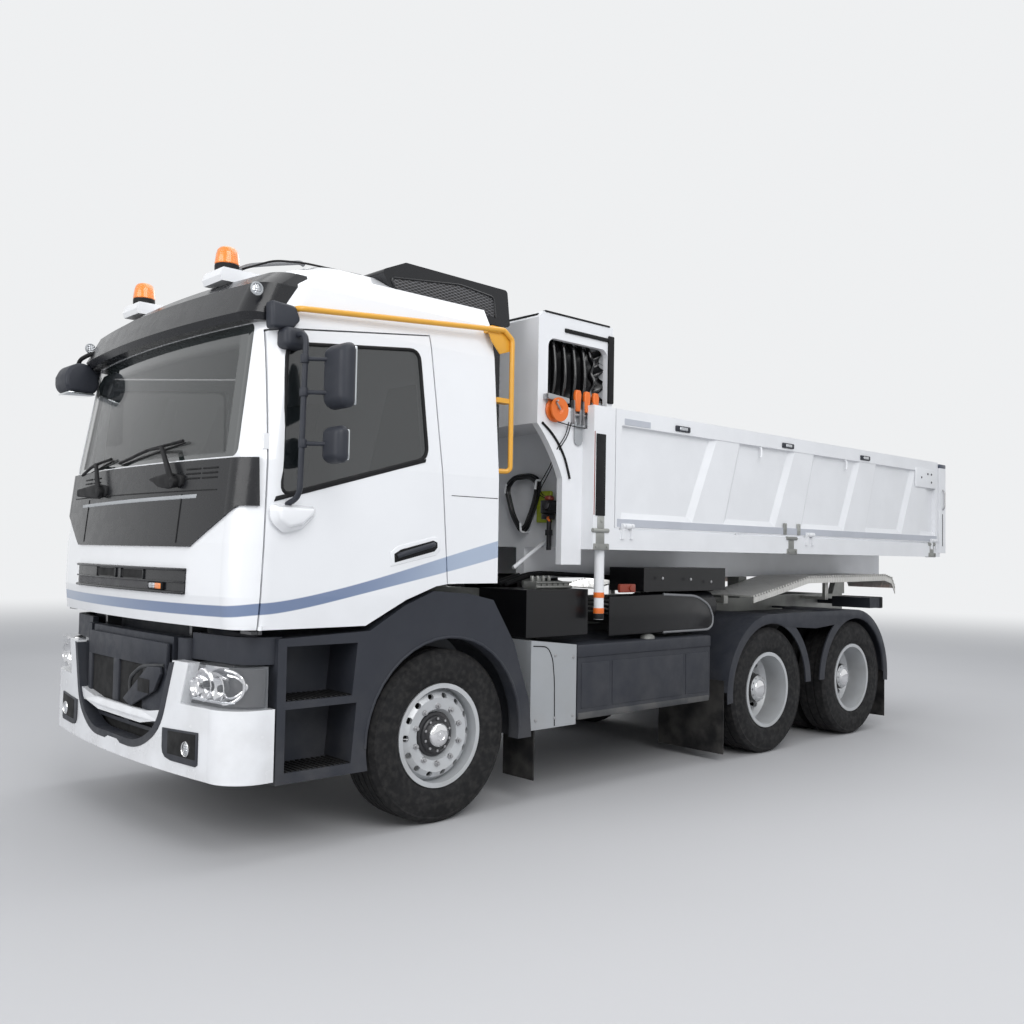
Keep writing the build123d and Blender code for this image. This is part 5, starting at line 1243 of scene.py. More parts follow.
    def tyre(self, name: str, centre: Point, grooves: Sequence[float], driven: bool) -> bpy.types.Object:
        """One tyre with its lugs.

        Args:
            name: name of the object.
            centre: middle of the wheel.
            grooves: places of the grooves round the crown.
            driven: whether it has the rear axles' open shoulders.

        Returns:
            The tyre.
        """
        body = Bench.turned(name, self.tyre_profile(grooves), centre, Axis.ACROSS, self.steps)
        parts = [body]
        deep, count = (0.060, self.rear_lugs) if driven else (0.022, self.front_lugs)
        for side in SIDES:
            lug = self.shoulder_lug("lug", centre, side, deep)
            parts.append(Bench.ring_copies("lugs", lug, count, centre))
        if driven:
            for across, lean, width in self.middle_blocks:
                block = self.tread_block("block", centre, across, lean, width)
                parts.append(Bench.ring_copies("blocks", block, count, centre))
        return Bench.join(name, parts)

    def nut(self, centre: Point, side: int, face: float, circle: float) -> bpy.types.Object:
        """One wheel nut with its washer and stud."""
        x, y, z = centre
        place = (x, y + side * face, z + circle)
        washer = Bench.rod("nut", place, (x, place[1] + side * 0.005, place[2]), 0.0215, 0.001, 18)
        hexagon = Bench.rod("hexagon", place, (x, place[1] + side * 0.026, place[2]), 0.0175, 0.0015, 6)
        stud = Bench.rod("stud", place, (x, place[1] + side * 0.040, place[2]), 0.0095, 0.0015, 12)
        return Bench.join("nut", [washer, hexagon, stud])

    def front_fittings(self, side: int) -> None:
        """Nuts, hub plate and cap of a front wheel."""
        word = SIDE_NAMES[side]
        body = f"wheel_front_{word}"
        centre = (FRONT_AXLE_X, side * self.front_offset, AXLE_Z)
        nuts = Bench.ring_copies("nuts", self.nut(centre, side, 0.084, self.nut_circle), self.nut_count, centre)
        fit(Bench.join(f"front_nuts_{word}", [nuts]), "steel", body)
        hub = Bench.turned(f"front_hub_plate_{word}", sided(side, self.front_hub), centre)
        fit(hub, "hub_black", body)
        x, y, _ = centre
        heads = [(x, y + side * out, AXLE_Z + 0.093) for out in (0.098, 0.108)]
        bolt = Bench.rod("bolt", *heads, 0.0085, 0.0012, 6)
        fit(Bench.ring_copies(f"front_hub_bolts_{word}", bolt, 10, centre), "steel", body)
        cap = Bench.turned(f"front_cap_{word}", sided(side, self.front_cap), centre)
        fit(cap, "chrome", body)
        stem = [(x + reach, y + side * out, AXLE_Z) for reach, out in self.valve_stem]
        valve = Bench.tube(f"front_valve_{word}", stem, 0.0045, 0.01)
        fit(valve, "steel", body)

    def rear_fittings(self, number: int, side: int) -> None:
        """Nuts, hub and cap of a twin wheel."""
        word = SIDE_NAMES[side]
        body = f"wheels_rear_{number}_{word}"
        centre = (DRIVE_AXLES[number - 1], 0.0, AXLE_Z)
        face = self.rear_offsets[0]
        mate = sum(self.rear_offsets) / 2
        nuts = Bench.ring_copies("nuts", self.nut(centre, side, mate + 0.019, self.nut_circle), self.nut_count, centre)
        fit(Bench.join(f"rear_nuts_{number}_{word}", [nuts]), "steel", body)
        profile = [(mate + 0.02, 0.0), (mate + 0.02, 0.139), (mate + 0.06, 0.136)]
        profile += [(face + out, radius) for out, radius in self.rear_hub]
        hub = Bench.turned(f"rear_hub_{number}_{word}", sided(side, profile), centre)
        fit(hub, "hub_black", body)
        bolt = Bench.rod("bolt", *((centre[0], side * (face + out), AXLE_Z + 0.091) for out in (0.042, 0.053)),
                         0.009, 0.0012, 6)
        fit(Bench.ring_copies(f"rear_hub_bolts_{number}_{word}", bolt, 12, centre), "steel", body)
        profile = [(face + out, radius) for out, radius in self.rear_cap]
        cap = Bench.turned(f"rear_cap_{number}_{word}", sided(side, profile), centre)
        fit(cap, "chrome", body)

    def build(self) -> None:
        """Make all ten tyres and the fittings of the six wheels."""
        for side in SIDES:
            word = SIDE_NAMES[side]
            centre = (FRONT_AXLE_X, side * self.front_offset, AXLE_Z)
            tyre = self.tyre(f"front_tyre_{word}", centre, self.front_grooves, False)
            fit(tyre, "tyre", f"wheel_front_{word}", [f"tyre_front_{word}"])
            self.front_fittings(side)
            for number, x in enumerate(DRIVE_AXLES, 1):
                pair = [
                    self.tyre("twin", (x, side * offset, AXLE_Z), self.rear_grooves, True)
                    for offset in self.rear_offsets
                ]
                twin = Bench.join(f"rear_tyres_{number}_{word}", pair)
                fit(twin, "tyre", f"wheels_rear_{number}_{word}", [f"tyres_rear_{number}_{word}"])
                self.rear_fittings(number, side)


@dataclass
class Cab:
    """Trim, wipers, lamps and grilles fixed to the cab shell."""

    body: str = "cab"
    faces: Profile = (
        (1.17, 3.977), (1.33, 3.992), (1.60, 3.985), (2.03, 3.940), (2.77, 3.830), (2.98, 3.725),
        (3.09, 3.595), (3.16, 3.435), (3.20, 3.195),
    )
    widths: Profile = (
        (1.17, 1.236), (1.33, 1.24), (1.60, 1.24), (2.03, 1.236), (2.77, 1.176), (2.98, 1.130), (3.09, 1.07),
        (3.16, 0.96), (3.20, 0.78),
    )
    bow: float = 0.07
    bow_half: float = 1.05
    dome: Profile = (
        (0.0, 0.0), (0.0, 0.050), (0.042, 0.064), (0.048, 0.068), (0.058, 0.0675), (0.105, 0.061), (0.128, 0.054),
        (0.140, 0.042), (0.147, 0.022), (0.150, 0.0),
    )
    dome_foot: Profile = ((-0.03, 0.0), (-0.03, 0.066), (0.034, 0.0675), (0.043, 0.066), (0.048, 0.058), (0.048, 0.0))
    lamp_rim: Profile = ((0.0, 0.030), (0.012, 0.036), (0.016, 0.035), (0.017, 0.028), (0.011, 0.025), (0.0, 0.025))
    lamp_eye: Profile = ((0.0, 0.0), (0.0, 0.026), (0.010, 0.026), (0.016, 0.015), (0.017, 0.0))
    front_mirror_side: Profile = (
        (1.215, 2.640), (1.225, 2.715), (1.275, 2.770), (1.345, 2.785), (1.410, 2.755), (1.440, 2.690),
        (1.440, 2.625), (1.410, 2.585), (1.245, 2.585),
    )
    intake_window: Profile = ((0.30, 3.055), (0.36, 3.155), (-0.16, 3.215), (-0.44, 3.19), (-0.46, 3.065))
    gusset: Profile = (
        (-0.27, 2.945), (-0.40, 2.945), (-0.47, 2.905), (-0.47, 2.830), (-0.38, 2.800), (-0.31, 2.870)
    )
    hose_line: tuple[Point, ...] = (
        (1.06, 0.57, 3.150), (1.00, 0.58, 3.185), (0.90, 0.66, 3.200), (0.80, 0.80, 3.200), (0.79, 0.82, 3.185)
    )
    wipers: tuple[Profile, ...] = (
        ((0.60, 1.925), (0.425, 2.12), (-0.184, 2.066)), ((-0.384, 1.900), (-0.505, 2.071), (-0.90, 2.03))
    )

    @staticmethod
    def between(rows: Sequence[tuple[float, float]], height: float) -> float:
        """Value of a table at a height, by straight lines."""
        for (z0, v0), (z1, v1) in zip(rows, rows[1:]):
            if height <= z1:
                return v0 + (v1 - v0) * max(0.0, height - z0) / (z1 - z0)
        return rows[-1][1]

    def front(self, across: float, height: float, proud: float = 0.0) -> Point:
        """Point on the bowed front of the cab.

        Args:
            across: its place across.
            height: its height.
            proud: how far in front of the skin.

        Returns:
            The point.
        """
        drop = self.bow * (across / self.bow_half) ** 2
        return (self.between(self.faces, height) - drop + proud, across, height)

    def flank(self, along: float, height: float, side: int, proud: float = 0.0) -> Point:
        """Point on the cab's side skin."""
        return (along, side * (self.between(self.widths, height) + proud), height)

    def sheet_strip(
        self, name: str, rows: Sequence[tuple[Point, Point]], thick: Point, width: float = 0.0
    ) -> bpy.types.Object:
        """Curved strip through pairs of points, given a thickness.

        Args:
            name: name of the object.
            rows: lower and upper point of each station.
            thick: vector of its thickness.
            width: rounding of its edges.

        Returns:
            The strip.
        """
        Bench.clear()
        bpy.ops.mesh.primitive_grid_add(x_subdivisions=len(rows) - 1, y_subdivisions=1, size=1.0)
        piece = Bench.named(name)
        corners = sorted(piece.data.vertices, key=lambda v: (round(v.co.x, 4), v.co.y))
        for vertex, place in zip(corners, [point for row in rows for point in row]):
            vertex.co = place
        return Bench.push(piece, thick, width)

    def wiper(
        self, number: int, pivot: tuple[float, float], top: tuple[float, float], tip: tuple[float, float]
    ) -> None:
        """One parked wiper: its housing, arm and blade.

        Args:
            number: 1 on the left, 2 in the middle.
            pivot: place across and height of the pivot.
            top: where the arm meets the blade.
            tip: the blade's far end.
        """
        px, py, pz = self.front(*pivot, 0.03)
        housing = Bench.slab(
            "housing",
            [(px, py + 0.06, pz - 0.02), (px, py + 0.06, pz + 0.035), (px, py - 0.10, pz + 0.055),
             (px, py - 0.42, pz + 0.030), (px, py - 0.42, pz - 0.015), (px, py - 0.10, pz - 0.035)],
            (-0.05, 0.0, 0.0), 0.01, 3,
        )
        cap = Bench.rod("cap", (px - 0.01, py, pz), (px + 0.028, py, pz), 0.030, 0.006)
        ax, ay, az = self.front(*top, 0.045)
        arm = Bench.slab(
            "arm",
            [(px + 0.015, py - 0.028, pz - 0.01), (px + 0.015, py + 0.028, pz), (ax, ay + 0.020, az + 0.012),
             (ax, ay - 0.020, az + 0.012)],
            (0.014, 0.0, 0.0), 0.005, 2,
        )
        bx, by, bz = self.front(*tip, 0.016)
        sx, sy, sz = self.front(top[0] + 0.16, top[1] + 0.03, 0.016)
        mid = ((bx + sx) / 2 + 0.018, (by + sy) / 2, (bz + sz) / 2 + 0.012)
        blade = Bench.tube("blade", [(sx, sy, sz), mid, (bx, by, bz)], 0.009, 0.1, 2)
        rubber = Bench.tube("rubber", [(sx - 0.012, sy, sz - 0.01), (bx - 0.012, by, bz - 0.01)], 0.005, 0, 2)
        carrier = Bench.tube("carrier", [(ax, ay, az), mid], 0.008, 0, 2)
        fit(Bench.join(f"wiper_{number}", [housing, cap, arm, blade, rubber, carrier]), "rubber", self.body)

    def beacons(self) -> None:
        """Amber domes on their black feet, on the white roof pods."""
        low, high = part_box("beacons")
        across = high.y - 0.068
        domes, feet = [], []
        for side in SIDES:
            centre = ((low.x + high.x) / 2, side * across, low.z)
            domes.append(Bench.turned("dome", self.dome, centre, Axis.UP, 40))
            feet.append(Bench.turned("foot", self.dome_foot, centre, Axis.UP, 40))
        fit(Bench.join("beacon_domes", domes), "lamp_amber", self.body, ["beacons"])
        fit(Bench.join("beacon_feet", feet), "rubber", self.body)

    def side_trim(self, side: int) -> None:
        """Marker housing and small visor lamp on one side."""
        word = SIDE_NAMES[side]
        y = self.between(self.widths, 2.78)
        outline = spots(side, (
            (1.203, y - 0.035, 2.845), (1.060, y - 0.035, 2.835), (1.030, y - 0.03, 2.765), (1.075, y - 0.03, 2.712),
            (1.200, y - 0.03, 2.702),
        ))
        fit(Bench.slab(f"marker_{word}", outline, (0.0, side * 0.075, 0.0), 0.018, 4), "dark_plastic", self.body)
        place = (ahead(1.245), side * 1.118, 2.905)
        rim = Bench.turned(f"visor_lamp_rim_{word}", sided(side, self.lamp_rim), place, Axis.ACROSS, 32)
        fit(rim, "silver_grey", self.body)
        lamp = Bench.turned(f"visor_lamp_{word}", sided(side, self.lamp_eye), place, Axis.ACROSS, 32)
        fit(lamp, "lamp_clear", self.body)

    def mask_details(self) -> None:
        """Bright strip, seams and vents on the black front."""
        self.bowed("bright_strip", (-0.78, 0.80), (1.812, 1.834), (0.0, 0.018), "silver_grey", rise=0.014, width=0.004)
        self.bowed("cowl_seam", (-0.98, 0.98), (1.872, 1.878), (0.0, 0.0175), "rubber")
        for side in SIDES:
            edges = (side * 0.650, side * 0.657)
            rows = [tuple(self.front(y, z, 0.002) for y in edges) for z in (1.60, 1.72, 1.86)]
            fit(self.sheet_strip(f"mask_seam_{SIDE_NAMES[side]}", rows, (0.0155, 0.0, 0.0)), "rubber", self.body)
        slots = [
            self.strip("slot", (y - 0.07, y + 0.07), (z, z + 0.010), (0.0, 0.019), width=0.003)
            for y in (-0.72, -0.55, 0.74, 0.90) for z in (1.935, 1.960, 1.985)
        ]
        fit(Bench.join("cowl_slots", slots), "rubber", self.body)

    def strip(
        self,
        name: str,
        span: tuple[float, float],
        heights: tuple[float, float],
        depth: tuple[float, float],
        rise: float = 0.0,
        width: float = 0.0,
    ) -> bpy.types.Object:
        """Bar that follows the front's bow.

        Args:
            name: name of the object.
            span: its two ends across.
            heights: its lower and upper edge.
            depth: how far its back and its face are in front of the skin.
            rise: how much higher it gets for each metre across.
            width: rounding of its edges.

        Returns:
            The bar.
        """
        count = max(2, round((span[1] - span[0]) / 0.12))
        stations = [span[0] + (span[1] - span[0]) * i / count for i in range(count + 1)]
        rows = [tuple(self.front(y, z + rise * (y - span[0]), depth[0]) for z in heights) for y in stations]
        return self.sheet_strip(name, rows, (depth[1] - depth[0], 0.0, 0.0), width)

    def bowed(
        self,
        name: str,
        span: tuple[float, float],
        heights: tuple[float, float],
        depth: tuple[float, float],
        finish: str,
        rise: float = 0.0,
        width: float = 0.0,
    ) -> None:
        """Bar that follows the front's bow, finished and hung on the cab."""
        fit(self.strip(name, span, heights, depth, rise, width), finish, self.body)

    def front_mirror(self) -> None:
        """Mirror over the windscreen's right corner, with its arm."""
        arm = Bench.tube(
            "front_mirror_arm",
            [(3.74, -0.92, 2.86), (3.84, -0.99, 2.85), (3.885, -1.09, 2.81), (3.885, -1.12, 2.74)],
            0.014, 0.05,
        )
        fit(arm, "rubber", self.body)
        outline = [(ahead(x), -1.225, z) for x, z in self.front_mirror_side]
        fit(Bench.slab("front_mirror", outline, (0.0, 0.215, 0.0), 0.028, 5), "dark_plastic", self.body)
        face = Bench.block("front_mirror_glass", (ahead(1.245), -1.215, 2.574), (ahead(1.415), -1.02, 2.587), 0.004, 2)
        fit(face, "mirror_glass", self.body)

    def upper_grille(self) -> None:
        """Surround, slots, mesh and small lamp of the upper grille."""
        ends, lip, deep = (-0.75, 0.75), (0.0, 0.0225), (0.0, 0.010)
        frame_parts = [
            self.strip("back", ends, (1.331, 1.466), (-0.004, 0.007)),
            self.strip("top", ends, (1.452, 1.467), lip, width=0.005),
            self.strip("foot", ends, (1.330, 1.345), lip, width=0.005),
        ]
        fit(Bench.join("upper_grille_frame", frame_parts), "gloss_black", self.body, ["upper_grille"])
        self.bowed("grille_middle_bar", ends, (1.388, 1.398), (0.0, 0.0185), "gloss_black", width=0.003)
        for number, (start, end) in enumerate(((-0.36, -0.07), (0.02, 0.30)), 1):
            # The slots are painted shade: near-black strips standing for the shade in the grille's openings.
            self.bowed(f"grille_slot_{number}", (start, end), (1.402, 1.448), deep, "hollow_shade_black")
            for place, edge in (("outer", start - 0.012), ("inner", end)):
                self.bowed(f"grille_{place}_{number}", (edge, edge + 0.012), (1.398, 1.452), (0.0, 0.0155),
                           "gloss_black", width=0.003)
        self.bowed("grille_mesh", (-0.71, 0.37), (1.349, 1.386), (0.0, 0.0115), "mesh_black")
        x = self.front(0.46, 1.36, 0.0045)[0]
        shell = Bench.block("grille_lamp_shell", (x - 0.01, 0.375, 1.346), (x + 0.012, 0.545, 1.388), 0.006)
        fit(shell, "rubber", self.body)
        for word, start in (("clear", 0.385), ("amber", 0.462)):
            low, high = (x + 0.004, start, 1.351), (x + 0.016, start + 0.072, 1.383)
            fit(Bench.block(f"grille_lamp_{word}", low, high, 0.006, 3), f"lamp_{word}", self.body)

    def intake_trim(self) -> None:
        """Mesh window and bands on the roof intake."""
        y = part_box("roof_intake")[1].y
        outline = [(ahead(x), y - 0.004, z) for x, z in self.intake_window]
        fit(Bench.slab("intake_mesh", outline, (0.0, 0.007, 0.0), 0.002, 2), "mesh_black", self.body)
        frame_line = [(x, y + 0.002, z) for x, _, z in outline]
        fit(Bench.tube("intake_mesh_frame", frame_line, 0.007, 0.03, 2, closed=False), "gloss_black", self.body)

    def roof_line(self) -> None:
        """Grey hose from the left pod, and the cables that run back along the roof."""
        hose = Bench.tube("beacon_hose", spots(1, self.hose_line), 0.013, 0.06, 4)
        fit(hose, "cable_grey", self.body)
        for side, end in ((1, 0.42), (-1, -0.20)):
            line = spots(side, (
                (1.05, 0.60, 3.150), (0.95, 0.78, 3.185), (0.80, 0.84, 3.190), (0.30 + end * 0.3, 0.86, 3.190),
                (end, 0.84, 3.190),
            ))
            fit(Bench.tube(f"beacon_cable_{SIDE_NAMES[side]}", line, 0.006, 0.05), "rubber", self.body)

    def build(self) -> None:
        """Make all the trim of the cab shell."""
        for number, places in enumerate(self.wipers, 1):
            self.wiper(number, *places)
        self.beacons()
        for side in SIDES:
            self.side_trim(side)
        self.mask_details()
        self.front_mirror()
        self.upper_grille()
        self.intake_trim()
        self.roof_line()
        outline = [(ahead(x), 1.192, z) for x, z in self.gusset]
        gusset = Bench.slab("rail_gusset", outline, (0.0, 0.010, 0.0), 0.003)
        fit(gusset, "rail_yellow", self.body)
        for side in SIDES:
            rows = [
                tuple(self.flank(ahead(x), z, side, -0.002) for z in (1.903, 1.907)) for x in (-0.350, 0.015)
            ]
            strip = self.sheet_strip(f"rear_panel_seam_{SIDE_NAMES[side]}", rows, (0.0, side * 0.003, 0.0))
            fit(strip, "rubber", self.body)


@dataclass
class Mirrors:
    """Rounded mirror heads with their glasses, on bent arms."""

    arm: tuple[Point, ...] = ((1.075, 1.10, 2.675), (1.075, 1.34, 2.675), (1.090, 1.34, 1.840), (1.110, 1.10, 1.76))
    heads: tuple[tuple[float, ...], ...] = (
        (0.905, 1.000, 1.365, 1.565, 2.285, 2.625), (0.915, 1.000, 1.370, 1.530, 2.010, 2.205)
    )
    clamps: tuple[float, ...] = (2.54, 2.37, 2.11)

    def build(self) -> None:
        """Make both sets."""
        for side in SIDES:
            word = SIDE_NAMES[side]
            body = body_of(frame["nodes"][f"mirror_{word}"])[0]
            parts = [Bench.tube("arm", spots(side, self.arm), 0.015, 0.06, 4)]
            glasses = []
            for x0, x1, y0, y1, z0, z1 in self.heads:
                shell = Bench.block("head", (ahead(x0), side * y0, z0), (ahead(x1), side * y1, z1), 0.042, 6)
                middle = (z0 + z1) / 2
                for vertex in shell.data.vertices:
                    share = (vertex.co.x - ahead(x0)) / (x1 - x0)
                    vertex.co.z = middle + (vertex.co.z - middle) * (1 - 0.16 * share * share)
                parts.append(shell)
                face = spots(side, ((x0 - 0.003, y0 + 0.018, z0 + 0.02), (x0 + 0.012, y1 - 0.018, z1 - 0.02)))
                glasses.append(Bench.block("glass", *face, 0.005))
            for z in self.clamps:
                clamp = spots(side, ((1.08, 1.34, z), (0.985, 1.42, z)))
                parts.append(Bench.rod("clamp", *clamp, 0.011, 0.002, 14))
                collar = spots(side, ((1.081, 1.34, z - 0.022), (1.081, 1.34, z + 0.022)))
                parts.append(Bench.rod("collar", *collar, 0.022, 0.004, 20))
            fit(Bench.join(f"mirror_heads_{word}", parts), "dark_plastic", body, [f"mirror_{word}"])
            fit(Bench.join(f"mirror_glasses_{word}", glasses), "mirror_glass", body)
            bracket = spots(side, ((1.015, 1.150, 2.605), (1.145, 1.262, 2.715)))
            fit(Bench.block(f"mirror_bracket_{word}", *bracket, 0.032, 5), "dark_plastic", body)


@dataclass
class Doors:
    """Handles, window seals and mirror feet of the two doors."""

    cab: Cab = field(default_factory=Cab)
    window: Profile = ((1.135, 1.845), (0.190, 2.110), (0.230, 2.735), (1.090, 2.640))
    mirror_foot: Profile = (
        (1.215, 1.800), (0.935, 1.800), (0.955, 1.745), (1.03, 1.680), (1.13, 1.655), (1.20, 1.71)
    )
    grip: tuple[Point, ...] = (
        (0.40, 1.548, 0.004), (0.375, 1.560, 0.020), (0.175, 1.612, 0.020), (0.145, 1.618, 0.004)
    )
    handle_plates: tuple[tuple[str, str, float, float, int, Profile], ...] = (
        ("handle_surround", "cab_white", -0.004, 0.006, 3, (
            (0.445, 1.490), (0.450, 1.572), (0.395, 1.606), (0.140, 1.664), (0.098, 1.650), (0.095, 1.585),
            (0.130, 1.555))),
        ("handle_recess", "rubber", -0.002, 0.002, 2, (
            (0.420, 1.512), (0.424, 1.560), (0.380, 1.585), (0.150, 1.640), (0.120, 1.630), (0.118, 1.600),
            (0.140, 1.578))),
    )
    trim: tuple[str, str, float, float, int, Profile] = (
        "door_trim", "rubber", -0.003, 0.002, 2, ((1.175, 1.815), (0.21, 2.085), (0.205, 2.105), (1.165, 1.842))
    )

    def plate(
        self, side: int, name: str, finish: str, proud: float, width: float, steps: int, outline: Profile
    ) -> None:
        """Thin plate that follows the door's skin.

        Args:
            side: 1 for the left door, -1 for the right.
            name: name of the plate, without its side.
            finish: name of its finish.
            proud: how far its back stands off the skin.
            width: rounding of its edges.
            steps: faces across each edge.
            outline: its (metres ahead, height) corners.
        """
        edge = [self.cab.flank(ahead(x), z, side, proud) for x, z in outline]
        word = SIDE_NAMES[side]
        piece = Bench.slab(f"{name}_{word}", edge, (0.0, side * 0.008, 0.0), width, steps)
        fit(piece, finish, f"door_{word}")

    def build(self) -> None:
        """Dress both doors."""
        for side in SIDES:
            word = SIDE_NAMES[side]
            body = f"door_{word}"
            ring = [self.cab.flank(ahead(x), z, side, -0.004) for x, z in self.window]
            ring.append(ring[0])
            middle = [(Vector(a) + Vector(b)) / 2 for a, b in zip(ring, ring[1:])]
            line = [tuple(middle[0]), ring[1], tuple(middle[1]), ring[2], tuple(middle[2]), ring[3],
                    tuple(middle[3]), ring[0], tuple(middle[0])]
            fit(Bench.tube(f"window_seal_{word}", line, 0.011, 0.07, 3), "rubber", body)
            for row in self.handle_plates:
                self.plate(side, *row)
            line = [self.cab.flank(ahead(x), z, side, proud) for x, z, proud in self.grip]
            grip = Bench.tube(f"handle_grip_{word}", line, 0.014, 0.03, 4)
            fit(grip, "dark_plastic", body)
            edge = [self.cab.flank(ahead(x), z, side, -0.006) for x, z in self.mirror_foot]
            foot = Bench.slab(f"mirror_foot_{word}", edge, (0.0, side * 0.085, 0.0), 0.028, 5)
            for vertex in foot.data.vertices:
                if abs(vertex.co.y) > 1.27:
                    vertex.co.z = 1.76 + (vertex.co.z - 1.76) * 0.75
                    vertex.co.x = ahead(1.10) + (vertex.co.x - ahead(1.10)) * 0.8
            fit(foot, "cab_white", body)
            self.plate(side, *self.trim)


@dataclass
class FrontEnd:
    """Lamps, grille bars, mouth lining and folding step of the bumper."""

    body: str = "chassis"
    front: float = 4.015
    bow: float = 0.07
    half: float = 1.225
    corner: float = 0.19
    mouth_edge: Profile = (
        (-0.685, 0.975), (-0.560, 0.610), (-0.330, 0.490), (0.330, 0.490), (0.560, 0.610), (0.685, 0.975)
    )
    mouth_middle: float = 0.86
    lamp_span: tuple[float, float] = (0.80, 1.21)
    bowls: tuple[Point, ...] = ((0.925, 0.880, 0.082), (1.055, 0.870, 0.062), (0.850, 0.862, 0.045))
    eye: Profile = ((0.02, 0.0), (0.02, 0.020), (0.040, 0.021), (0.050, 0.016), (0.054, 0.008), (0.055, 0.0))
    fog_place: tuple[float, float] = (0.850, 0.548)
    fog_ring: Profile = ((-0.02, 0.033), (-0.02, 0.040), (0.005, 0.040), (0.009, 0.037), (0.005, 0.033))
    fog_lens: Profile = ((-0.02, 0.0), (-0.02, 0.0325), (0.003, 0.0325), (0.009, 0.018), (0.011, 0.0))
    fog_plates: tuple[tuple[str, str, float, float, float, Profile], ...] = (
        ("surround", "dark_plastic", -0.006, 0.468, 0.628, (
            (0.610, 0.065), (0.620, 0.030), (0.645, 0.010), (0.70, 0.0), (0.82, 0.0), (0.93, 0.0), (0.948, 0.012))),
        # The well is painted shade: a near-black plate standing for the shaded recess round the lamp.
        ("well", "hollow_shade_black", -0.0085, 0.502, 0.618, ((0.672, 0.0), (0.74, 0.0), (0.82, 0.0), (0.932, 0.0))),
    )
    grille_bars: tuple[tuple[float, float, float, float], ...] = (
        (-0.549, 0.549, 0.920, 1.060), (-0.549, 0.549, 0.615, 0.660), (-0.549, -0.500, 0.65, 0.93),
        (-0.165, -0.085, 0.65, 0.93), (0.250, 0.549, 0.65, 0.93),
    )
    step_plate: Profile = ((0.53, 0.935), (0.38, 0.925), (0.06, 0.715), (0.16, 0.685), (0.47, 0.800), (0.545, 0.895))
    step_bow: tuple[Point, ...] = (
        (0.02, 0.53, 0.94), (0.045, 0.30, 0.92), (0.045, 0.14, 0.84), (0.02, 0.10, 0.72)
    )

    def plan(self, across: float, inset: float) -> float:
        """Place along of the bumper's face at a place across.

        Args:
            across: place across.
            inset: distance behind the face.

        Returns:
            The place along.
        """
        reach = self.half - self.corner
        drop = self.bow * min(1.0, abs(across) / reach) ** 2
        beyond = max(0.0, abs(across) - reach)
        radius = self.corner
        turn = radius - math.sqrt(max(0.0, radius**2 - min(beyond, radius * 0.995) ** 2))
        return self.front - inset - drop - turn

    def headlamp(self, side: int) -> None:
        """Reflector, two lamps, running light and indicator of one headlamp."""
        word = SIDE_NAMES[side]
        start, end = self.lamp_span
        stations = [start + (end - start) * i / 14 for i in range(15)]
        cab = Cab()
        rows = [
            ((self.plan(y, 0.075), side * y, 0.785), (self.plan(y, 0.085), side * y, 0.972)) for y in stations
        ]
        for name, part, finish in (("inner", rows[:10], "chrome"), ("outer", rows[9:], "hub_black")):
            fit(cab.sheet_strip(f"headlamp_{name}_{word}", part, (-0.012, 0.0, 0.0)), finish, self.body)
        bowls = []
        for across, height, radius in self.bowls:
            rows = (
                (0.0, 0.0), (0.008, radius * 0.35), (0.025, radius * 0.75), (0.052, radius), (0.056, radius * 1.02),
                (0.052, radius * 1.06), (0.020, radius * 0.86), (-0.006, radius * 0.4), (-0.01, 0.0),
            )
            place = (self.plan(across, 0.085), side * across, height)
            bowls.append(Bench.turned("bowl", rows, place, Axis.ALONG, 40))
        fit(Bench.join(f"headlamp_bowls_{word}", bowls), "chrome", self.body)
        eyes = [
            Bench.turned("eye", self.eye, (self.plan(across, 0.085), side * across, height), Axis.ALONG, 28)
            for across, height, _ in self.bowls[:2]
        ]
        fit(Bench.join(f"headlamp_eyes_{word}", eyes), "gloss_black", self.body)
        rows = [
            ((self.plan(y, 0.030), side * y, 0.795 + 0.02 * (y - start)), (self.plan(y, 0.032), side * y, 0.812))
            for y in stations[1:-2]
        ]
        fit(cab.sheet_strip(f"running_light_{word}", rows, (-0.010, 0.0, 0.0), 0.003), "lamp_clear", self.body)
        loops = []
        for inset, low, high in ((0.046, 0.796, 0.966), (0.060, 0.822, 0.940)):
            path = (
                (1.080, low), (1.140, low + 0.012), (1.178, low + 0.055), (1.180, high - 0.05),
                (1.145, high - 0.008), (1.090, high),
            )
            line = [(self.plan(y, inset), side * y, z) for y, z in path]
            loops.append(Bench.tube("loop", line, 0.008, 0.04, 3))
        fit(Bench.join(f"headlamp_loops_{word}", loops), "chrome", self.body)

    def fog_lamp(self, side: int) -> None:
        """Round fog lamp in its black surround."""
        word = SIDE_NAMES[side]
        cab = Cab()
        for name, finish, inset, low, high, stations in self.fog_plates:
            rows = [
                ((self.plan(y, inset), side * y, low + cut), (self.plan(y, inset), side * y, high + 0.04 * (y - 0.61)))
                for y, cut in stations
            ]
            fit(cab.sheet_strip(f"fog_{name}_{word}", rows, (-0.018, 0.0, 0.0), 0.0025), finish, self.body)
        across, height = self.fog_place
        place = (self.plan(across, -0.006), side * across, height)
        for name, finish, profile in (("ring", "chrome", self.fog_ring), ("lens", "lamp_clear", self.fog_lens)):
            fit(Bench.turned(f"fog_{name}_{word}", profile, place, Axis.ALONG, 36), finish, self.body)

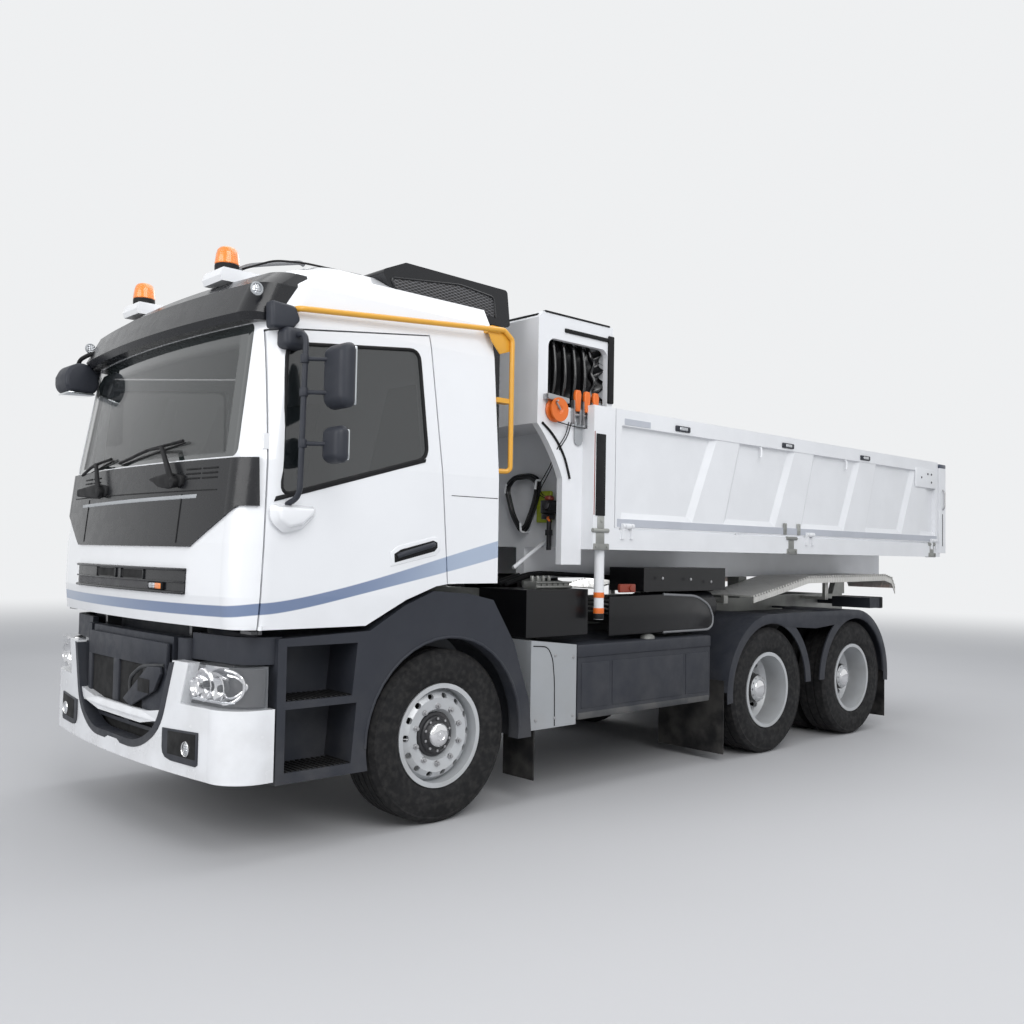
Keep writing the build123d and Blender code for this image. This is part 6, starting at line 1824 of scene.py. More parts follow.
    def mouth(self) -> None:
        """Grille bars, lining of the opening, and the panel below the cab."""
        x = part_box("lower_grille")[1].x
        # Painted shade: a near-black sheet between the bars stands for the shade in the grille's openings.
        dark = Bench.block("grille_dark", (x + 0.001, -0.52, 0.64), (x + 0.005, 0.27, 0.94), 0.0, 1)
        fit(dark, "hollow_shade_black", self.body)
        bars = [
            Bench.block("bar", (x - 0.004, y0, z0), (x + 0.020, y1, z1), 0.006)
            for y0, y1, z0, z1 in self.grille_bars
        ]
        fit(Bench.join("grille_frame", bars), "dark_plastic", self.body)
        edge = Bench.eased([(y, z, 0.0) for y, z in self.mouth_edge], 0.16, 6)
        middle = Vector((0.0, self.mouth_middle, 0.0))
        lips = []
        for first, second in zip(edge, edge[1:]):
            quad = []
            for spot, grow in ((first, 0.020), (second, 0.020), (second, -0.026), (first, -0.026)):
                out = spot + (spot - middle).normalized() * grow
                quad.append((self.plan(out.x, -0.0025), out.x, out.y))
            lips.append(Bench.slab("lip", quad, (-0.085, 0.0, 0.0)))
        fit(Bench.join("mouth_lining", lips), "dark_plastic", self.body)
        # Painted shade: a near-black sheet at the back of the mouth stands for the shade inside the opening.
        back = Bench.block("mouth_dark", (x - 0.05, -0.64, 0.415), (x - 0.035, 0.64, 0.60), 0.002, 1)
        fit(back, "hollow_shade_black", self.body)
        panel = Bench.block("cab_gap_panel", (ahead(1.150), -1.08, 1.00), (ahead(1.165), 1.08, 1.135), 0.004, 2)
        fit(panel, "dark_plastic", self.body)

    def folding_step(self) -> None:
        """White cross bar, and the folding step with its bow."""
        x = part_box("lower_grille")[1].x
        stations = [-0.60 + 1.20 * i / 14 for i in range(15)]
        rows = [((self.plan(y, 0.008), y, 0.640), (self.plan(y, 0.026), y, 0.682)) for y in stations]
        fit(Cab().sheet_strip("cross_bar", rows, (-0.030, 0.0, 0.0), 0.010), "cab_white", self.body)
        outline = [(x + 0.030, y, z) for y, z in self.step_plate]
        fit(Bench.slab("folding_step", outline, (0.022, 0.0, 0.0), 0.006), "dark_plastic", self.body)
        well = Bench.block("folding_step_well", (x + 0.048, 0.27, 0.780), (x + 0.056, 0.42, 0.855), 0.004)
        fit(well, "rubber", self.body)
        bow = Bench.tube("folding_step_bow", [(x + out, y, z) for out, y, z in self.step_bow], 0.011, 0.06)
        fit(bow, "frame_grey", self.body)

    def build(self) -> None:
        """Make the front end."""
        for side in SIDES:
            self.headlamp(side)
            self.fog_lamp(side)
        self.mouth()
        self.folding_step()


@dataclass
class Steps:
    """Ribbed treads of the boarding steps and lips of the front wheel arches."""

    body: str = "chassis"
    heights: tuple[float, float] = (0.44, 0.80)
    arch_radius: float = 0.578
    arch_foot: float = 0.50

    def build(self) -> None:
        """Make the treads and the arch lips."""
        for side in SIDES:
            word = SIDE_NAMES[side]
            for number, height in enumerate(self.heights, 1):
                low, high = (3.21, side * 0.985, height - 0.004), (3.225, side * 1.215, height + 0.008)
                rib = Bench.block("rib", low, high, 0.003)
                ribs = Bench.repeat(f"step_ribs_{number}_{word}", rib, [(0.032 * i, 0.0, 0.0) for i in range(1, 13)])
                fit(ribs, "rubber", self.body)
            turns = [math.radians(-18 + 216 * i / 24) for i in range(25)]
            rim = [(self.arch_radius * math.cos(turn), AXLE_Z + self.arch_radius * math.sin(turn)) for turn in turns]
            points = spots(side, [(x, 1.222, z) for x, z in rim if z > self.arch_foot])
            fit(Bench.tube(f"arch_lip_{word}", points, 0.010, 0.0, 2), "dark_plastic", self.body)


@dataclass
class SideKit:
    """Fairings, boxes, tanks, valves and pipes along both sides of the frame."""

    body: str = "chassis"
    deck_line: Profile = (
        (-3.300, 1.262), (-3.700, 1.330), (-4.150, 1.415), (-5.560, 1.430), (-5.700, 1.400), (-5.770, 1.300)
    )
    panels: Profile = ((0.03, 0.30), (0.34, 1.12), (1.16, 1.43))
    tank_cap: Profile = (
        (-0.01, 0.0), (-0.01, 0.052), (0.018, 0.052), (0.022, 0.056), (0.042, 0.056), (0.048, 0.050), (0.05, 0.0)
    )
    air_guard: Profile = (
        (-1.50, 1.285), (-2.10, 1.292), (-2.50, 1.275), (-2.66, 1.205), (-2.715, 1.110), (-2.705, 1.045),
        (-2.65, 1.015), (-1.50, 1.015),
    )
    air_cup: Profile = ((-0.01, 0.0), (-0.01, 0.055), (0.018, 0.052), (0.028, 0.040), (0.036, 0.020), (0.036, 0.0))
    guard_outer: float = 0.612
    guard_inner: float = 0.540

    def fairing(self, side: int) -> None:
        """Seams and fasteners of a silver fairing."""
        word = SIDE_NAMES[side]
        low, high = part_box("side_fairings")
        y = side * (high.y + 0.0005)
        curve = [(low.x + 0.40, high.z - 0.035), (low.x + 0.27, high.z - 0.045), (low.x + 0.225, high.z - 0.12),
                 (low.x + 0.205, low.z + 0.30), (low.x + 0.200, low.z + 0.01)]
        seam = Bench.tube(f"fairing_seam_{word}", [(px, y, z) for px, z in curve], 0.0035, 0.06, 2)
        fit(seam, "rubber", self.body)
        ends = [(low.x + 0.03, y + side * out, low.z + 0.06) for out in (-0.002, 0.004)]
        screw = Bench.rod("screw", *ends, 0.010, 0.002, 16)
        moves = ((0.17, 0, 0), (0.34, 0, 0), (0.0, 0, 0.38), (0.17, 0, 0.40))
        screws = Bench.repeat(f"fairing_screws_{word}", screw, moves)
        fit(screws, "steel", self.body)

    def battery_box(self) -> None:
        """Lid, panels and foot of the battery box."""
        low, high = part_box("battery_box")
        lid = Bench.block("battery_lid", (low.x - 0.006, low.y + 0.02, high.z - 0.075),
                          (high.x + 0.004, high.y + 0.008, high.z + 0.012), 0.014, 3)
        fit(lid, "dark_plastic", self.body)
        panels = [
            Bench.block("panel", (low.x + a, high.y - 0.004, low.z + 0.05), (low.x + b, high.y + 0.005, high.z - 0.11),
                        0.008, 3)
            for a, b in self.panels
        ]
        fit(Bench.join("battery_panels", panels), "dark_plastic", self.body)
        foot = Bench.block("battery_foot", (low.x + 0.01, low.y + 0.03, low.z - 0.02),
                           (high.x - 0.01, high.y + 0.006, low.z + 0.025), 0.008, 2)
        fit(foot, "frame_grey", self.body)

    def fuel_tank(self) -> None:
        """Straps and filler cap of the fuel tank."""
        low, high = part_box("fuel_tank")
        top, foot = high.z + 0.004, low.z - 0.004
        ring = (
            (-0.003, foot + 0.09), (-0.003, top - 0.09), (0.03, top - 0.03), (0.09, top), (0.50, top), (0.50, foot),
            (0.09, foot), (0.03, foot + 0.03),
        )
        straps = []
        for x in (low.x + 0.28, high.x - 0.30):
            rows = [((x - 0.022, low.y + y, z), (x + 0.022, low.y + y, z)) for y, z in ring]
            for (a, b), (c, d) in zip(rows, rows[1:] + rows[:1]):
                straps.append(Bench.slab("strap", [a, b, d, c], (0.0, -0.004, 0.0)))
        fit(Bench.join("tank_straps", straps), "steel", self.body)
        cap = Bench.turned("tank_cap", self.tank_cap, (high.x - 0.16, low.y + 0.26, high.z), Axis.UP, 36)
        fit(cap, "rubber", self.body)

    def air_parts(self, side: int) -> None:
        """Guard, valve, bolts, cup, pipes and hoses on one side of the frame."""
        word = SIDE_NAMES[side]
        outline = [(ahead(x), side * 1.127, z) for x, z in self.air_guard]
        fit(Bench.slab(f"air_guard_{word}", outline, (0.0, side * 0.012, 0.0), 0.005), "box_black", self.body)
        rim = spots(side, [(x, 1.136, z) for x, z in (*self.air_guard[1:7], (-2.10, 1.015))])
        fit(Bench.tube(f"air_guard_rim_{word}", rim, 0.009, 0.07, 3), "cable_grey", self.body)
        block = Bench.block("block", *spots(side, ((-1.60, 1.122, 1.312), (-1.77, 1.150, 1.372))), 0.008)
        nut = Bench.rod("nut", *spots(side, ((-1.71, 1.148, 1.342), (-1.71, 1.162, 1.342))), 0.020, 0.003, 6)
        fit(Bench.join(f"air_valve_{word}", [block, nut]), "red_brown", self.body)
        bolt = Bench.rod("bolt", *spots(side, ((-2.10, 1.122, 1.41), (-2.10, 1.132, 1.41))), 0.012, 0.003, 6)
        bolts = Bench.repeat(f"air_box_bolts_{word}", bolt, [(-0.34, 0.0, -0.01), (-0.60, 0.0, -0.03)])
        fit(bolts, "steel", self.body)
        cup = Bench.turned(f"air_cup_{word}", self.air_cup, (ahead(-1.94), side * 1.12, 0.975), Axis.UP, 28)
        fit(cup, "galvanised", self.body)
        pipes = []
        for i in range(4):
            y, z = 0.02 * i, 1.12 + 0.03 * i
            line = ((0.70, 0.90 + 1.5 * y, z), (0.98, 0.92 + y, z + 0.04), (1.24, 0.95 + y, z + 0.06),
                    (1.30, 0.95, z + 0.05))
            pipes.append(Bench.tube("pipe", [(px, side * py, pz) for px, py, pz in line], 0.009, 0.10, 2))
        fit(Bench.join(f"air_pipes_{word}", pipes), "rubber", self.body)
        line = ((1.60, 1.36), (1.30, 1.44), (0.60, 1.41), (0.10, 1.37), (-0.30, 1.30))
        hoses = [Bench.tube("hose", [(x, side * y, z) for x, z in line], 0.016, 0.15) for y in (0.55, 0.61, 0.67)]
        fit(Bench.join(f"hydraulic_hoses_{word}", hoses), "rubber", self.body)

    def guards(self, side: int) -> None:
        """Rolled edges of the mudguards and the bolts of the decks."""
        word = SIDE_NAMES[side]
        front, rear = DRIVE_AXLES
        arc = [math.radians(-6 + 96 * i / 14) for i in range(15)]
        outer, inner = self.guard_outer, self.guard_inner
        lip = [(front + outer * math.cos(t), AXLE_Z + outer * math.sin(t)) for t in arc]
        lip += [(rear - outer * math.cos(t), AXLE_Z + outer * math.sin(t)) for t in reversed(arc)]
        turn = [math.radians(-6 + 118 * i / 16) for i in range(17)]
        lip += [(rear - inner * math.cos(t), AXLE_Z + inner * math.sin(t)) for t in turn]
        lip.append(((front + rear) / 2, AXLE_Z + 0.470))
        lip += [(front + inner * math.cos(t), AXLE_Z + inner * math.sin(t)) for t in reversed(turn)]
        outline = [(x, side * 1.240, z) for x, z in lip]
        fit(Bench.slab(f"guard_lip_{word}", outline, (0.0, side * 0.009, 0.0), 0.003, 2), "dark_plastic", self.body)
        rows = [spots(side, ((x, 1.114, z - 0.060), (x, 1.114, z))) for x, z in self.deck_line]
        flange = Cab().sheet_strip(f"deck_flange_{word}", rows, (0.0, side * 0.006, 0.0))
        fit(flange, "checker_aluminium", self.body)
        line = [Vector((ahead(x), side * 1.116, z - 0.006)) for x, z in self.deck_line]
        beads = []
        for start, end in zip(line, line[1:]):
            count = max(2, round((end - start).length / 0.042))
            for i in range(count):
                place = start.lerp(end, i / count)
                beads.append(Bench.rod("bead", place, place + Vector((0.0, side * 0.009, 0.0)), 0.013, 0.003, 10))
        fit(Bench.join(f"deck_beads_{word}", beads), "checker_aluminium", self.body)
        ends = spots(side, ((-5.50, 1.04, 1.426), (-5.50, 1.04, 1.434)))
        bolt = Bench.rod("bolt", *ends, 0.011, 0.002, 12)
        bolts = Bench.repeat(f"deck_bolts_{word}", bolt, [(0.40 * i, 0.0, -0.0042 * i) for i in range(1, 4)])
        fit(bolts, "steel", self.body)

    def build(self) -> None:
        for side in SIDES:
            self.fairing(side)
            self.air_parts(side)
            self.guards(side)
        self.battery_box()
        self.fuel_tank()


@dataclass
class Headboard:
    """Cover, ratchets, reel, hose, valves and seals at the front of the tipping body."""

    body: str = "bed"
    face: float = -1.19
    plate_half: float = 1.15
    cover_flat: tuple[float, float] = (2.0, 0.40)
    cover_span: tuple[float, float] = (-0.850, -1.430)
    cover_heights: tuple[float, float] = (2.60, 3.060)
    folds: int = 6
    ratchet_places: tuple[float, ...] = (-1.10, -1.19, -1.275)
    handle: Profile = (
        (-0.030, 2.640), (-0.019, 2.525), (0.019, 2.525), (0.030, 2.640), (0.020, 2.668), (-0.020, 2.668)
    )
    reel_drum: Profile = (
        (0.0, 0.0), (0.0, 0.078), (0.012, 0.080), (0.016, 0.074), (0.022, 0.050), (0.034, 0.046), (0.044, 0.074),
        (0.050, 0.080), (0.060, 0.078), (0.060, 0.030), (0.052, 0.018), (0.052, 0.0),
    )
    lip_curve: Profile = (
        (-0.800, 2.424), (-0.880, 2.372), (-0.955, 2.300), (-1.015, 2.210), (-1.050, 2.120), (-1.065, 2.075)
    )
    post_plate: Profile = (
        (-1.100, 2.335), (-1.112, 2.308), (-1.140, 2.300), (-1.168, 2.308), (-1.180, 2.335), (-1.180, 2.462),
        (-1.100, 2.462),
    )
    coil_corners: Profile = (
        (0.445, 2.050), (0.53, 2.125), (0.70, 2.130), (0.790, 2.085), (0.760, 1.93), (0.665, 1.745),
        (0.610, 1.725), (0.52, 1.84),
    )
    coil_middle: tuple[float, float] = (0.625, 1.93)
    knob: Profile = ((0.0, 0.0), (0.0, 0.024), (0.012, 0.034), (0.030, 0.032), (0.038, 0.020), (0.040, 0.0))
    loose_cable: tuple[Point, ...] = (
        (-0.93, 1.170, 2.44), (-1.06, 1.172, 2.425), (-1.20, 1.174, 2.42), (-1.30, 1.172, 2.45), (-1.32, 1.168, 2.54)
    )

    def cover(self) -> bpy.types.Object:
        """Black load cover, folded into hanging pleats in the locker.

        Returns:
            The cover.
        """
        x_front, x_rear = (ahead(place) for place in self.cover_span)
        bottom, top = self.cover_heights
        Bench.clear()
        bpy.ops.mesh.primitive_grid_add(x_subdivisions=120, y_subdivisions=16, size=1.0)
        sheet = Bench.named("load_cover")
        for vertex in sheet.data.vertices:
            u, v = vertex.co.x + 0.5, vertex.co.y + 0.5
            phase = u * self.folds * math.tau
            hang = 0.55 + 0.45 * math.sin(math.pi * v**0.8)
            wave = math.cos(phase)
            crumple = max(0.0, u - 0.70) / 0.30
            deep = 0.085 * wave * hang * (1 - 0.4 * crumple) + 0.035 * crumple * math.sin(21.0 * v + 8.0 * u)
            lean = 0.022 * math.sin(2.0 * phase) + 0.014 * crumple * math.sin(17.0 * v + 6.0 * u)
            low = bottom + 0.03 * math.sin(3.0 * math.tau * u) - 0.03 * abs(math.sin(phase / 2)) + 0.05 * crumple
            high = top - 0.04 * u - 0.04 * (1 - wave)
            round_over = -0.05 * max(0.0, v - 0.85) / 0.15
            vertex.co = (
                x_front + (x_rear - x_front) * u + lean,
                1.045 + deep + round_over,
                low + (high - low) * v,
            )
        Bench.modify(sheet, "SOLIDIFY", {"thickness": 0.002})
        Bench.modify(sheet, "SUBSURF", {"levels": 1, "render_levels": 1})
        return fit(sheet, "cover_black", self.body, ["load_straps"], 60.0)

    def ratchets(self) -> None:
        """Three orange ratchet handles below the cover, on steel frames."""
        handles, frames = [], []
        y = self.plate_half + 0.006
        for base in map(ahead, self.ratchet_places):
            outline = [(base + x, y + 0.012, z) for x, z in self.handle]
            handles.append(Bench.slab("handle", outline, (0.0, 0.028, 0.0), 0.008, 3))
            for x in (base - 0.030, base + 0.022):
                frames.append(Bench.block("frame", (x, y - 0.006, 2.440), (x + 0.008, y + 0.030, 2.60), 0.002))
            ends = [(base + x, y + 0.014, 2.505) for x in (-0.032, 0.032)]
            frames.append(Bench.rod("drum", *ends, 0.012, 0.002, 16))
        fit(Bench.join("ratchet_handles", handles), "orange", self.body)
        fit(Bench.join("ratchet_frames", frames), "steel", self.body)

    def reel(self) -> None:
        """Orange reel and its bracket at the locker's lower corner."""
        x, y, z = ahead(-0.905), self.plate_half + 0.004, 2.515
        drum = Bench.turned("reel", self.reel_drum, (x, y, z), Axis.ACROSS, 40)
        fit(drum, "orange", self.body)
        outline = [(x + out, y, z + up) for out, up in ((0.10, 0.060), (0.10, 0.100), (-0.10, 0.085), (-0.10, 0.050))]
        arm = Bench.slab("arm", outline, (0.0, 0.050, 0.0), 0.006)
        line = [(x, y + 0.062, z), (x + 0.045, y + 0.066, z + 0.045), (x + 0.05, y + 0.09, z + 0.05)]
        crank = Bench.tube("crank", line, 0.007, 0.01, 2)
        fit(Bench.join("reel_bracket", [arm, crank]), "steel", self.body)

    def seals(self) -> None:
        """Black lips and strips on the headboard's edges."""
        for side in SIDES:
            word = SIDE_NAMES[side]
            y = self.plate_half + 0.006
            curve = spots(side, [(x, y, z) for x, z in self.lip_curve])
            fit(Bench.tube(f"edge_lip_{word}", curve, 0.008, 0.06, 2), "rubber", self.body)
            rails = [
                Bench.block("rail", *spots(side, corners), width, steps)
                for corners, width, steps in (
                    (((-1.46, y - 0.008, 3.045), (-1.00, y + 0.006, 3.072)), 0.005, 2),
                    (((-1.486, y - 0.010, 2.62), (-1.432, y + 0.012, 3.09)), 0.008, 3),
                    (((-1.45, y - 0.030, 3.150), (-0.815, y, 3.163)), 0.004, 2),
                )
            ]
            fit(Bench.join(f"locker_rubber_{word}", rails), "rubber", self.body)
            corners = spots(side, ((-1.305, 1.2555, 1.835), (-1.212, 1.2615, 2.385)))
            strip = Bench.block(f"post_seal_{word}", *corners, 0.003)
            fit(strip, "rubber", self.body)
            corners = spots(side, ((-1.203, 1.2545, 1.84), (-1.196, 1.2575, 2.40)))
            line = Bench.block(f"post_line_{word}", *corners, 0.001, 1)
            fit(line, "red_brown", self.body)
            outline = spots(side, [(x, y + 0.001, z) for x, z in self.post_plate])
            mark = Bench.slab(f"post_plate_{word}", outline, (0.0, side * 0.004, 0.0), 0.0015)
            fit(mark, "silver_grey", self.body)
        ends = [(ahead(-0.783), across, 3.133) for across in (-1.12, 1.12)]
        edge = Bench.tube("locker_edge_strip", ends, 0.010, 0.0, 2)
        fit(edge, "rubber", self.body)

    def hose(self) -> None:
        """Coiled hose on its three hooks, on the left of the headboard."""
        x = ahead(self.face)
        middle_y, middle_z = self.coil_middle
        coil = []
        for turn in range(4):
            grow, off = 1.0 - 0.035 * turn, x + 0.035 + 0.020 * (turn % 2)
            line = [
                (off, middle_y + (y - middle_y) * grow, middle_z + (z - middle_z) * grow) for y, z in self.coil_corners
            ]
            start = tuple((a + b) / 2 for a, b in zip(line[0], line[-1]))
            coil.append(Bench.tube("turn", [start, *line, start], 0.0115, 0.07, 3))
        fit(Bench.join("hose_coil", coil), "box_black", self.body)
        hooks = []
        for y, z, lift in ((0.475, 2.035, -1), (0.785, 2.055, -1), (0.640, 1.755, 1)):
            line = [(x, y, z - 0.03 * lift), (x + 0.075, y, z - 0.03 * lift), (x + 0.080, y, z + 0.035 * lift)]
            hooks.append(Bench.tube("hook", line, 0.008, 0.02))
        fit(Bench.join("hose_hooks", hooks), "bed_white", self.body)

    def valve(self) -> None:
        """Valve beside the hose, with its cover, knob and levers."""
        x = ahead(self.face)
        box_plate = Bench.block("valve_cover", (x + 0.002, 0.745, 1.79), (x + 0.03, 0.885, 2.01), 0.010, 3)
        fit(box_plate, "valve_green", self.body)
        parts = [
            Bench.block("block", (x + 0.03, 0.865, 1.85), (x + 0.11, 0.955, 1.94), 0.008, 2),
            Bench.block("foot", (x + 0.03, 0.855, 1.81), (x + 0.09, 0.935, 1.85), 0.006, 2),
            Bench.rod("stem", (x + 0.06, 0.905, 1.60), (x + 0.06, 0.905, 1.82), 0.017, 0.003, 20),
            Bench.rod("nut", (x + 0.06, 0.905, 1.70), (x + 0.06, 0.905, 1.74), 0.027, 0.003, 6),
            Bench.rod("gauge", (x + 0.10, 0.925, 1.895), (x + 0.135, 0.94, 1.905), 0.028, 0.005, 24),
        ]
        fit(Bench.join("valve_body", parts), "hub_black", self.body)
        knob = Bench.turned("valve_knob", self.knob, (x + 0.07, 0.915, 1.935), Axis.UP, 24)
        fit(knob, "red_brown", self.body)
        line = [(x + 0.08, 0.92, 1.825), (x + 0.12, 0.945, 1.815), (x + 0.14, 0.985, 1.80)]
        fit(Bench.tube("valve_levers", line, 0.008, 0.02, 2), "orange", self.body)

    def cables(self) -> None:
        """Thin cables from the reel to the valve and along the locker."""
        x = ahead(self.face)
        cables = []
        for shift in (0.0, 0.022):
            line = [
                *((px + shift, py, pz) for px, py, pz in spots(1, (
                    (-1.06, 1.166, 2.45), (-1.03, 1.168, 2.36), (-0.95, 1.164, 2.26)))),
                (ahead(-1.10), 0.95 - shift, 2.16), (x + 0.06, 0.80 - shift * 2, 2.00), (x + 0.05, 0.90 - shift, 1.95),
            ]
            cables.append(Bench.tube("cable", line, 0.0035, 0.12, 2))
        cables.append(Bench.tube("cable", spots(1, self.loose_cable), 0.0035, 0.08, 2))
        fit(Bench.join("reel_cables", cables), "rubber", self.body)

    def valve_bank(self) -> None:
        """Row of valves on the frame behind the cab, and the braces above it."""
        x, rear, front = ahead(self.face), ahead(-1.27), ahead(-0.93)
        bank = [
            Bench.block("plate", (rear, 0.82, 1.322), (front, 1.00, 1.334), 0.003, 1),
            Bench.tube("rail", [(rear, 0.99, 1.352), (front, 0.99, 1.352)], 0.009),
            Bench.tube("rail", [(rear, 0.99, 1.382), (front, 0.99, 1.382)], 0.006),
        ]
        for i in range(6):
            front = ahead(-0.95 - 0.053 * i)
            bank.append(Bench.block("body", (front - 0.044, 0.85, 1.334), (front, 0.975, 1.388), 0.006, 2))
            if i < 4:
                ends = [(front - 0.022, 0.91, z) for z in (1.385, 1.425)]
                bank.append(Bench.rod("plug", *ends, 0.014, 0.003, 12))
        fit(Bench.join("valve_bank", bank), "galvanised", "chassis")
        braces = [
            Bench.rod("brace", (x - 0.01, side * 0.80, 1.66), (ahead(-0.90), side * 0.80, 1.475), 0.014, 0.003, 12)
            for side in SIDES
        ]
        fit(Bench.join("face_braces", braces), "bed_white", self.body)

    def build(self) -> None:
        """Make the headboard's kit."""
        self.cover()
        self.ratchets()
        self.reel()
        self.seals()
        self.hose()
        self.valve()
        self.cables()
        self.valve_bank()


@dataclass
class SideFlap:
    """Lamps, ribs, hinges, latch and bands of the two drop sides."""

    outer: float = 1.255
    rib_count: int = 4
    marker_places: tuple[float, ...] = (-2.148, -3.573, -4.886)
    hook_places: tuple[float, ...] = (-3.184, -4.551)
    hinge_place: float = -3.64
    latch_place: float = -6.13

    def ribs(self, side: int, body: str) -> None:
        """Sloping flanks of the leaning ribs, the ledge below them and the lashing hooks."""
        word = SIDE_NAMES[side]
        low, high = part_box(body)
        skin, rib, foot, top = side * 1.2185, side * 1.249, 1.822, 2.465
        pitch = (high.x - low.x) / (self.rib_count + 0.5)
        parts = []
        for place in range(self.rib_count):
            top_x = high.x - pitch * (place + 1) - 0.060
            for start, end, out in ((top_x + 0.300, top_x, 0.062), (top_x - 0.090, top_x - 0.300, -0.062)):
                outline = [(start, skin, foot), (start, rib, foot), (start + out, skin, foot)]
                parts.append(Bench.slab("flank", outline, (end - start, 0.0, top - foot)))
        outline = [(low.x + 0.05, skin, foot), (low.x + 0.05, rib, foot), (low.x + 0.05, skin, foot + 0.045)]
        parts.append(Bench.slab("ledge", outline, (high.x - low.x - 0.10, 0.0, 0.0)))
        for place in self.hook_places:
            line = spots(side, (
                (place, 1.240, 2.470), (place, 1.258, 2.440), (place, 1.258, 2.385), (place + 0.022, 1.258, 2.372)))
            parts.append(Bench.tube("hook", line, 0.007, 0.012))
        fit(Bench.join(f"flap_flanks_{word}", parts), "bed_white", body, angle=20.0)

    def build(self) -> None:
        """Dress both drop sides."""
        for side in SIDES:
            word = SIDE_NAMES[side]
            body = f"drop_side_{word}"
            low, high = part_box(body)
            face = side * self.outer
            lamps, rings = [], []
            for place in self.marker_places:
                for kind, row, half, low_z, high_z, back, out, width, steps in (
                    ("lamp", lamps, 0.085, 2.482, 2.524, -0.004, 0.014, 0.013, 4),
                    ("ring", rings, 0.045, 2.491, 2.515, 0.010, 0.018, 0.004, 3),
                ):
                    corners = spots(side, (
                        (place + half, self.outer + back, low_z), (place - half, self.outer + out, high_z)))
                    row.append(Bench.block(kind, *corners, width, steps))
            fit(Bench.join(f"rail_markers_{word}", lamps), "dark_plastic", body)
            fit(Bench.join(f"rail_marker_lenses_{word}", rings), "lamp_clear", body)
            self.ribs(side, body)
            corners = spots(side, ((-1.50, self.outer - 0.003, 2.472), (-1.78, self.outer + 0.003, 2.515)))
            plate = Bench.block(f"rail_plate_{word}", *corners, 0.001, 1)
            fit(plate, "band_grey", body)
            band = Bench.block(f"lower_band_{word}", (low.x + 0.03, face - side * 0.002, 1.768),
                               (high.x - 0.02, face + side * 0.0035, 1.822), 0.0015, 1)
            fit(band, "band_grey", body)
            leaves, pins = [], []
            for place in (self.hinge_place - 0.106, self.hinge_place + 0.106):
                corners = spots(side, (
                    (place - 0.022, self.outer - 0.003, 1.765), (place + 0.022, self.outer + 0.012, 1.86)))
                leaves.append(Bench.block("leaf", *corners, 0.005))
                for height in (1.80, 1.845):
                    ends = spots(side, ((place, self.outer + 0.008, height), (place, self.outer + 0.017, height)))
                    pins.append(Bench.rod("rivet", *ends, 0.008, 0.002, 12))
            fit(Bench.join(f"flap_hinge_leaves_{word}", leaves + pins), "galvanised", body)
            x = ahead(self.latch_place)
            corners = ((x - 0.22, face - side * 0.004, 2.30), (x + 0.22, face + side * 0.010, 2.49))
            fit(Bench.block(f"latch_plate_{word}", *corners, 0.010, 3), "bed_white", body)
            eyes = [
                Bench.rod("eye", (x + dx, face + side * 0.006, z), (x + dx, face + side * 0.014, z), 0.011, 0.002, 16)
                for dx, z in ((-0.12, 2.44), (-0.04, 2.44), (-0.12, 2.36), (0.10, 2.40))
            ]
            fit(Bench.join(f"latch_{word}", eyes), "hub_black", body)


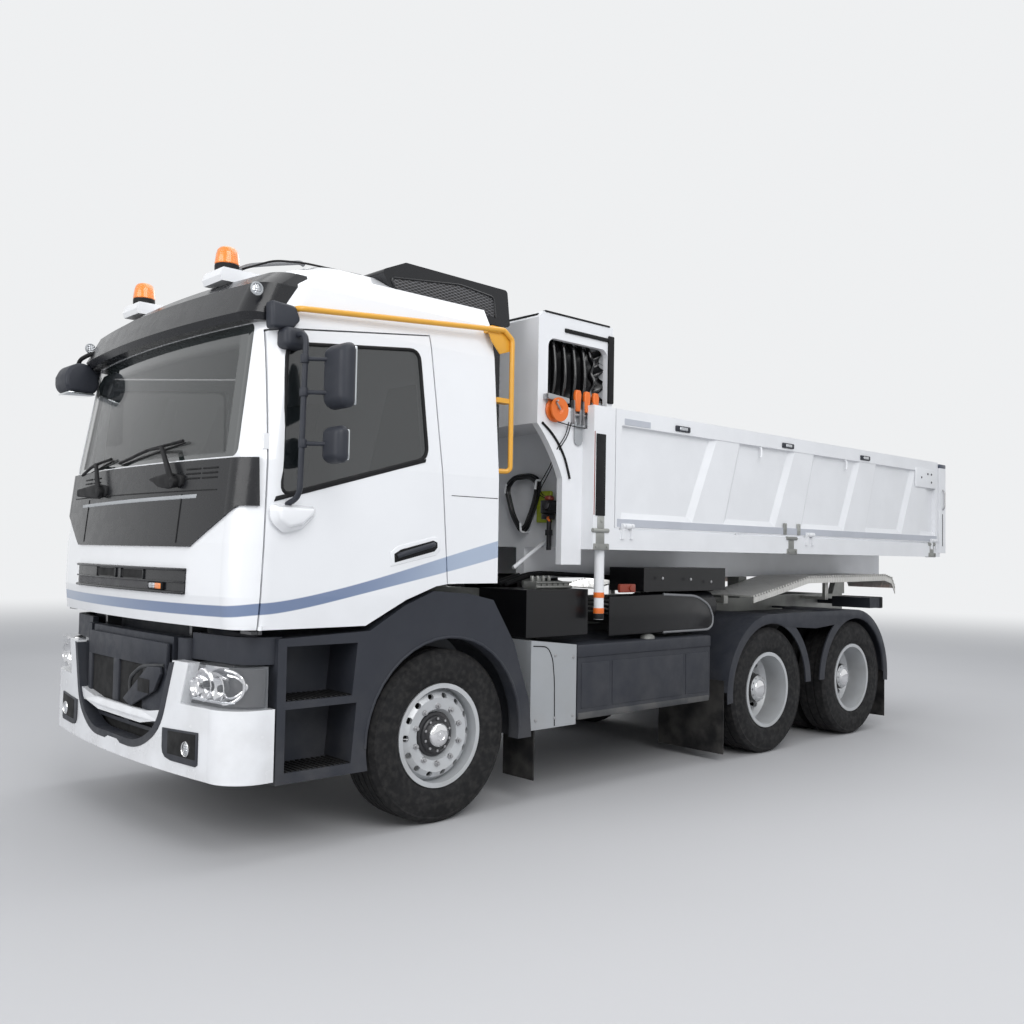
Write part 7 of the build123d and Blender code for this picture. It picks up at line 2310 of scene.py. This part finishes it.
@dataclass
class BedBody:
    """Hinges, sills, struts and pillar kit of the tipping body."""

    body: str = "bed"
    hinge_places: tuple[float, ...] = (-1.265, -3.64, -6.28)
    sills: tuple[Point, ...] = ((1.222, 1.640, 0.030), (1.226, 1.706, 0.024))
    strut: tuple[float, float] = (1.235, 1.2)
    strut_radius: float = 0.0365
    pillar_x: float = -3.945
    handle: Profile = ((1.272, 2.30), (1.292, 2.27), (1.292, 2.12), (1.272, 2.09))

    def hinges(self, side: int) -> None:
        """Castings and pins of the drop side's hinges, and the front post's foot."""
        word, parts = SIDE_NAMES[side], []
        for place in self.hinge_places:
            for name, corners in (
                ("base", ((place - 0.085, 1.215, 1.605), (place + 0.070, 1.262, 1.650))),
                ("web", ((place - 0.040, 1.225, 1.64), (place + 0.045, 1.260, 1.722))),
            ):
                parts.append(Bench.block(name, *spots(side, corners), 0.006))
            ends = spots(side, ((place - 0.078, 1.256, 1.737), (place + 0.078, 1.256, 1.737)))
            parts.append(Bench.rod("pin", *ends, 0.015, 0.003, 20))
            for spot in (place - 0.062, place + 0.048):
                ends = spots(side, ((spot, 1.260, 1.628), (spot, 1.268, 1.628)))
                parts.append(Bench.rod("bolt", *ends, 0.011, 0.002, 6))
        place = self.hinge_places[0]
        corners = spots(side, ((place - 0.030, 1.250, 1.750), (place + 0.032, 1.266, 1.832)))
        parts.append(Bench.block("post", *corners, 0.006))
        ends = spots(side, ((place, 1.264, 1.800), (place, 1.272, 1.800)))
        parts.append(Bench.rod("bolt", *ends, 0.012, 0.002, 6))
        fit(Bench.join(f"side_hinges_{word}", parts), "galvanised", self.body)
        sill = [
            Bench.tube("sill", [(ahead(-1.36), side * y, z), (-3.86, side * y, z)], radius, 0.0, 5)
            for y, z, radius in self.sills
        ]
        fit(Bench.join(f"sill_rails_{word}", sill), "bed_white", self.body)

    def strut_trim(self, side: int) -> None:
        """Orange bands and rubber foot of the upright strut."""
        word, (x, y) = SIDE_NAMES[side], self.strut
        tape = [
            Bench.rod("tape", (x, side * y, z), (x, side * y, z + 0.036), self.strut_radius, 0.001)
            for z in (1.180, 1.285)
        ]
        fit(Bench.join(f"strut_tape_{word}", tape), "orange", self.body)
        ends = ((x, side * y, 1.141), (x, side * y, 1.180))
        fit(Bench.rod(f"strut_foot_{word}", *ends, self.strut_radius, 0.004), "rubber", self.body)

    def pillar(self, side: int) -> None:
        """Handle, cap and slit of the rear pillar, and the reflectors along the body."""
        word = SIDE_NAMES[side]
        line = [(self.pillar_x, side * y, z) for y, z in self.handle]
        fit(Bench.tube(f"pillar_handle_{word}", line, 0.008, 0.02, 2), "steel", self.body)
        low, high = (-4.013, side * 1.165, 2.518), (-3.870, side * 1.274, 2.560)
        fit(Bench.block(f"pillar_cap_{word}", low, high, 0.010, 3), "cap_blue", self.body)
        low, high = (-3.950, side * 1.266, 1.72), (-3.938, side * 1.2725, 2.05)
        fit(Bench.block(f"pillar_slit_{word}", low, high, 0.002, 1), "rubber", self.body)
        first = Bench.block("reflector", *spots(side, ((-1.6, 1.232, 1.640), (-1.70, 1.240, 1.668))))
        row = Bench.repeat(f"side_reflectors_{word}", first, [(-1.5, 0, 0), (-3.0, 0, 0), (-4.4, 0, 0)])
        fit(row, "reflector_orange", self.body)

    def build(self) -> None:
        """Dress both sides of the body."""
        for side in SIDES:
            self.hinges(side)
            self.strut_trim(side)
            self.pillar(side)


@dataclass
class Tail:
    """Tail lamps, bare plate, tailgate ribs and latches."""

    sections: tuple[tuple[str, str, float, float], ...] = (
        ("amber", "lamp_amber", 0.905, 1.012), ("red", "lamp_red", 0.790, 0.897),
        ("white", "lamp_clear", 0.712, 0.782), ("rear_red", "lamp_red", 0.634, 0.704),
    )

    def lamps(self, side: int) -> None:
        """Divided lens and housing of a tail lamp."""
        word = SIDE_NAMES[side]
        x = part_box("rear_lamps")[0].x
        low, high = (x - 0.003, side * 0.612, 1.095), (x + 0.05, side * 1.028, 1.205)
        fit(Bench.block(f"tail_housing_{word}", low, high, 0.010, 3), "rubber", "chassis")
        for name, finish, inner, outer in self.sections:
            low, high = (x - 0.016, side * inner, 1.106), (x + 0.01, side * outer, 1.194)
            fit(Bench.block(f"tail_lens_{name}_{word}", low, high, 0.010, 3), finish, "chassis")

    def plate(self) -> None:
        """Bare number plate and its holder, and the reflectors of the underrun beam."""
        low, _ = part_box("rear_underrun")
        plate = Bench.block("number_plate", (low.x - 0.010, -0.26, 0.930), (low.x - 0.004, 0.26, 1.042), 0.003, 2)
        back = Bench.block("plate_holder", (low.x - 0.005, -0.275, 0.915), (low.x + 0.004, 0.275, 1.055), 0.004, 2)
        fit(back, "rubber", "chassis")
        fit(plate, "plate_white", "chassis")
        reflect = Bench.block("reflect", (-3.171, 0.86, 0.515), (-3.160, 0.98, 0.555), 0.004, 2)
        fit(Bench.repeat("underrun_reflectors", reflect, [(0.0, -1.84, 0.0)]), "reflector_red", "chassis")

    def gate(self) -> None:
        """Ribs and catches of the tailgate."""
        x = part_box("tailgate")[0].x
        rib = Bench.block("rib", (x - 0.018, -1.10, 1.82), (x + 0.004, 1.10, 1.89), 0.010, 3)
        ribs = Bench.repeat("tailgate_ribs", rib, [(0, 0, 0.20), (0, 0, 0.40), (0, 0, 0.575)])
        fit(ribs, "bed_white", "tailgate")
        hooks = []
        for side in SIDES:
            hooks.append(Bench.block("hook", (x - 0.020, side * 1.02, 1.69), (x + 0.004, side * 1.12, 1.76), 0.008, 2))
            ends = [(x - 0.010, side * y, 1.72) for y in (1.10, 1.165)]
            hooks.append(Bench.rod("pin", *ends, 0.016, 0.003, 16))
        fit(Bench.join("tailgate_catches", hooks), "galvanised", "tailgate")

    def build(self) -> None:
        """Make the tail of the truck."""
        for side in SIDES:
            self.lamps(side)
        self.plate()
        self.gate()


ASSEMBLIES = (Wheels, Cab, Mirrors, Doors, FrontEnd, Steps, SideKit, Headboard, SideFlap, BedBody, Tail)


def main() -> None:
    """Build the truck's pieces in order."""
    logging.basicConfig(level=logging.INFO, format="%(message)s")
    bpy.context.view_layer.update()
    Studio().build()
    Dressing().build()
    for part in ASSEMBLIES:
        part().build()
        log.info("%s is built", part.__name__)


if __name__ == "__main__":
    main()
